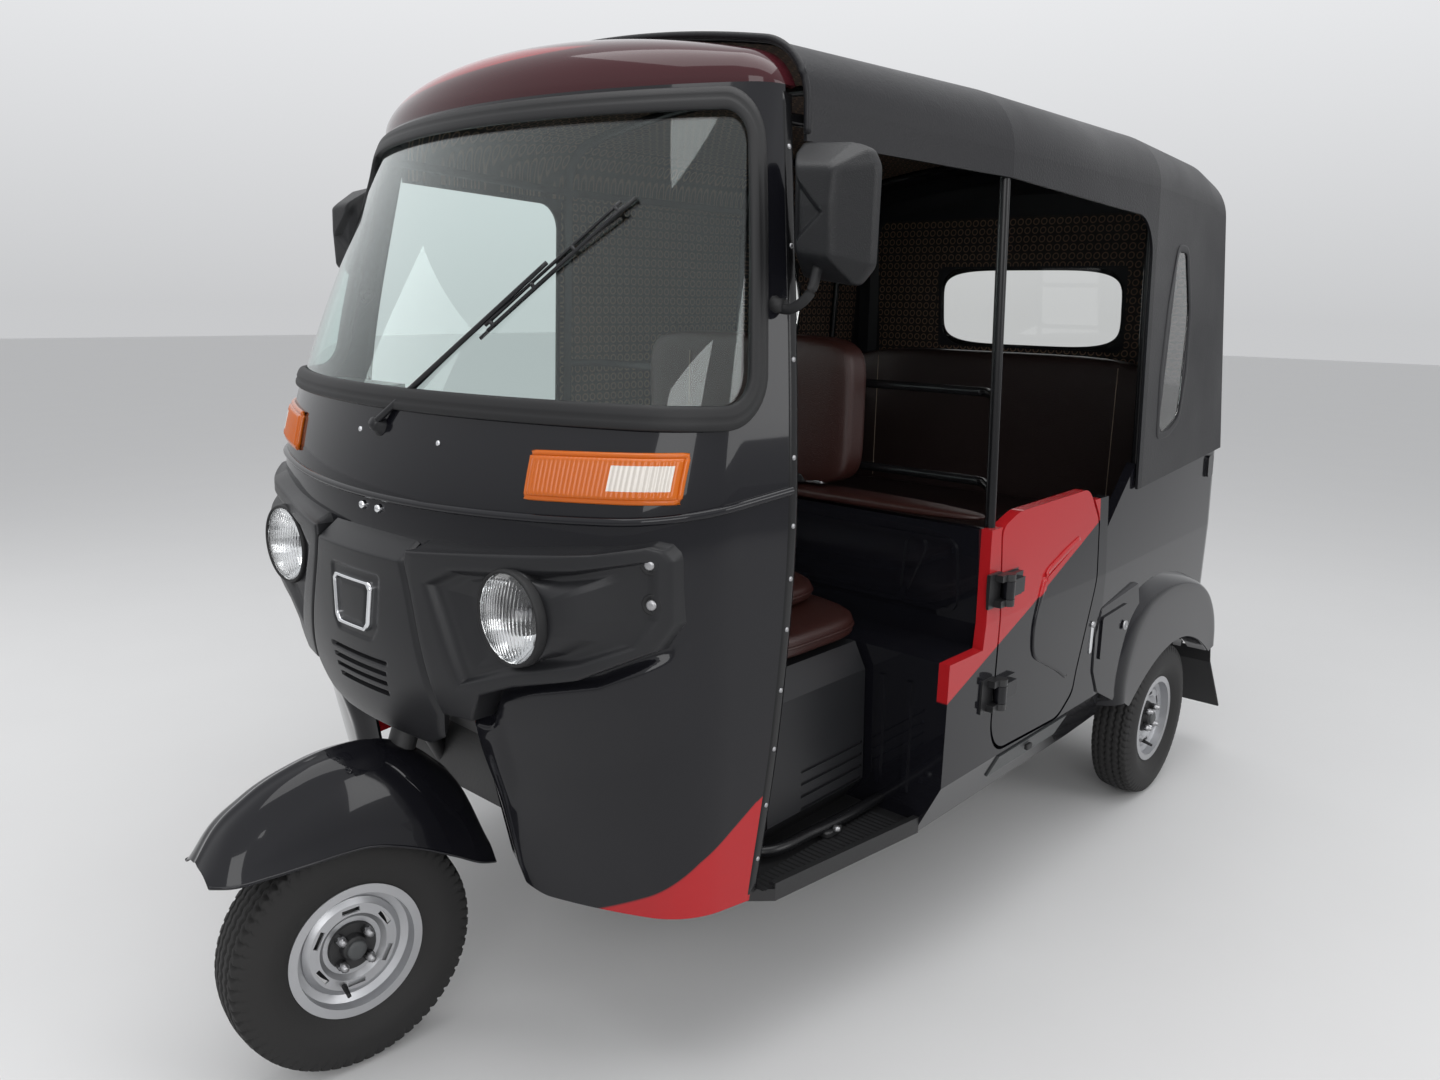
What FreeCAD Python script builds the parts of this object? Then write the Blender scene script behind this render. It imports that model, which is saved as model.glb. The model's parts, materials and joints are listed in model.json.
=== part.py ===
# Three-wheeled auto rickshaw with a steel front shell, a fabric canopy and a hinged passenger door.
# Millimetres. The front faces -Y, the vehicle's left side is +X, and the ground is Z = 0.
# The origin lies on the ground in the middle of the vehicle's overall length and width.
import FreeCAD, Part
import math
import os
import Sketcher
from FreeCAD import Placement, Rotation, Vector

doc = FreeCAD.newDocument("AutoRickshaw")

# Driving dimensions
SIZES = (
    # stance and wheels
    ("wheelbase", 2000, "front axle to rear axle"),
    ("front_axle_y", -1110, "front axle"),
    ("rear_track", 1150, "between the rear tyres' middle planes"),
    ("tyre_radius", 207.5, "outer radius of a 4.00-8 tyre"),
    ("tyre_width", 108, "widest part of the tyre"),
    ("tread_width", 88, "flat part of the tread"),
    ("crown_drop", 6, "from the middle of the tread to its shoulder"),
    ("rim_seat_radius", 102, "seat of the tyre bead"),
    ("rim_flange_radius", 115, "outer edge of the wheel rim"),
    ("rim_width", 82, "over the rim flanges"),
    ("rim_sheet", 3, "pressed steel of the wheel"),
    ("disc_set", 12, "wheel disc outboard of the middle plane"),
    ("hub_radius", 30, "hub boss through the wheel disc"),
    ("drum_radius", 88, "brake drum"),
    ("drum_depth", 44, "brake drum along the axle"),
    ("nut_circle_radius", 33, "wheel nuts about the axle"),
    ("nut_across", 19, "wheel nuts across the flats"),
    ("axle_radius", 10, "axle pin in the hub"),
    ("running_gap", 0.05, "radial clearance of a turning pin"),
    ("seat_gap", 0.3, "between soft or curved pieces at rest"),
    # steering
    ("rake", 20.4, "steering axis from the vertical, degrees"),
    ("parked_steer", -7.5, "front wheel as parked, degrees, negative to the vehicle's right"),
    ("stem_radius", 20, "steering stem"),
    ("head_radius", 32, "outside of the head tube"),
    ("stem_foot", 250, "bottom of the stem above the axle, along the steering axis"),
    ("head_foot", 420, "bottom of the head tube"),
    ("head_length", 230, "length of the head tube"),
    ("bar_rise", 795, "handlebar above the axle, along the steering axis"),
    ("bar_half", 300, "half of the handlebar's width"),
    ("bar_sweep", 105, "handlebar ends behind its middle"),
    ("collar_radius", 24, "collar that carries the mudguard"),
    ("guard_rise", 340, "underside of the collar that carries the mudguard"),
    ("leg_offset", 80, "fork leg from the wheel's middle plane"),
    ("link_offset", 60, "trailing link from the same plane"),
    ("leg_radius", 15, "tube of the fork leg"),
    ("link_length", 95, "trailing link from its pivot to the axle"),
    ("guard_half", 86, "half of the front mudguard's width"),
    ("guard_sheet", 3, "thickness of the mudguard"),
    # front shell, one set for each level
    ("foot_z", 322, "bottom of the leg shields"),
    ("foot_nose", -950, ""), ("foot_nose_radius", 950, ""), ("foot_half", 532, ""),
    ("foot_edge", -688, ""), ("foot_corner", 140, ""),
    ("knee_z", 650, "level of the crease on the leg shields"),
    ("knee_nose", -1000, ""), ("knee_nose_radius", 1100, ""), ("knee_half", 578, ""),
    ("knee_edge", -692, ""), ("knee_corner", 170, ""),
    ("waist_z", 985, "level of the waist bead"),
    ("waist_nose", -1018, ""), ("waist_nose_radius", 1250, ""), ("waist_half", 598, ""),
    ("waist_edge", -695, ""), ("waist_corner", 190, ""),
    ("scuttle_z", 1105, "bottom of the windscreen gasket"),
    ("scuttle_nose", -992, ""), ("scuttle_nose_radius", 1150, ""), ("scuttle_half", 588, ""),
    ("scuttle_edge", -688, ""), ("scuttle_corner", 160, ""),
    ("brow_z", 1587, "joint of the roof header"),
    ("brow_nose", -795, ""), ("brow_nose_radius", 1000, ""), ("brow_half", 508, ""),
    ("brow_edge", -626, ""), ("brow_corner", 60, ""),
    ("side_lean", 12, "slope of the front shell's sides in plan, degrees"),
    ("shell_wall", 14, "front shell with its inner panel"),
    ("bead_drop", 46, "fall of the waist bead from the pillars to the nose"),
    ("bead_height", 13, "waist bead"),
    ("bead_proud", 6, "waist bead proud of the shell"),
    ("gasket_width", 34, "windscreen gasket seen from the front"),
    ("gasket_proud", 7, "gasket proud of the shell"),
    ("gasket_lap", 9, "glass held inside the gasket"),
    ("glass_wall", 5, "windscreen glass"),
    ("pillar_width", 51, "pillar between the gasket and the door opening"),
    ("window_corner", 78, "outer corner of the gasket"),
    ("well_half", 215, "half of the front wheel well at its foot"),
    ("well_top_z", 640, "top of the front wheel well"),
    ("header_top_z", 1696, "top of the roof header"),
    ("header_crown_radius", 2000, "crown of the header across the vehicle"),
    ("header_rear_y", -606, "rear edge of the roof header"),
    # front mask with the headlamps
    ("mask_proud", 44, "centre panel proud of the shell"),
    ("mask_wall", 8, "moulding of the mask"),
    ("wing_proud", 17, "lamp wings proud of the shell at their outer ends"),
    ("recess_depth", 10, "recess round each headlamp"),
    ("mask_top_z", 916, "top of the mask at the middle"),
    ("mask_foot_z", 572, "foot of the centre panel"),
    ("wing_top_z", 966, "top of a lamp wing at its outer end"),
    ("wing_outer_x", 547, "outer end of a lamp wing"),
    ("centre_half_top", 130, "half of the centre panel's width at its top"),
    ("centre_half_foot", 192, "half of the centre panel's width at the foot of its seams"),
    ("seam_foot_z", 648, "foot of the seams beside the centre panel"),
    ("slot_half", 72, "half of the lowest slot below the badge place"),
    ("slot_foot_z", 654, "lowest slot"),
    ("slot_pitch", 18, "from one slot to the next"),
    ("lamp_gap", 5, "round each headlamp"),
    ("panel_gap", 2, "seam between body panels"),
    ("lamp_x", 334, "headlamp centre from the middle"),
    ("lamp_z", 829, "headlamp centre above the ground"),
    ("lamp_y", -1008, "headlamp rim"),
    ("lamp_radius", 68, "headlamp lens"),
    ("lamp_depth", 62, "headlamp bowl"),
    # cab floor and seats
    ("floor_z", 330, "top of the cab floor"),
    ("floor_wall", 22, "floor with its stiffeners"),
    ("floor_half", 596, "half of the width over the foot boards, at the rear"),
    ("floor_front_half", 550, "the same at the front"),
    ("step_y", -272, "front of the lower partition"),
    ("post_y", -140, "front of the upper partition and of the hinge post"),
    ("step_z", 650, "top of the lower partition"),
    ("partition_z", 875, "top of the upper partition"),
    ("partition_wall", 24, "pressed partition with its ribs"),
    ("rail_pad_height", 28, "padded rail on the partition"),
    ("rail_pad_depth", 92, "padded rail from front to rear"),
    ("pedestal_half", 475, "half of the driver's seat pedestal"),
    ("pedestal_front_y", -575, "front of the pedestal"),
    ("pedestal_rear_y", -286, "rear of the pedestal"),
    ("pedestal_z", 655, "top of the pedestal"),
    ("cushion_half", 455, "half of the driver's cushion"),
    ("cushion_rear_y", -235, "rear of the driver's cushion, over the step of the partition"),
    ("cushion_lower", 68, "lower tier of the driver's cushion"),
    ("cushion_height", 122, "both tiers of the driver's cushion"),
    ("cushion_shy", 88, "upper tier in from the ends of the lower one"),
    ("rest_half", 290, "half of the driver's backrest"),
    ("rest_height", 310, "driver's backrest"),
    ("rest_wall", 88, "thickness of the driver's backrest"),
    # rear body, one set for each level
    ("sill_z", 300, "foot of the rear body"), ("sill_half", 585, ""), ("sill_tail", 560, ""),
    ("side_z", 410, "where the side turns in"), ("side_half", 638, ""), ("side_tail", 606, ""),
    ("belt_z", 700, "widest level"), ("belt_half", 640, ""), ("belt_tail", 608, ""),
    ("waist_rail_z", 930, "top of the rear body"), ("waist_rail_half", 626, ""), ("waist_rail_tail", 602, ""),
    ("tub_taper_y", 400, "where the sides start to taper"),
    ("tub_rear_y", 1244, "rear face of the body"),
    ("tub_corner", 95, "rear corners of the body in plan"),
    ("tub_wall", 22, "side wall with its inner panel"),
    ("tub_split_y", 1150, "joint of the side panels and the rear panel"),
    ("tail_foot_z", 340, "foot of the body behind the rear wheels"),
    ("rear_floor_z", 380, "top of the passenger floor"),
    ("bulkhead_y", 560, "front of the seat box"),
    ("bench_z", 640, "top of the seat box"),
    ("door_gap", 6, "gap round the door and the lid"),
    ("door_wall", 24, "thickness of the door"),
    ("door_top_z", 896, "top of the door"),
    ("door_foot_z", 414, "foot of the door"),
    ("hinge_radius", 8, "door hinge pin"),
    ("hinge_stand", 16, "hinge pin outboard of the body's side"),
    ("hinge_y", -100, "hinge pin along the vehicle"),
    ("hinge_low_z", 555, "lower hinge"),
    ("hinge_high_z", 762, "upper hinge"),
    ("knuckle", 12, "outside of the hinge knuckles"),
    ("flare_x", 650, "outer face of the rear arches"),
    ("bench_cushion", 110, "passenger cushion"),
    ("bench_depth", 430, "passenger cushion from front to rear"),
    ("bench_half", 575, "half of the passenger seat"),
    ("bench_rest_height", 400, "passenger backrest"),
    ("bench_rest_wall", 85, "thickness of the passenger backrest"),
    ("lid_half", 330, "half of the engine lid"),
    ("lid_foot_z", 420, "foot of the engine lid"),
    ("lid_top_z", 800, "top of the engine lid"),
    ("lid_pin", 5, "radius of the lid's hinge pins"),
    # canopy, one set for each station along the vehicle
    ("front_bow_y", -605.7, "front edge of the canopy"), ("front_bow_crest", 1702, ""),
    ("front_bow_half", 556, ""), ("front_bow_corner", 100, ""), ("front_bow_lean", 1.9, ""),
    ("cab_bow_y", -105, "bow over the partition"), ("cab_bow_crest", 1712, ""),
    ("cab_bow_half", 627, ""), ("cab_bow_corner", 120, ""), ("cab_bow_lean", 1.9, ""),
    ("rear_bow_y", 575, "bow behind the passenger door"), ("rear_bow_crest", 1713, ""),
    ("rear_bow_half", 634, ""), ("rear_bow_corner", 124, ""), ("rear_bow_lean", 2.2, ""),
    ("tail_bow_y", 1010, "bow at the rear"), ("tail_bow_crest", 1696, ""),
    ("tail_bow_half", 619, ""), ("tail_bow_corner", 124, ""), ("tail_bow_lean", 3.4, ""),
    ("crown_radius", 2400, "crown of the roof across the vehicle"),
    ("canopy_wall", 6, "canopy with its lining"),
    ("canopy_foot_z", 872, "front end of the canopy's hem on the body"),
    ("canopy_hem_rise", 45, "rise of that hem to the rear"),
    ("canopy_rear_y", 1251, "rear face of the canopy at its foot"),
    ("canopy_rear_lean", 5.7, "forward lean of the canopy's rear wall, degrees"),
    ("valance_z", 1492, "hem over the side openings"),
    ("bow_radius", 10, "roof tubes"),
    ("grab_rail_y", -28, "cross rails behind the driver's backrest"),
    ("rear_window_half", 297, "half of the rear window"),
    ("rear_window_z", 1273, "middle of the rear window"),
    ("rear_window_height", 236, "rear window"),
    ("quarter_window_y", 760, "middle of the quarter window"),
    ("quarter_window_z", 1200, "middle of the quarter window"),
    ("quarter_window_width", 190, "quarter window"),
    ("quarter_window_height", 440, "quarter window"),
    # running gear
    ("rail_x", 300, "chassis rails from the middle"),
    ("rail_section", 50, "chassis rail, square"),
    ("arm_radius", 22, "rear trailing arms"),
    ("arm_pivot_y", 560, "pivot of the trailing arms"),
    ("engine_half", 210, "half of the engine's width"),
    ("engine_front_y", 700, "front of the engine"),
    ("engine_rear_y", 1110, "rear of the engine"),
    ("engine_foot_z", 225, "underside of the engine"),
    ("engine_height", 330, "engine and gearbox"),
    ("silencer_radius", 52, "exhaust silencer"),
    ("flap_tip_y", 1335, "rear tip of the mudflaps"),
    ("flap_foot_z", 130, "lower edge of the mudflaps"),
    ("flap_wall", 5, "rubber of the mudflaps"),
    ("bumper_radius", 16, "rear bumper tube"),
    ("tow_x", 200, "towing eye from the middle"),
    ("tow_bore", 9, "radius of the towing eye's bore"),
    ("tow_wall", 12, "thickness of the towing eye"),
)

sheet = doc.addObject("Spreadsheet::Sheet", "Sizes")
for row, (alias, value, meaning) in enumerate(SIZES, start=1):
    sheet.set(f"A{row}", alias)
    sheet.set(f"B{row}", str(value))
    sheet.setAlias(f"B{row}", alias)
    sheet.set(f"C{row}", meaning)
doc.recompute()


class Size:
    """A number that remembers the sheet expression it comes from, so that a feature can be bound to it."""

    def __init__(self, value, text):
        self.value = float(value)
        self.text = text

    def __float__(self):
        return self.value

    def _with(self, other, sign, swap=False):
        right = other if isinstance(other, Size) else Size(other, f"{float(other):.6f}")
        first, second = (right, self) if swap else (self, right)
        a, b = first.value, second.value
        value = a + b if sign == "+" else a - b if sign == "-" else a * b if sign == "*" else a / b
        return Size(value, f"({first.text} {sign} {second.text})")

    def __add__(self, other):
        return self._with(other, "+")

    def __radd__(self, other):
        return self._with(other, "+", True)

    def __sub__(self, other):
        return self._with(other, "-")

    def __rsub__(self, other):
        return self._with(other, "-", True)

    def __mul__(self, other):
        return self._with(other, "*")

    def __rmul__(self, other):
        return self._with(other, "*", True)

    def __truediv__(self, other):
        return self._with(other, "/")

    def __neg__(self):
        return 0 - self


class SizeTable:
    """The sheet's cells as attributes."""

    def __getattr__(self, alias):
        return Size(sheet.get(alias), "Sizes." + alias)


s = SizeTable()
nodes = {}


def number(value):
    return value.value if isinstance(value, Size) else float(value)


def bind(obj, **properties):
    """Set each property to a size, bound to the sheet where the size comes from it."""
    for name, value in properties.items():
        if isinstance(value, Size):
            obj.setExpression(name, value.text)
        else:
            setattr(obj, name, value)


def place(obj, x=0, y=0, z=0):
    """Put an object's base at a point whose coordinates are bound to the sheet."""
    for axis, value in zip("xyz", (x, y, z)):
        if isinstance(value, Size):
            obj.setExpression("Placement.Base." + axis, value.text)
        else:
            setattr(obj.Placement.Base, axis, float(value))
    obj.Placement.Base = Vector(number(x), number(y), number(z))


def node(name, obj):
    """Name an object as one of the vehicle's sub-parts."""
    obj.Label = name
    nodes[name] = obj
    return obj


# Construction helpers
def box(name, x, y, z):
    """A block between the two sizes given for each axis."""
    block = doc.addObject("Part::Box", name)
    bind(block, Length=x[1] - x[0], Width=y[1] - y[0], Height=z[1] - z[0])
    place(block, x[0], y[0], z[0])
    return block


def rod(name, radius, length, base, axis):
    """A cylinder from base along axis."""
    cylinder = doc.addObject("Part::Cylinder", name)
    bind(cylinder, Radius=radius, Height=length)
    cylinder.Placement = Placement(Vector(), Rotation(Vector(0, 0, 1), Vector(*axis)))
    place(cylinder, *base)
    return cylinder


def fuse(name, *pieces):
    joined = doc.addObject("Part::MultiFuse", name)
    joined.Shapes = list(pieces)
    return joined


def cut(name, base, tool):
    result = doc.addObject("Part::Cut", name)
    result.Base = base
    result.Tool = tool
    return result


def feature(name, shape):
    """An object whose shape is worked out from the sheet's values in this file."""
    result = doc.addObject("Part::Feature", name)
    result.Shape = shape
    return result


def new_body(name):
    return doc.addObject("PartDesign::Body", name)


def origin_plane(body, role):
    return next(item for item in body.Origin.OriginFeatures if item.Role == role)


def sketch(body, role, corners, offset=None):
    """A closed outline whose corners are held by bound distances from the origin of one plane."""
    outline = body.newObject("Sketcher::SketchObject", body.Name + "Outline")
    outline.AttachmentSupport = [(origin_plane(body, role), "")]
    outline.MapMode = "FlatFace"
    if offset is not None:
        outline.AttachmentOffset = Placement(Vector(0, 0, number(offset)), Rotation())
        if isinstance(offset, Size):
            outline.setExpression("AttachmentOffset.Base.z", offset.text)
    count = len(corners)
    points = [Vector(number(x), number(y), 0) for x, y in corners]
    outline.addGeometry([Part.LineSegment(points[i], points[(i + 1) % count]) for i in range(count)], False)
    for i in range(count):
        outline.addConstraint(Sketcher.Constraint("Coincident", i, 2, (i + 1) % count, 1))
    for i, corner in enumerate(corners):
        for kind, value in zip(("DistanceX", "DistanceY"), corner):
            index = outline.addConstraint(Sketcher.Constraint(kind, -1, 1, i, 1, number(value)))
            if isinstance(value, Size):
                outline.setExpression(f"Constraints[{index}]", value.text)
    return outline


def pad(body, outline, length, side="One side", reverse=False):
    plate = body.newObject("PartDesign::Pad", body.Name + "Pad")
    plate.Profile = outline
    bind(plate, Length=length)
    plate.SideType = side
    plate.Reversed = reverse
    return plate


def pocket(body, outline, length, side="Symmetric", reverse=False):
    hollow = body.newObject("PartDesign::Pocket", body.Name + "Pocket")
    hollow.Profile = outline
    bind(hollow, Length=length)
    hollow.SideType = side
    hollow.Reversed = reverse
    return hollow


def revolve(body, outline):
    """Turn an outline about the sketch's own horizontal axis."""
    turned = body.newObject("PartDesign::Revolution", body.Name + "Turn")
    turned.Profile = outline
    turned.ReferenceAxis = (outline, ["H_Axis"])
    turned.Angle = 360
    return turned


def round_edges(body, base, radius, chosen):
    """Fillet the edges of base for which chosen(edge) is true."""
    doc.recompute()
    names = [f"Edge{i}" for i, edge in enumerate(base.Shape.Edges, start=1) if chosen(edge)]
    rounding = body.newObject("PartDesign::Fillet", body.Name + "Round")
    rounding.Base = (base, names)
    bind(rounding, Radius=radius)
    return rounding


def along(axis_name):
    """Test for straight edges parallel to one axis."""
    index = "xyz".index(axis_name)

    def test(edge):
        ends = [vertex.Point for vertex in edge.Vertexes]
        if len(ends) != 2:
            return False
        run = ends[1] - ends[0]
        return run.Length > 1e-6 and abs(abs(run[index]) - run.Length) < 1e-4

    return test


def polygon_prism(points, direction, length):
    """Extrude a closed polygon both ways, to length on each side of its plane."""
    wire = Part.makePolygon([*points, points[0]])
    face = Part.Face(wire)
    whole = Vector(direction) * (2 * length)
    return face.translated(Vector(direction) * -length).extrude(whole)


def side_prism(points, length=1000, centre=0):
    """Region given by its (y, z) corners in the side view, extruded across the vehicle."""
    return polygon_prism([Vector(centre, number(y), number(z)) for y, z in points], Vector(1, 0, 0), length)


def front_prism(points, y_from, y_to):
    """Region given by its (x, z) corners in the front view, extruded along the vehicle."""
    wire = Part.makePolygon([Vector(number(x), y_from, number(z)) for x, z in [*points, points[0]]])
    return Part.Face(wire).extrude(Vector(0, y_to - y_from, 0))


def plan_prism(points, z_from, z_to):
    wire = Part.makePolygon([Vector(number(x), number(y), z_from) for x, y in [*points, points[0]]])
    return Part.Face(wire).extrude(Vector(0, 0, z_to - z_from))


def rounded_outline(points, radii):
    """Edges of a closed outline with each corner turned into an arc of its own radius."""
    count = len(points)
    starts, ends, edges = [], [], []
    for i, (point, radius) in enumerate(zip(points, radii)):
        before = (points[i - 1] - point).normalize()
        after = (points[(i + 1) % count] - point).normalize()
        turn = before.getAngle(after)
        reach = radius / math.tan(turn / 2)
        starts.append(point + before * reach)
        ends.append(point + after * reach)
        middle = (before + after).normalize()
        centre = point + middle * (radius / math.sin(turn / 2))
        if radius > 0:
            edges.append(Part.Arc(starts[-1], centre - middle * radius, ends[-1]).toShape())
        else:
            edges.append(None)
    loop = []
    for i in range(count):
        if edges[i] is not None:
            loop.append(edges[i])
        following = starts[(i + 1) % count]
        if (following - ends[i]).Length > 1e-6:
            loop.append(Part.LineSegment(ends[i], following).toShape())
    return loop


def rounded_prism(points, radii, direction, length):
    """Extrude a rounded outline both ways along direction."""
    face = Part.Face(Part.Wire(rounded_outline(points, [number(radius) for radius in radii])))
    return face.translated(Vector(direction) * -length).extrude(Vector(direction) * (2 * length))


def tube(points, radius, bend):
    """A round bar along straight runs joined by tangent arcs of one bend radius."""
    points = [Vector(*[number(c) for c in point]) for point in points]
    edges = []
    last = points[0]
    for before, corner, after in zip(points, points[1:], points[2:]):
        towards, away = (before - corner).normalize(), (after - corner).normalize()
        turn = towards.getAngle(away)
        reach = number(bend) / math.tan(turn / 2)
        middle = (towards + away).normalize()
        centre = corner + middle * (number(bend) / math.sin(turn / 2))
        start, last_point = corner + towards * reach, last
        last = corner + away * reach
        edges.append(Part.LineSegment(last_point, start).toShape())
        edges.append(Part.Arc(start, centre - middle * number(bend), last).toShape())
    edges.append(Part.LineSegment(last, points[-1]).toShape())
    circle = Part.Wire(Part.makeCircle(number(radius), points[0], points[1] - points[0]))
    return Part.Wire(edges).makePipeShell([circle], True, False)


def arch(crest, crest_radius, half, foot, corner, lean):
    """Half-symmetric arch: a wide crown arc, two corner arcs and two leaning sides.

    Returns its points from the right-hand foot over the crest to the left-hand foot, as (u, v).
    """
    side = Vector(-math.sin(lean), math.cos(lean), 0)
    inward = Vector(-math.cos(lean), -math.sin(lean), 0)
    start = Vector(half, foot, 0) + inward * corner
    centre = Vector(0, crest - crest_radius, 0)
    gap = start - centre
    along_side = gap.dot(side)
    reach = -along_side + math.sqrt(along_side**2 - gap.dot(gap) + (crest_radius - corner) ** 2)
    fillet = start + side * reach
    low = fillet - inward * corner
    outward = (fillet - centre).normalize()
    high = centre + outward * crest_radius
    bisector = ((low - fillet) + (high - fillet)).normalize()
    right = [Vector(half, foot, 0), low, fillet + bisector * corner, high]
    left = [Vector(-point.x, point.y, 0) for point in reversed(right)]
    return [*right, Vector(0, crest, 0), *left]


def arch_edges(points, place_point):
    """Edges of a closed outline through the nine points of an arch, its two feet joined by a line."""
    foot, low, bend, high, crest, high2, bend2, low2, foot2 = [place_point(point) for point in points]
    return [
        Part.LineSegment(foot, low).toShape(),
        Part.Arc(low, bend, high).toShape(),
        Part.Arc(high, crest, high2).toShape(),
        Part.Arc(high2, bend2, low2).toShape(),
        Part.LineSegment(low2, foot2).toShape(),
        Part.LineSegment(foot2, foot).toShape(),
    ]


def ruled_solid(outlines):
    """Solid with straight-ruled faces between closed outlines that have the same number of edges."""
    faces = [Part.Face(Part.Wire(outlines[0])), Part.Face(Part.Wire(outlines[-1]))]
    for lower, upper in zip(outlines, outlines[1:]):
        faces.extend(Part.makeRuledSurface(a, b) for a, b in zip(lower, upper))
    shell = Part.makeShell(faces)
    shell.sewShape()
    solid = Part.makeSolid(Part.Shell(shell.Faces))
    if solid.Volume < 0:
        solid.reverse()
    return solid


# Front shell
FRONT_LEVELS = ("foot", "knee", "waist", "scuttle", "brow")
# how far an inner form runs out behind the open rear of the outer one
REAR_REACH = 6.0


def front_outline(level, inset=0.0, rise=0.0):
    """Plan outline of the front shell at one level, moved inwards by inset."""
    z, nose, radius, half, edge, corner = [
        number(getattr(s, level + column)) for column in ("_z", "_nose", "_nose_radius", "_half", "_edge", "_corner")
    ]
    lean = math.radians(s.side_lean)
    behind = REAR_REACH if inset > 0 else 0.0
    half += behind * math.tan(lean) - inset / math.cos(lean)
    points = arch(-nose - inset, radius - inset, half, -edge - behind, corner - inset, lean)
    return arch_edges(points, lambda point: Vector(point.x, -point.y, z + rise))


def front_solid(inset=0.0, levels=FRONT_LEVELS):
    """The whole front shell as a solid, moved inwards by inset; inner ones reach past both ends."""
    reach = 1.0 + inset / 4 if inset > 0 else 0.0
    rises = [0.0] * len(levels)
    rises[0], rises[-1] = -reach, reach
    return ruled_solid([front_outline(level, inset, rise) for level, rise in zip(levels, rises)])


def bead_line(y, lift=0.0):
    """Height of the waist bead above the ground at a place along the vehicle."""
    high = number(s.waist_z) + 28
    slope = number(s.bead_drop) / (number(s.waist_edge) - number(s.waist_nose))
    return high - (number(s.waist_edge) - y) * slope + lift


def above(lift, top=2000.0):
    """Region above the bead line, raised by lift."""
    far, near = -1400.0, -560.0
    return side_prism([(far, bead_line(far, lift)), (near, bead_line(near, lift)), (near, top), (far, top)])


def below(lift, foot=0.0):
    far, near = -1400.0, -560.0
    return side_prism([(far, bead_line(far, lift)), (near, bead_line(near, lift)), (near, foot), (far, foot)])


def window_region(shrink=0.0):
    """Windscreen opening in the side view: it wraps right round the front of the cab."""
    lift = number(s.brow_z) - number(s.scuttle_z)
    lean = (number(s.brow_edge) - number(s.scuttle_edge)) / lift
    foot, top = number(s.scuttle_z) + shrink, number(s.brow_z) - 6 - shrink
    margin = number(s.pillar_width) + shrink

    def rear(z):
        return number(s.scuttle_edge) + lean * (z - number(s.scuttle_z)) - margin

    corners = [Vector(0, -1500, foot), Vector(0, rear(foot), foot), Vector(0, rear(top), top), Vector(0, -1500, top)]
    radius = number(s.window_corner) - shrink
    return rounded_prism(corners, [0, radius, radius, 0], Vector(1, 0, 0), 1000)


outer_front = front_solid()
cowl_shell = outer_front.cut(front_solid(number(s.shell_wall)))
half_bead = number(s.bead_height) / 2


def build_front_cowl():
    """Steel cowl, pillars and windscreen frame in one pressing, with the waist bead along its foot."""
    shell = cowl_shell.common(above(-half_bead)).cut(window_region())
    strip = front_solid(-number(s.bead_proud)).cut(outer_front)
    band = strip.common(below(half_bead)).cut(below(-half_bead))
    return node("front_cowl", feature("FrontCowl", shell.fuse(band)))


# flange of a headlamp bowl outside its rim, let into the lower panel
LAMP_SEAT = 3.0


def build_front_panel():
    """Lower front panel with both leg shields, the front wheel well between them and holes for the lamps."""
    shell = cowl_shell.common(below(-half_bead))
    half, top = number(s.well_half), number(s.well_top_z)
    well = front_prism([(-half, 200), (half, 200), (half * 0.8, top), (-half * 0.8, top)], -1400, -500)
    pockets = []
    for side in (1, -1):
        centre = Vector(side * number(s.lamp_x), -1200, number(s.lamp_z))
        pockets.append(Part.makeCylinder(number(s.lamp_radius) + LAMP_SEAT, 500, centre, Vector(0, 1, 0)))
    return node("front_panel", feature("FrontPanel", shell.cut(well).cut(Part.makeCompound(pockets))))


def build_gasket_and_glass():
    lap = number(s.gasket_width) - number(s.gasket_lap)
    depth = 4.0
    outer = front_solid(depth)
    inner = front_solid(depth + number(s.glass_wall))
    glass = outer.cut(inner).common(window_region(lap))
    ring = front_solid(-number(s.gasket_proud)).cut(front_solid(number(s.shell_wall)))
    ring = ring.common(window_region()).cut(window_region(number(s.gasket_width))).cut(glass)
    node("windscreen_gasket", feature("WindscreenGasket", ring))
    return node("windscreen", feature("Windscreen", glass))


def header_outline(z, nose, half, radius, inset=0.0):
    corner = number(s.brow_corner)
    lean = math.radians(s.side_lean)
    behind = REAR_REACH if inset > 0 else 0.0
    half += behind * math.tan(lean) - inset / math.cos(lean)
    points = arch(-nose - inset, radius - inset, half, -number(s.header_rear_y) - behind, corner - inset, lean)
    return arch_edges(points, lambda point: Vector(point.x, -point.y, z))


def header_crown(inset=0.0):
    """Crowned top of the header, lower at the nose than at its rear edge."""
    sections = []
    # columns: distance ahead of the rear edge, drop of the crest
    for ahead, drop in ((-1.0, 0.0), (90.0, 14.0), (170.0, 42.0), (230.0, 90.0)):
        y = number(s.header_rear_y) - ahead
        crest = number(s.header_top_z) - drop - inset
        points = arch(crest, number(s.header_crown_radius), 541 - 0.25 * ahead, 1480, 96, math.radians(7))
        sections.append(arch_edges(points, lambda point, y=y: Vector(point.x, y, point.y)))
    return ruled_solid(sections)


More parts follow.
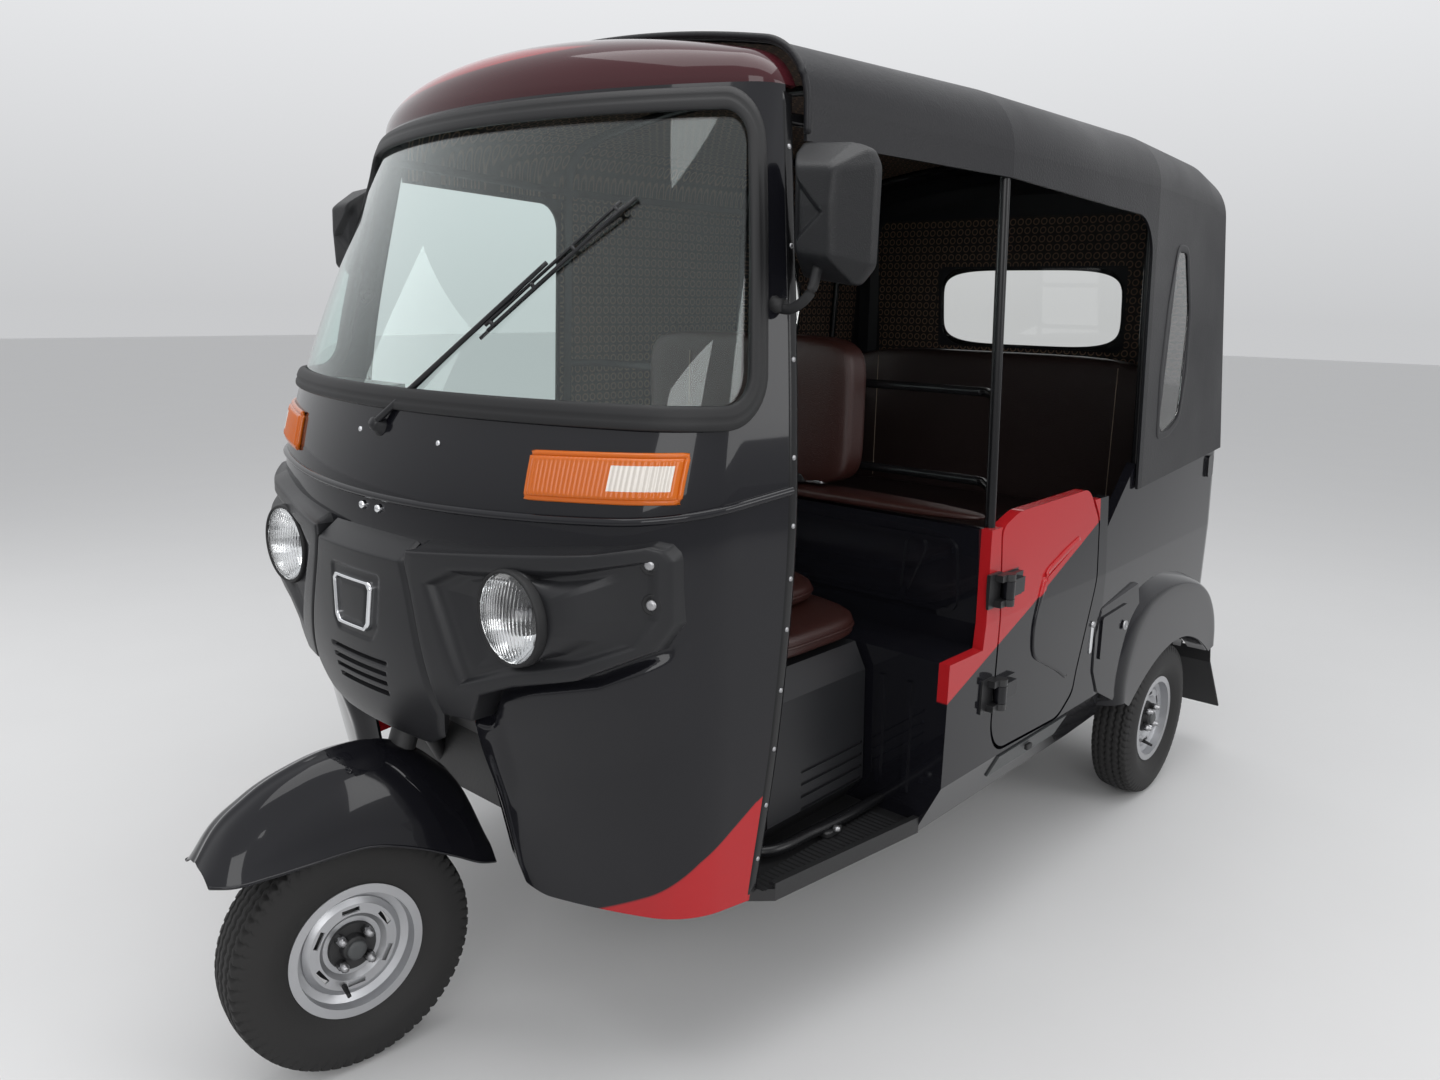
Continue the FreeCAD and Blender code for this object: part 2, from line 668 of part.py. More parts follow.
def build_roof_header():
    """Domed cap over the windscreen: plan outlines that draw in upwards, under a crowned top."""
    low, top = number(s.brow_z), number(s.header_top_z)
    nose, half = number(s.brow_nose), number(s.brow_half)
    widening = math.tan(math.radians(s.side_lean)) * (number(s.header_rear_y) - number(s.brow_edge))
    # columns: height above the joint, how far back the nose is, how far in the sides are
    levels = ((0.0, 0.0, 0.0), (50.0, 12.0, 12.0), (88.0, 40.0, 34.0), (top + 4 - low, 76.0, 72.0))
    radius = number(s.brow_nose_radius)

    def dome(inset, drop):
        return ruled_solid([header_outline(low + rise - drop, nose + back, half + widening - shy, radius + 4 * back, inset)
                            for rise, back, shy in levels])

    wall = number(s.shell_wall)
    outer = dome(0.0, 0.0).common(header_crown())
    inner = dome(wall, 1.0).common(header_crown(wall))
    return node("roof_header", feature("RoofHeader", outer.cut(inner)))


# Front mask
def mask_solid(inset=0.0):
    """Outer form of the mask: it stands proud of the shell at the nose and dies out at its ends."""
    proud, ends = number(s.mask_proud), number(s.wing_proud)
    lean = math.radians(s.side_lean)
    half, edge = number(s.waist_half), number(s.waist_edge)
    nose = number(s.waist_nose)
    corner = number(s.waist_corner) + 10 - inset
    wires = []
    # columns: height, how far the nose is behind its foremost place, how far the ends are in
    for z, back, shy in ((500, 92, 62), (600, 26, 26), (660, 6, 14), (860, 0, 0), (1010, 4, 0)):
        points = arch(-nose + proud - back - inset, 900 - inset, half + ends - shy - inset, -edge, corner, lean)
        wires.append(arch_edges(points, lambda point, z=z: Vector(point.x, -point.y, z)))
    return ruled_solid(wires)


def mask_top(inset=0.0):
    """Region under the bevelled top of the mask, in the side view."""
    top, high = number(s.mask_top_z) - inset, number(s.wing_top_z) - inset
    nose = number(s.waist_nose)
    return side_prism([(-1400, top - 190), (nose - 48, top - 32), (nose, top), (nose + 70, top + 26),
                       (nose + 150, high), (-560, high + 6), (-560, 300), (-1400, 300)])


def centre_outline(grow):
    """Front view of the centre panel: it widens downwards to its foot."""
    top, foot, wide = number(s.centre_half_top) + grow, number(s.centre_half_foot) + grow, number(s.mask_foot_z)
    turn_z = number(s.seam_foot_z)
    rate = (foot - top) / (number(s.mask_top_z) - 32 - turn_z)
    crest = top - rate * 120
    return [(-crest, number(s.mask_top_z) + 88), (-foot, turn_z), (-foot + 18, wide + 30), (-foot + 70, wide),
            (foot - 70, wide), (foot - 18, wide + 30), (foot, turn_z), (crest, number(s.mask_top_z) + 88)]


def wing_outline(grow=0.0):
    """Front view of the left lamp wing, clockwise from its upper inner corner, with corner radii."""
    outer, seam_z = number(s.wing_outer_x), number(s.seam_foot_z)
    points = [(60, 1050), (outer - 14 + grow, 1050), (outer - 14 + grow, 962), (outer + grow, 940),
              (outer + grow, 838), (outer - 18, 800 - grow), (440, 752 - grow),
              (330, 722 - grow), (268, 696 - grow), (248, seam_z - grow), (150, seam_z - grow), (60, 800)]
    return points


def build_mask():
    """Satin mask: a centre panel with slots below the badge place, and a wing round each headlamp."""
    mask = mask_solid().cut(outer_front).common(mask_top())
    seam = number(s.panel_gap) / 2
    region = front_prism(centre_outline(-seam), -1400, -800)
    wall = number(s.mask_wall)
    hollow = mask_solid(wall).common(mask_top(wall)).common(front_prism(centre_outline(-seam - wall), -1400, -800))
    open_foot = Part.makeBox(2 * number(s.centre_half_foot) - 150, 400, 120,
                             Vector(75 - number(s.centre_half_foot), -1300, number(s.mask_foot_z) - 60))
    hollow = hollow.fuse(open_foot.common(mask_solid(wall)))
    slots = []
    for i in range(4):
        z = number(s.slot_foot_z) + i * number(s.slot_pitch)
        half = number(s.slot_half) + 3 * i
        slots.append(front_prism([(-half, z), (half, z), (half, z + 5), (-half, z + 5)], -1400, -900))
    centre = mask.common(region).cut(Part.makeCompound(slots)).cut(hollow)
    node("centre_panel", feature("CentrePanel", centre))
    wing = front_prism(wing_outline(), -1400, -600).cut(front_prism(centre_outline(seam), -1400, -600))
    lamp = Vector(number(s.lamp_x), -1200, number(s.lamp_z))
    bore = Part.makeCylinder(number(s.lamp_radius) + number(s.lamp_gap), 400, lamp, Vector(0, 1, 0))
    recess_points = [(172, 860), (222, 884), (440, 908), (505, 902), (508, 836), (458, 778), (330, 738), (236, 706)]
    faces = []
    for y, share in ((-1180, 1.12), (-900, 0.86)):
        middle_x, middle_z = 360, 815
        points = [Vector(middle_x + (x - middle_x) * share, y, middle_z + (z - middle_z) * share)
                  for x, z in recess_points]
        faces.append(rounded_outline(points, [24] * len(points)))
    recess = ruled_solid(faces).common(mask_solid().cut(mask_solid(number(s.recess_depth))))
    left = mask.common(wing).cut(bore).cut(recess)
    right = left.mirror(Vector(), Vector(1, 0, 0))
    return node("lamp_wings", feature("LampWings", Part.makeCompound([left, right])))


def build_headlamps():
    """Round lamps: a bowl with a flange that sits in the lower panel, and a domed lens, on each side."""
    radius, depth = number(s.lamp_radius), number(s.lamp_depth)
    x, y, z = number(s.lamp_x), number(s.lamp_y), number(s.lamp_z)
    bowl_points = [(0, 0), (radius, 0), (radius - 6, 22), (radius * 0.55, depth), (0, depth)]
    lens_points = [Vector(0, -14, 0), Vector(radius * 0.6, -8, 0), Vector(radius - 2, 0, 0)]

    def turned(edges):
        face = Part.Face(Part.Wire(edges))
        return face.revolve(Vector(), Vector(0, 1, 0), 360)

    bowl = turned([Part.LineSegment(Vector(*a, 0), Vector(*b, 0)).toShape()
                   for a, b in zip(bowl_points, bowl_points[1:] + bowl_points[:1])])
    flange = Part.makeCylinder(radius + LAMP_SEAT, 6, Vector(0, depth - 14, 0), Vector(0, 1, 0))
    bowl = bowl.fuse(flange)
    lens = turned([Part.Arc(*lens_points).toShape(), Part.LineSegment(lens_points[2], Vector()).toShape(),
                   Part.LineSegment(Vector(), lens_points[0]).toShape()])
    for name, solid in (("headlamp_bowls", bowl), ("headlamp_lenses", lens)):
        pair = []
        for side in (1, -1):
            copy = solid.copy()
            copy.Placement = Placement(Vector(side * x, y, z), Rotation())
            pair.append(copy)
        node(name, feature(name.title().replace("_", ""), Part.makeCompound(pair)))


# Wheels
front_axle = Vector(0, number(s.front_axle_y), number(s.tyre_radius))
rear_axle_y = s.front_axle_y + s.wheelbase
steer_axis = Vector(0, math.sin(math.radians(s.rake)), math.cos(math.radians(s.rake)))
steer_turn = Rotation(steer_axis, number(s.parked_steer))


def parked(shape):
    """Turn a shape that was drawn with the steering straight to where it is parked."""
    return shape.rotate(front_axle, steer_axis, number(s.parked_steer))


def tyre_shape():
    """Solid ring: tread arc, shoulders, bulging sidewalls and a seat on the rim. Turned about X."""
    top, shoulder_x = number(s.tyre_radius), number(s.tread_width) / 2
    shoulder_z = top - number(s.crown_drop)
    seat, bulge = number(s.rim_seat_radius), number(s.tyre_width) / 2
    bead_x = number(s.rim_width) / 2 - number(s.rim_sheet) - number(s.seat_gap)
    belly_z = seat + 0.48 * (shoulder_z - seat)
    seat += number(s.seat_gap)
    lip = number(s.rim_flange_radius) + 1

    def edge(*points):
        points = [Vector(x, 0, z) for x, z in points]
        return (Part.Arc(*points) if len(points) == 3 else Part.LineSegment(*points)).toShape()

    profile = Part.Wire([
        edge((-shoulder_x, shoulder_z), (0, top), (shoulder_x, shoulder_z)),
        edge((shoulder_x, shoulder_z), (bulge, belly_z), (bead_x, lip)),
        edge((bead_x, lip), (bead_x, seat)),
        edge((bead_x, seat), (-bead_x, seat)),
        edge((-bead_x, seat), (-bead_x, lip)),
        edge((-bead_x, lip), (-bulge, belly_z), (-shoulder_x, shoulder_z)),
    ])
    return Part.Face(profile).revolve(Vector(), Vector(1, 0, 0), 360)


def rim_body(name):
    """Pressed wheel: flanges, drop centre and a dished disc with slots, turned about X, outside to +X."""
    half, sheet_wall = s.rim_width / 2, s.rim_sheet
    flange, seat = s.rim_flange_radius, s.rim_seat_radius
    disc = s.disc_set
    body = new_body(name)
    outline = sketch(body, "XZ_Plane", [
        (-half, flange), (sheet_wall - half, flange), (sheet_wall - half, seat), (-half + 22, seat - 1),
        (-half + 28, seat - 14), (half - 28, seat - 14), (half - 22, seat - 1), (half - sheet_wall, seat),
        (half - sheet_wall, flange), (half, flange), (half, seat - sheet_wall + 1), (half - 19, seat - sheet_wall - 1),
        (half - 25, seat - 17), (disc + 6, seat - 17), (disc + 12, seat - 27), (disc + 12, seat - 44),
        (disc + 4, seat - 52), (disc + 4, s.hub_radius + s.seat_gap), (disc, s.hub_radius + s.seat_gap),
        (disc, seat - 50), (disc + 8, seat - 42), (disc + 8, seat - 29), (disc, seat - 17),
        (-half + 25, seat - 17), (-half + 19, seat - sheet_wall - 1), (-half, seat - sheet_wall + 1),
    ])
    turn = revolve(body, outline)
    slot_half, slot_low = 15, seat - 41
    slots = sketch(body, "YZ_Plane", [(-slot_half, slot_low), (slot_half, slot_low),
                                      (slot_half, slot_low + 8), (-slot_half, slot_low + 8)], disc - 8)
    opening = pocket(body, slots, 30, "One side", True)
    doc.recompute()
    pattern = body.newObject("PartDesign::PolarPattern", name + "Slots")
    pattern.Originals = [opening]
    pattern.Axis = (origin_plane(body, "X_Axis"), [""])
    pattern.Angle = 360
    pattern.Occurrences = 6
    body.Tip = pattern
    return body


def hub_shape():
    """Brake drum inboard of the disc, boss through it, and the nut plate with cap and nuts outboard."""
    disc, wall = number(s.disc_set), 4.0
    boss, drum, depth = number(s.hub_radius), number(s.drum_radius) - 20, number(s.drum_depth)
    bore = number(s.axle_radius) + number(s.running_gap)
    plate_x = disc + wall
    outline = [(disc - depth, bore), (disc - depth, drum), (disc - 6, drum), (disc, drum - 14), (disc, boss),
               (plate_x, boss), (plate_x, 42), (plate_x + 5, 40), (plate_x + 5, 24), (plate_x + 16, 21),
               (plate_x + 19, 17), (plate_x + 19, 0), (plate_x + 4, 0), (plate_x + 4, bore)]
    points = [Vector(x, 0, z) for x, z in outline]
    hub = Part.Face(Part.makePolygon([*points, points[0]])).revolve(Vector(), Vector(1, 0, 0), 360)
    radius, circle = number(s.nut_across) / 2 / math.cos(math.pi / 6), number(s.nut_circle_radius)
    for k in range(4):
        turn = math.radians(45 + 90 * k)
        centre = Vector(plate_x + 4, circle * math.sin(turn), circle * math.cos(turn))
        corners = [centre + Vector(0, radius * math.sin(a), radius * math.cos(a)) * 0.8
                   for a in (math.radians(60 * i) for i in range(6))]
        nut = Part.Face(Part.makePolygon([*corners, corners[0]])).extrude(Vector(13, 0, 0))
        hub = hub.fuse(nut)
    return hub


def build_wheels():
    half_track = number(s.rear_track) / 2
    tyre = tyre_shape()
    hub = hub_shape()
    places = (
        ("front", Placement(front_axle, steer_turn)),
        ("rear_left", Placement(Vector(half_track, number(rear_axle_y), number(s.tyre_radius)), Rotation())),
        ("rear_right", Placement(Vector(-half_track, number(rear_axle_y), number(s.tyre_radius)),
                                 Rotation(Vector(0, 0, 1), 180))),
    )
    for wheel, spot in places:
        rubber = feature(wheel.title().replace("_", "") + "Tyre", tyre)
        rubber.Placement = spot
        node(wheel + "_tyre", rubber)
        rim = rim_body(wheel.title().replace("_", "") + "Rim")
        rim.Placement = spot
        node(wheel + "_rim", rim)
        centre = feature(wheel.title().replace("_", "") + "Hub", hub)
        centre.Placement = spot
        node(wheel + "_hub", centre)


# Steering, drawn straight ahead and then turned to where it is parked
def on_axis(reach, x=0.0, ahead=0.0):
    """Point at a distance along the steering axis above the axle, moved sideways and ahead of it."""
    forward = Vector(0, -steer_axis.z, steer_axis.y)
    return front_axle + steer_axis * number(reach) + Vector(number(x), 0, 0) + forward * number(ahead)


def build_fork():
    """Stem through the mudguard, and the one-sided leg on the vehicle's right with its link and axle."""
    leg_x, link_x = -number(s.leg_offset), -number(s.link_offset)
    stem_foot, guard_rise = number(s.stem_foot), number(s.guard_rise)
    stem = Part.makeCylinder(number(s.stem_radius), number(s.bar_rise) - stem_foot - 30, on_axis(stem_foot), steer_axis)
    collar = Part.makeCylinder(number(s.collar_radius), number(s.head_foot) - guard_rise - 5, on_axis(guard_rise),
                               steer_axis)
    pivot = front_axle + Vector(leg_x, number(s.link_length), 34)
    leg = tube([on_axis(stem_foot + 18, 14), on_axis(stem_foot + 18, leg_x), pivot + Vector(0, 0, -14)],
               s.leg_radius, 40)
    boss = Part.makeCylinder(20, 44, pivot + Vector(-17, 0, 0), Vector(1, 0, 0))
    hinge = Vector(link_x, pivot.y, pivot.z)
    axle = front_axle + Vector(link_x, 0, 0)
    link = polygon_prism([axle + Vector(0, -20, -18), axle + Vector(0, -20, 18), hinge + Vector(0, 14, 16),
                          hinge + Vector(0, 14, -16)], Vector(1, 0, 0), 6)
    back_plate_x = number(s.disc_set) - number(s.drum_depth) - 3
    pin_end = number(s.disc_set) + 4
    pin = Part.makeCylinder(number(s.axle_radius), pin_end - link_x + 6, axle + Vector(-6, 0, 0), Vector(1, 0, 0))
    spacer = Part.makeCylinder(18, back_plate_x - link_x, axle, Vector(1, 0, 0))
    shape = stem.fuse([collar, leg, boss, link, pin, spacer])
    return node("fork", feature("Fork", parked(shape)))


def build_handlebar():
    """Bar with two grips and the headset cover, on top of the stem."""
    rise, half = number(s.bar_rise), number(s.bar_half)
    clamp = on_axis(rise)
    sweep = number(s.bar_sweep)
    bar = tube([clamp + Vector(-half, sweep, 12), clamp + Vector(-140, 20, 6), clamp + Vector(0, 0, 0),
                clamp + Vector(140, 20, 6), clamp + Vector(half, sweep, 12)], 11, 60)
    grips = []
    for side in (1, -1):
        end = Vector(side * half, sweep, 12)
        run = (end - Vector(side * 140, 20, 6)).normalize()
        grips.append(Part.makeCylinder(17, 120, clamp + end - run * 118, run))
    cover = Part.makeCylinder(46, 80, on_axis(rise - 30), steer_axis)
    return node("handlebar", feature("Handlebar", parked(bar.fuse([cover, *grips]))))


def build_mudguard():
    """Crested guard over the front wheel: bands through a short table of stations along the vehicle."""
    half, wall = number(s.guard_half), number(s.guard_sheet)
    # columns: along the vehicle from the axle, crest above the axle, flange above the axle, share of half width
    stations = ((-222, 224, 206, 0.72), (-196, 262, 204, 0.92), (-140, 305, 203, 1.0), (-60, 338, 203, 1.0),
                (20, 350, 200, 1.0), (100, 336, 170, 1.0), (165, 292, 134, 1.0), (215, 226, 104, 0.98),
                (246, 140, 92, 0.9))
    outlines = []
    for along_y, crest, flange, share in stations:
        wide = half * share
        shoulder = flange + 0.72 * (crest - flange)
        outer = [(-wide, flange), (-0.66 * wide, shoulder), (0, crest), (0.66 * wide, shoulder), (wide, flange)]
        inner = [(wide - wall, flange), (0.66 * wide - wall * 0.7, shoulder - wall), (0, crest - wall * 1.3),
                 (-0.66 * wide + wall * 0.7, shoulder - wall), (-wide + wall, flange)]
        points = [front_axle + Vector(x, along_y, z) for x, z in outer + inner]
        outlines.append([Part.LineSegment(a, b).toShape() for a, b in zip(points, points[1:] + points[:1])])
    guard = parked(ruled_solid(outlines)).cut(nodes["fork"].Shape)
    return node("front_mudguard", feature("FrontMudguard", max(guard.Solids, key=lambda solid: solid.Volume)))


# Chassis and floor
rail_z = number(s.floor_z) - number(s.floor_wall) - number(s.rail_section) / 2
rail_foot = rail_z - number(s.rail_section) / 2
half_rail = number(s.rail_section) / 2


def build_chassis():
    """Ladder of two rails and cross members with a towing eye, and the head tube on its struts."""
    rail_x = number(s.rail_x)
    rear = number(s.engine_rear_y) + 2 * half_rail
    pieces = []
    for side in (1, -1):
        corner = Vector(side * rail_x - half_rail, -700, rail_foot)
        pieces.append(Part.makeBox(2 * half_rail, rear + 700, 2 * half_rail, corner))
    middles = (-675, number(s.step_y), 160, number(s.engine_front_y) - half_rail, rear - half_rail)
    for y in middles:
        corner = Vector(-rail_x, y - half_rail, rail_foot + 5)
        pieces.append(Part.makeBox(2 * rail_x, 2 * half_rail, 2 * half_rail - 5, corner))
    head = Part.makeCylinder(number(s.head_radius), number(s.head_length), on_axis(s.head_foot), steer_axis)
    bore = Part.makeCylinder(number(s.stem_radius) + number(s.running_gap), number(s.head_length) + 4,
                             on_axis(number(s.head_foot) - 2), steer_axis)
    head_high = on_axis(number(s.head_foot) + 0.78 * number(s.head_length))
    struts = []
    for side in (1, -1):
        start = head_high + Vector(side * 18, 0, 0)
        knee = Vector(side * 225, -862, 560)
        foot = Vector(side * rail_x, -690, rail_z)
        struts.append(tube([start, knee, foot], 17, 60))
    eye = Vector(-number(s.tow_x), rear + 26, rail_z - 12)
    wall, reach = number(s.tow_wall), 2 * number(s.tow_bore)
    pieces.append(Part.makeCylinder(reach, wall, eye + Vector(-wall / 2, 0, 0), Vector(1, 0, 0)))
    pieces.append(Part.makeBox(wall, 30, 2 * reach - 6, Vector(eye.x - wall / 2, rear - 4, eye.z - reach + 3)))
    tow_hole = Part.makeCylinder(number(s.tow_bore), 60, eye + Vector(-30, 0, 0), Vector(1, 0, 0))
    ladder = pieces[0].fuse(pieces[1:]).cut(tow_hole)
    node("chassis", feature("Chassis", ladder))
    steering_head = head.fuse(struts).cut(bore).cut(ladder)
    return node("steering_head", feature("SteeringHead", max(steering_head.Solids, key=lambda solid: solid.Volume)))


def build_floor():
    """Cab floor with raised foot boards outboard, and the toe board behind the front wheel."""
    z, wall, half = number(s.floor_z), number(s.floor_wall), number(s.floor_half)
    front, rear = number(s.foot_edge) + 6, number(s.step_y)
    corner, narrow = 40, number(s.floor_front_half)
    flat = plan_prism([(corner - narrow, front), (narrow - corner, front), (narrow, front + corner), (half, rear),
                       (-half, rear), (-narrow, front + corner)], z - wall, z)
    lips = []
    for side in (1, -1):
        edge = [(side * narrow, front + corner), (side * (narrow - 12), front + corner), (side * (half - 12), rear),
                (side * half, rear)]
        lips.append(plan_prism(edge, z, z + 10))
    toe = side_prism([(front, z - wall), (front + 16, z - wall), (front + 16, z + 30), (-800, 560), (-800, 930),
                      (-816, 930), (-816, 552), (front, z + 22)], 330)
    column = Part.makeCylinder(number(s.head_radius) + 26, 900, on_axis(280), steer_axis)
    shape = flat.fuse([toe, *lips]).cut(column).cut(cowl_shell)
    for name in ("chassis", "steering_head"):
        shape = shape.cut(nodes[name].Shape)
    return node("cab_floor", feature("CabFloor", shape))


# Rear body
TUB_LEVELS = ("sill", "side", "belt", "waist_rail")
left_side = Part.makeBox(1000, 4000, 4000, Vector(0, -2000, -1000))


def tub_outline(level, inset, rise, ahead):
    z, half, tail = [number(getattr(s, level + column)) for column in ("_z", "_half", "_tail")]
    half, tail = half - inset, tail - inset
    front, bend, rear = number(s.step_y) - ahead, number(s.tub_taper_y), number(s.tub_rear_y) - inset
    if level == "sill":
        rear -= 14
    radius = number(s.tub_corner) - inset
    corners = [(half, front), (half, bend), (tail, rear), (-tail, rear), (-half, bend), (-half, front)]
    points = [Vector(x, y, z + rise) for x, y in corners]
    return rounded_outline(points, [0, 0, radius, radius, 0, 0])


def tub_solid(inset=0.0):
    """Rear body as a solid, moved inwards by inset; inner ones reach past the open ends."""
    reach = 2.0 if inset > 0 else 0.0
    rises = (-reach, 0.0, 0.0, reach)
    return ruled_solid([tub_outline(level, inset, rise, reach) for level, rise in zip(TUB_LEVELS, rises)])


outer_tub = tub_solid()
inner_tub = tub_solid(number(s.tub_wall))


def door_outline(grow=0.0, inner=0.0):
    """Side view of the passenger door, with corner radii; grow widens it, inner moves it in all round."""
    top, foot = number(s.door_top_z), number(s.door_foot_z)
    shift = grow - inner
    # columns: along the vehicle, height, outward direction, corner radius
    table = ((-88, top - 22, -1, 1, 30), (-20, top, -1, 1, 120), (300, top + 6, 1, 1, 46), (352, top - 70, 1, 1, 60),
             (349, 690, 1, 0, 200), (286, 500, 1, -0.3, 60), (276, 455, 1, -1, 40), (212, foot, 0.6, -1, 90),
             (-62, foot + 10, -1, -1, 60), (-92, foot + 60, -1, -0.4, 80))
    points = [Vector(0, y + out * shift, z + up * shift) for y, z, out, up, radius in table]
    radii = [min(radius, 1000) for y, z, out, up, radius in table]
    return points, radii


def door_region(grow=0.0, inner=0.0):
    points, radii = door_outline(grow, inner)
    return rounded_prism([point + Vector(number(s.belt_half), 0, 0) for point in points], radii, Vector(1, 0, 0), 200)


def wheel_opening(grow=0.0):
    """Opening in each side for the rear wheel: a flat arc over the tyre."""
    front, rear = number(rear_axle_y) - 300 - grow, number(rear_axle_y) + 275 + grow
    top = number(s.tyre_radius) + 230 + grow
    points = [Vector(0, front, 335), Vector(0, number(rear_axle_y) + 6, top), Vector(0, rear, 330)]
    edges = [Part.Arc(*points).toShape(), Part.LineSegment(points[2], Vector(0, rear, 100)).toShape(),
             Part.LineSegment(Vector(0, rear, 100), Vector(0, front, 100)).toShape(),
             Part.LineSegment(Vector(0, front, 100), points[0]).toShape()]
    return Part.Face(Part.Wire(edges)).translated(Vector(-900, 0, 0)).extrude(Vector(1800, 0, 0))


def arched(points, x):
    """Closed outline in the side view at one distance from the middle: line, three arcs, line."""
    spots = [Vector(x, y, z) for y, z in points]
    a, b, c, d, e, f, g, h = spots
    return [Part.LineSegment(a, b).toShape(), Part.Arc(b, c, d).toShape(), Part.Arc(d, e, f).toShape(),
            Part.Arc(f, g, h).toShape(), Part.LineSegment(h, a).toShape()]


def build_arches():
    """Flared arches over the rear wheels, with the pod for the filler ahead of each."""
    flare_x, tub_x = number(s.flare_x), number(s.side_tail) - 6
    foot = [(500, 350), (490, 450), (545, 584), (670, 634), (960, 600), (1168, 500), (1230, 430), (1248, 345)]
    ridge = [(560, 350), (560, 410), (602, 512), (694, 570), (900, 584), (1080, 530), (1170, 442), (1195, 345)]
    flare = ruled_solid([arched(foot, tub_x), arched(ridge, flare_x)])
    pod_foot = [(500, 356), (408, 408), (370, 470), (362, 560), (392, 630), (600, 652), (660, 500)]
    pod_face = [(510, 370), (414, 416), (378, 474), (371, 556), (398, 620), (600, 640), (650, 500)]
    pods = [[Vector(x, y, z) for y, z in points] for x, points in ((tub_x, pod_foot), (flare_x - 8, pod_face))]
    pod = ruled_solid([rounded_outline(points, [0, 20, 20, 20, 20, 0, 0]) for points in pods])
    left = flare.fuse(pod).cut(wheel_opening()).cut(outer_tub)
    left = max(left.Solids, key=lambda solid: solid.Volume)
    right = left.mirror(Vector(), Vector(1, 0, 0))
    return node("rear_arches", feature("RearArches", Part.makeCompound([left, right])))


def body_side(door):
    """Region of a side panel in the side view: a step for the partition, and a rise behind the door."""
    step, post, top = number(s.step_y), number(s.post_y), number(s.waist_rail_z)
    rear, foot = number(s.tub_split_y), number(s.sill_z)
    crest = number(s.partition_z)
    low, tail = number(bulkhead_line(0)), number(s.tail_foot_z)
    front = [(step, foot), (step, number(s.step_z)), (post - 12, number(s.step_z)), (post + 10, crest)]
    if door:
        rise = [(400, crest), (400, 806), (560, top)]
    else:
        rise = [(240, crest), (320, top)]
    return side_prism([*front, *rise, (rear, top), (rear, tail), (number(rear_axle_y) + 100, tail),
                       (number(rear_axle_y) - 200, foot)])


def bulkhead_line(gap):
    return number(s.bulkhead_y) + gap


def build_body_sides():
    """Left panel with its door opening, right panel closed, and the rear panel with its lid opening."""
    shell = outer_tub.cut(inner_tub).cut(wheel_opening())
    left = shell.common(left_side).common(body_side(True)).cut(door_region(number(s.door_gap)))
    node("side_panel_left", feature("SidePanelLeft", left))
    right_half = left_side.mirror(Vector(), Vector(1, 0, 0))
    right = shell.common(right_half).common(body_side(False))
    node("side_panel_right", feature("SidePanelRight", right))
    split, tail = number(s.tub_split_y), number(s.tail_foot_z)
    rear = shell.common(Part.makeBox(1400, 400, 1200, Vector(-700, split, tail)))
    rear = rear.cut(lid_region(number(s.door_gap)))
    return node("rear_panel", feature("RearPanel", rear))


def lid_region(grow=0.0):
    half, low, high = number(s.lid_half) + grow, number(s.lid_foot_z) - grow, number(s.lid_top_z) + grow
    corners = [Vector(-half, 1200, low), Vector(half, 1200, low), Vector(half, 1200, high), Vector(-half, 1200, high)]
    radius = 40 + grow
    return rounded_prism(corners, [radius] * 4, Vector(0, 1, 0), 200)


def build_door():
    """Passenger door: a slab of the body's side with a raised bead, hinge leaves and a latch plate."""
    slab = outer_tub.cut(tub_solid(number(s.door_wall))).common(left_side).common(door_region())
    skin = tub_solid(-4.0).cut(outer_tub).common(left_side)
    bead = [(250, 800), (90, 742), (72, 700), (58, 640), (66, 596), (116, 566), (232, 505)]
    face_x = number(s.belt_half) - 20
    spots = [Vector(face_x, y, z) for y, z in bead]
    inner = [Vector(face_x, y + 9, z - 8 if z > 640 else z + 8) for y, z in reversed(bead)]
    strip = rounded_prism([*spots, *inner], [0, 14, 20, 20, 20, 20, 0, 0, 12, 14, 14, 14, 10, 0], Vector(1, 0, 0), 120)
    door = slab.fuse(skin.common(strip))
    door = door.fuse(hinge_leaves(True))
    return node("passenger_door", feature("PassengerDoor", door))


def hinge_leaves(moving):
    """Cast hinges: the fixed half carries the pin, the moving half turns on it with a bored knuckle."""
    face, y = number(s.belt_half), number(s.hinge_y)
    pin_x, knuckle = face + number(s.hinge_stand), number(s.knuckle)
    pieces = []
    for z in (number(s.hinge_low_z), number(s.hinge_high_z)):
        centre = Vector(pin_x, y, z)
        if moving:
            barrel = Part.makeCylinder(knuckle, 34, centre + Vector(0, 0, -17), Vector(0, 0, 1))
            web = Part.makeBox(knuckle, 62, 30, Vector(pin_x - knuckle + 2, y, z - 15))
            leaf = Part.makeBox(number(s.hinge_stand), 50, 46, Vector(face - 8, y + 22, z - 23))
            hole = Part.makeCylinder(number(s.hinge_radius) + number(s.running_gap), 60, centre + Vector(0, 0, -30),
                                     Vector(0, 0, 1))
            pieces.append(barrel.fuse([web, leaf]).cut(hole))
        else:
            pin = Part.makeCylinder(number(s.hinge_radius), 62, centre + Vector(0, 0, -31), Vector(0, 0, 1))
            ends = [Part.makeCylinder(knuckle, 13, centre + Vector(0, 0, rise), Vector(0, 0, 1)) for rise in (18, -31)]
            leaf = Part.makeBox(7, 44, 66, Vector(face - 4, y - 50, z - 33))
            arms = [Part.makeBox(number(s.hinge_stand) + 4, 30, 13, Vector(face - 2, y - 30, z + rise))
                    for rise in (18, -31)]
            solid = pin.fuse([*ends, leaf, *arms]).cut(outer_tub)
            pieces.append(solid)
    if moving:
        return Part.makeCompound(pieces)
    return Part.makeCompound([max(piece.Solids, key=lambda solid: solid.Volume) for piece in pieces])


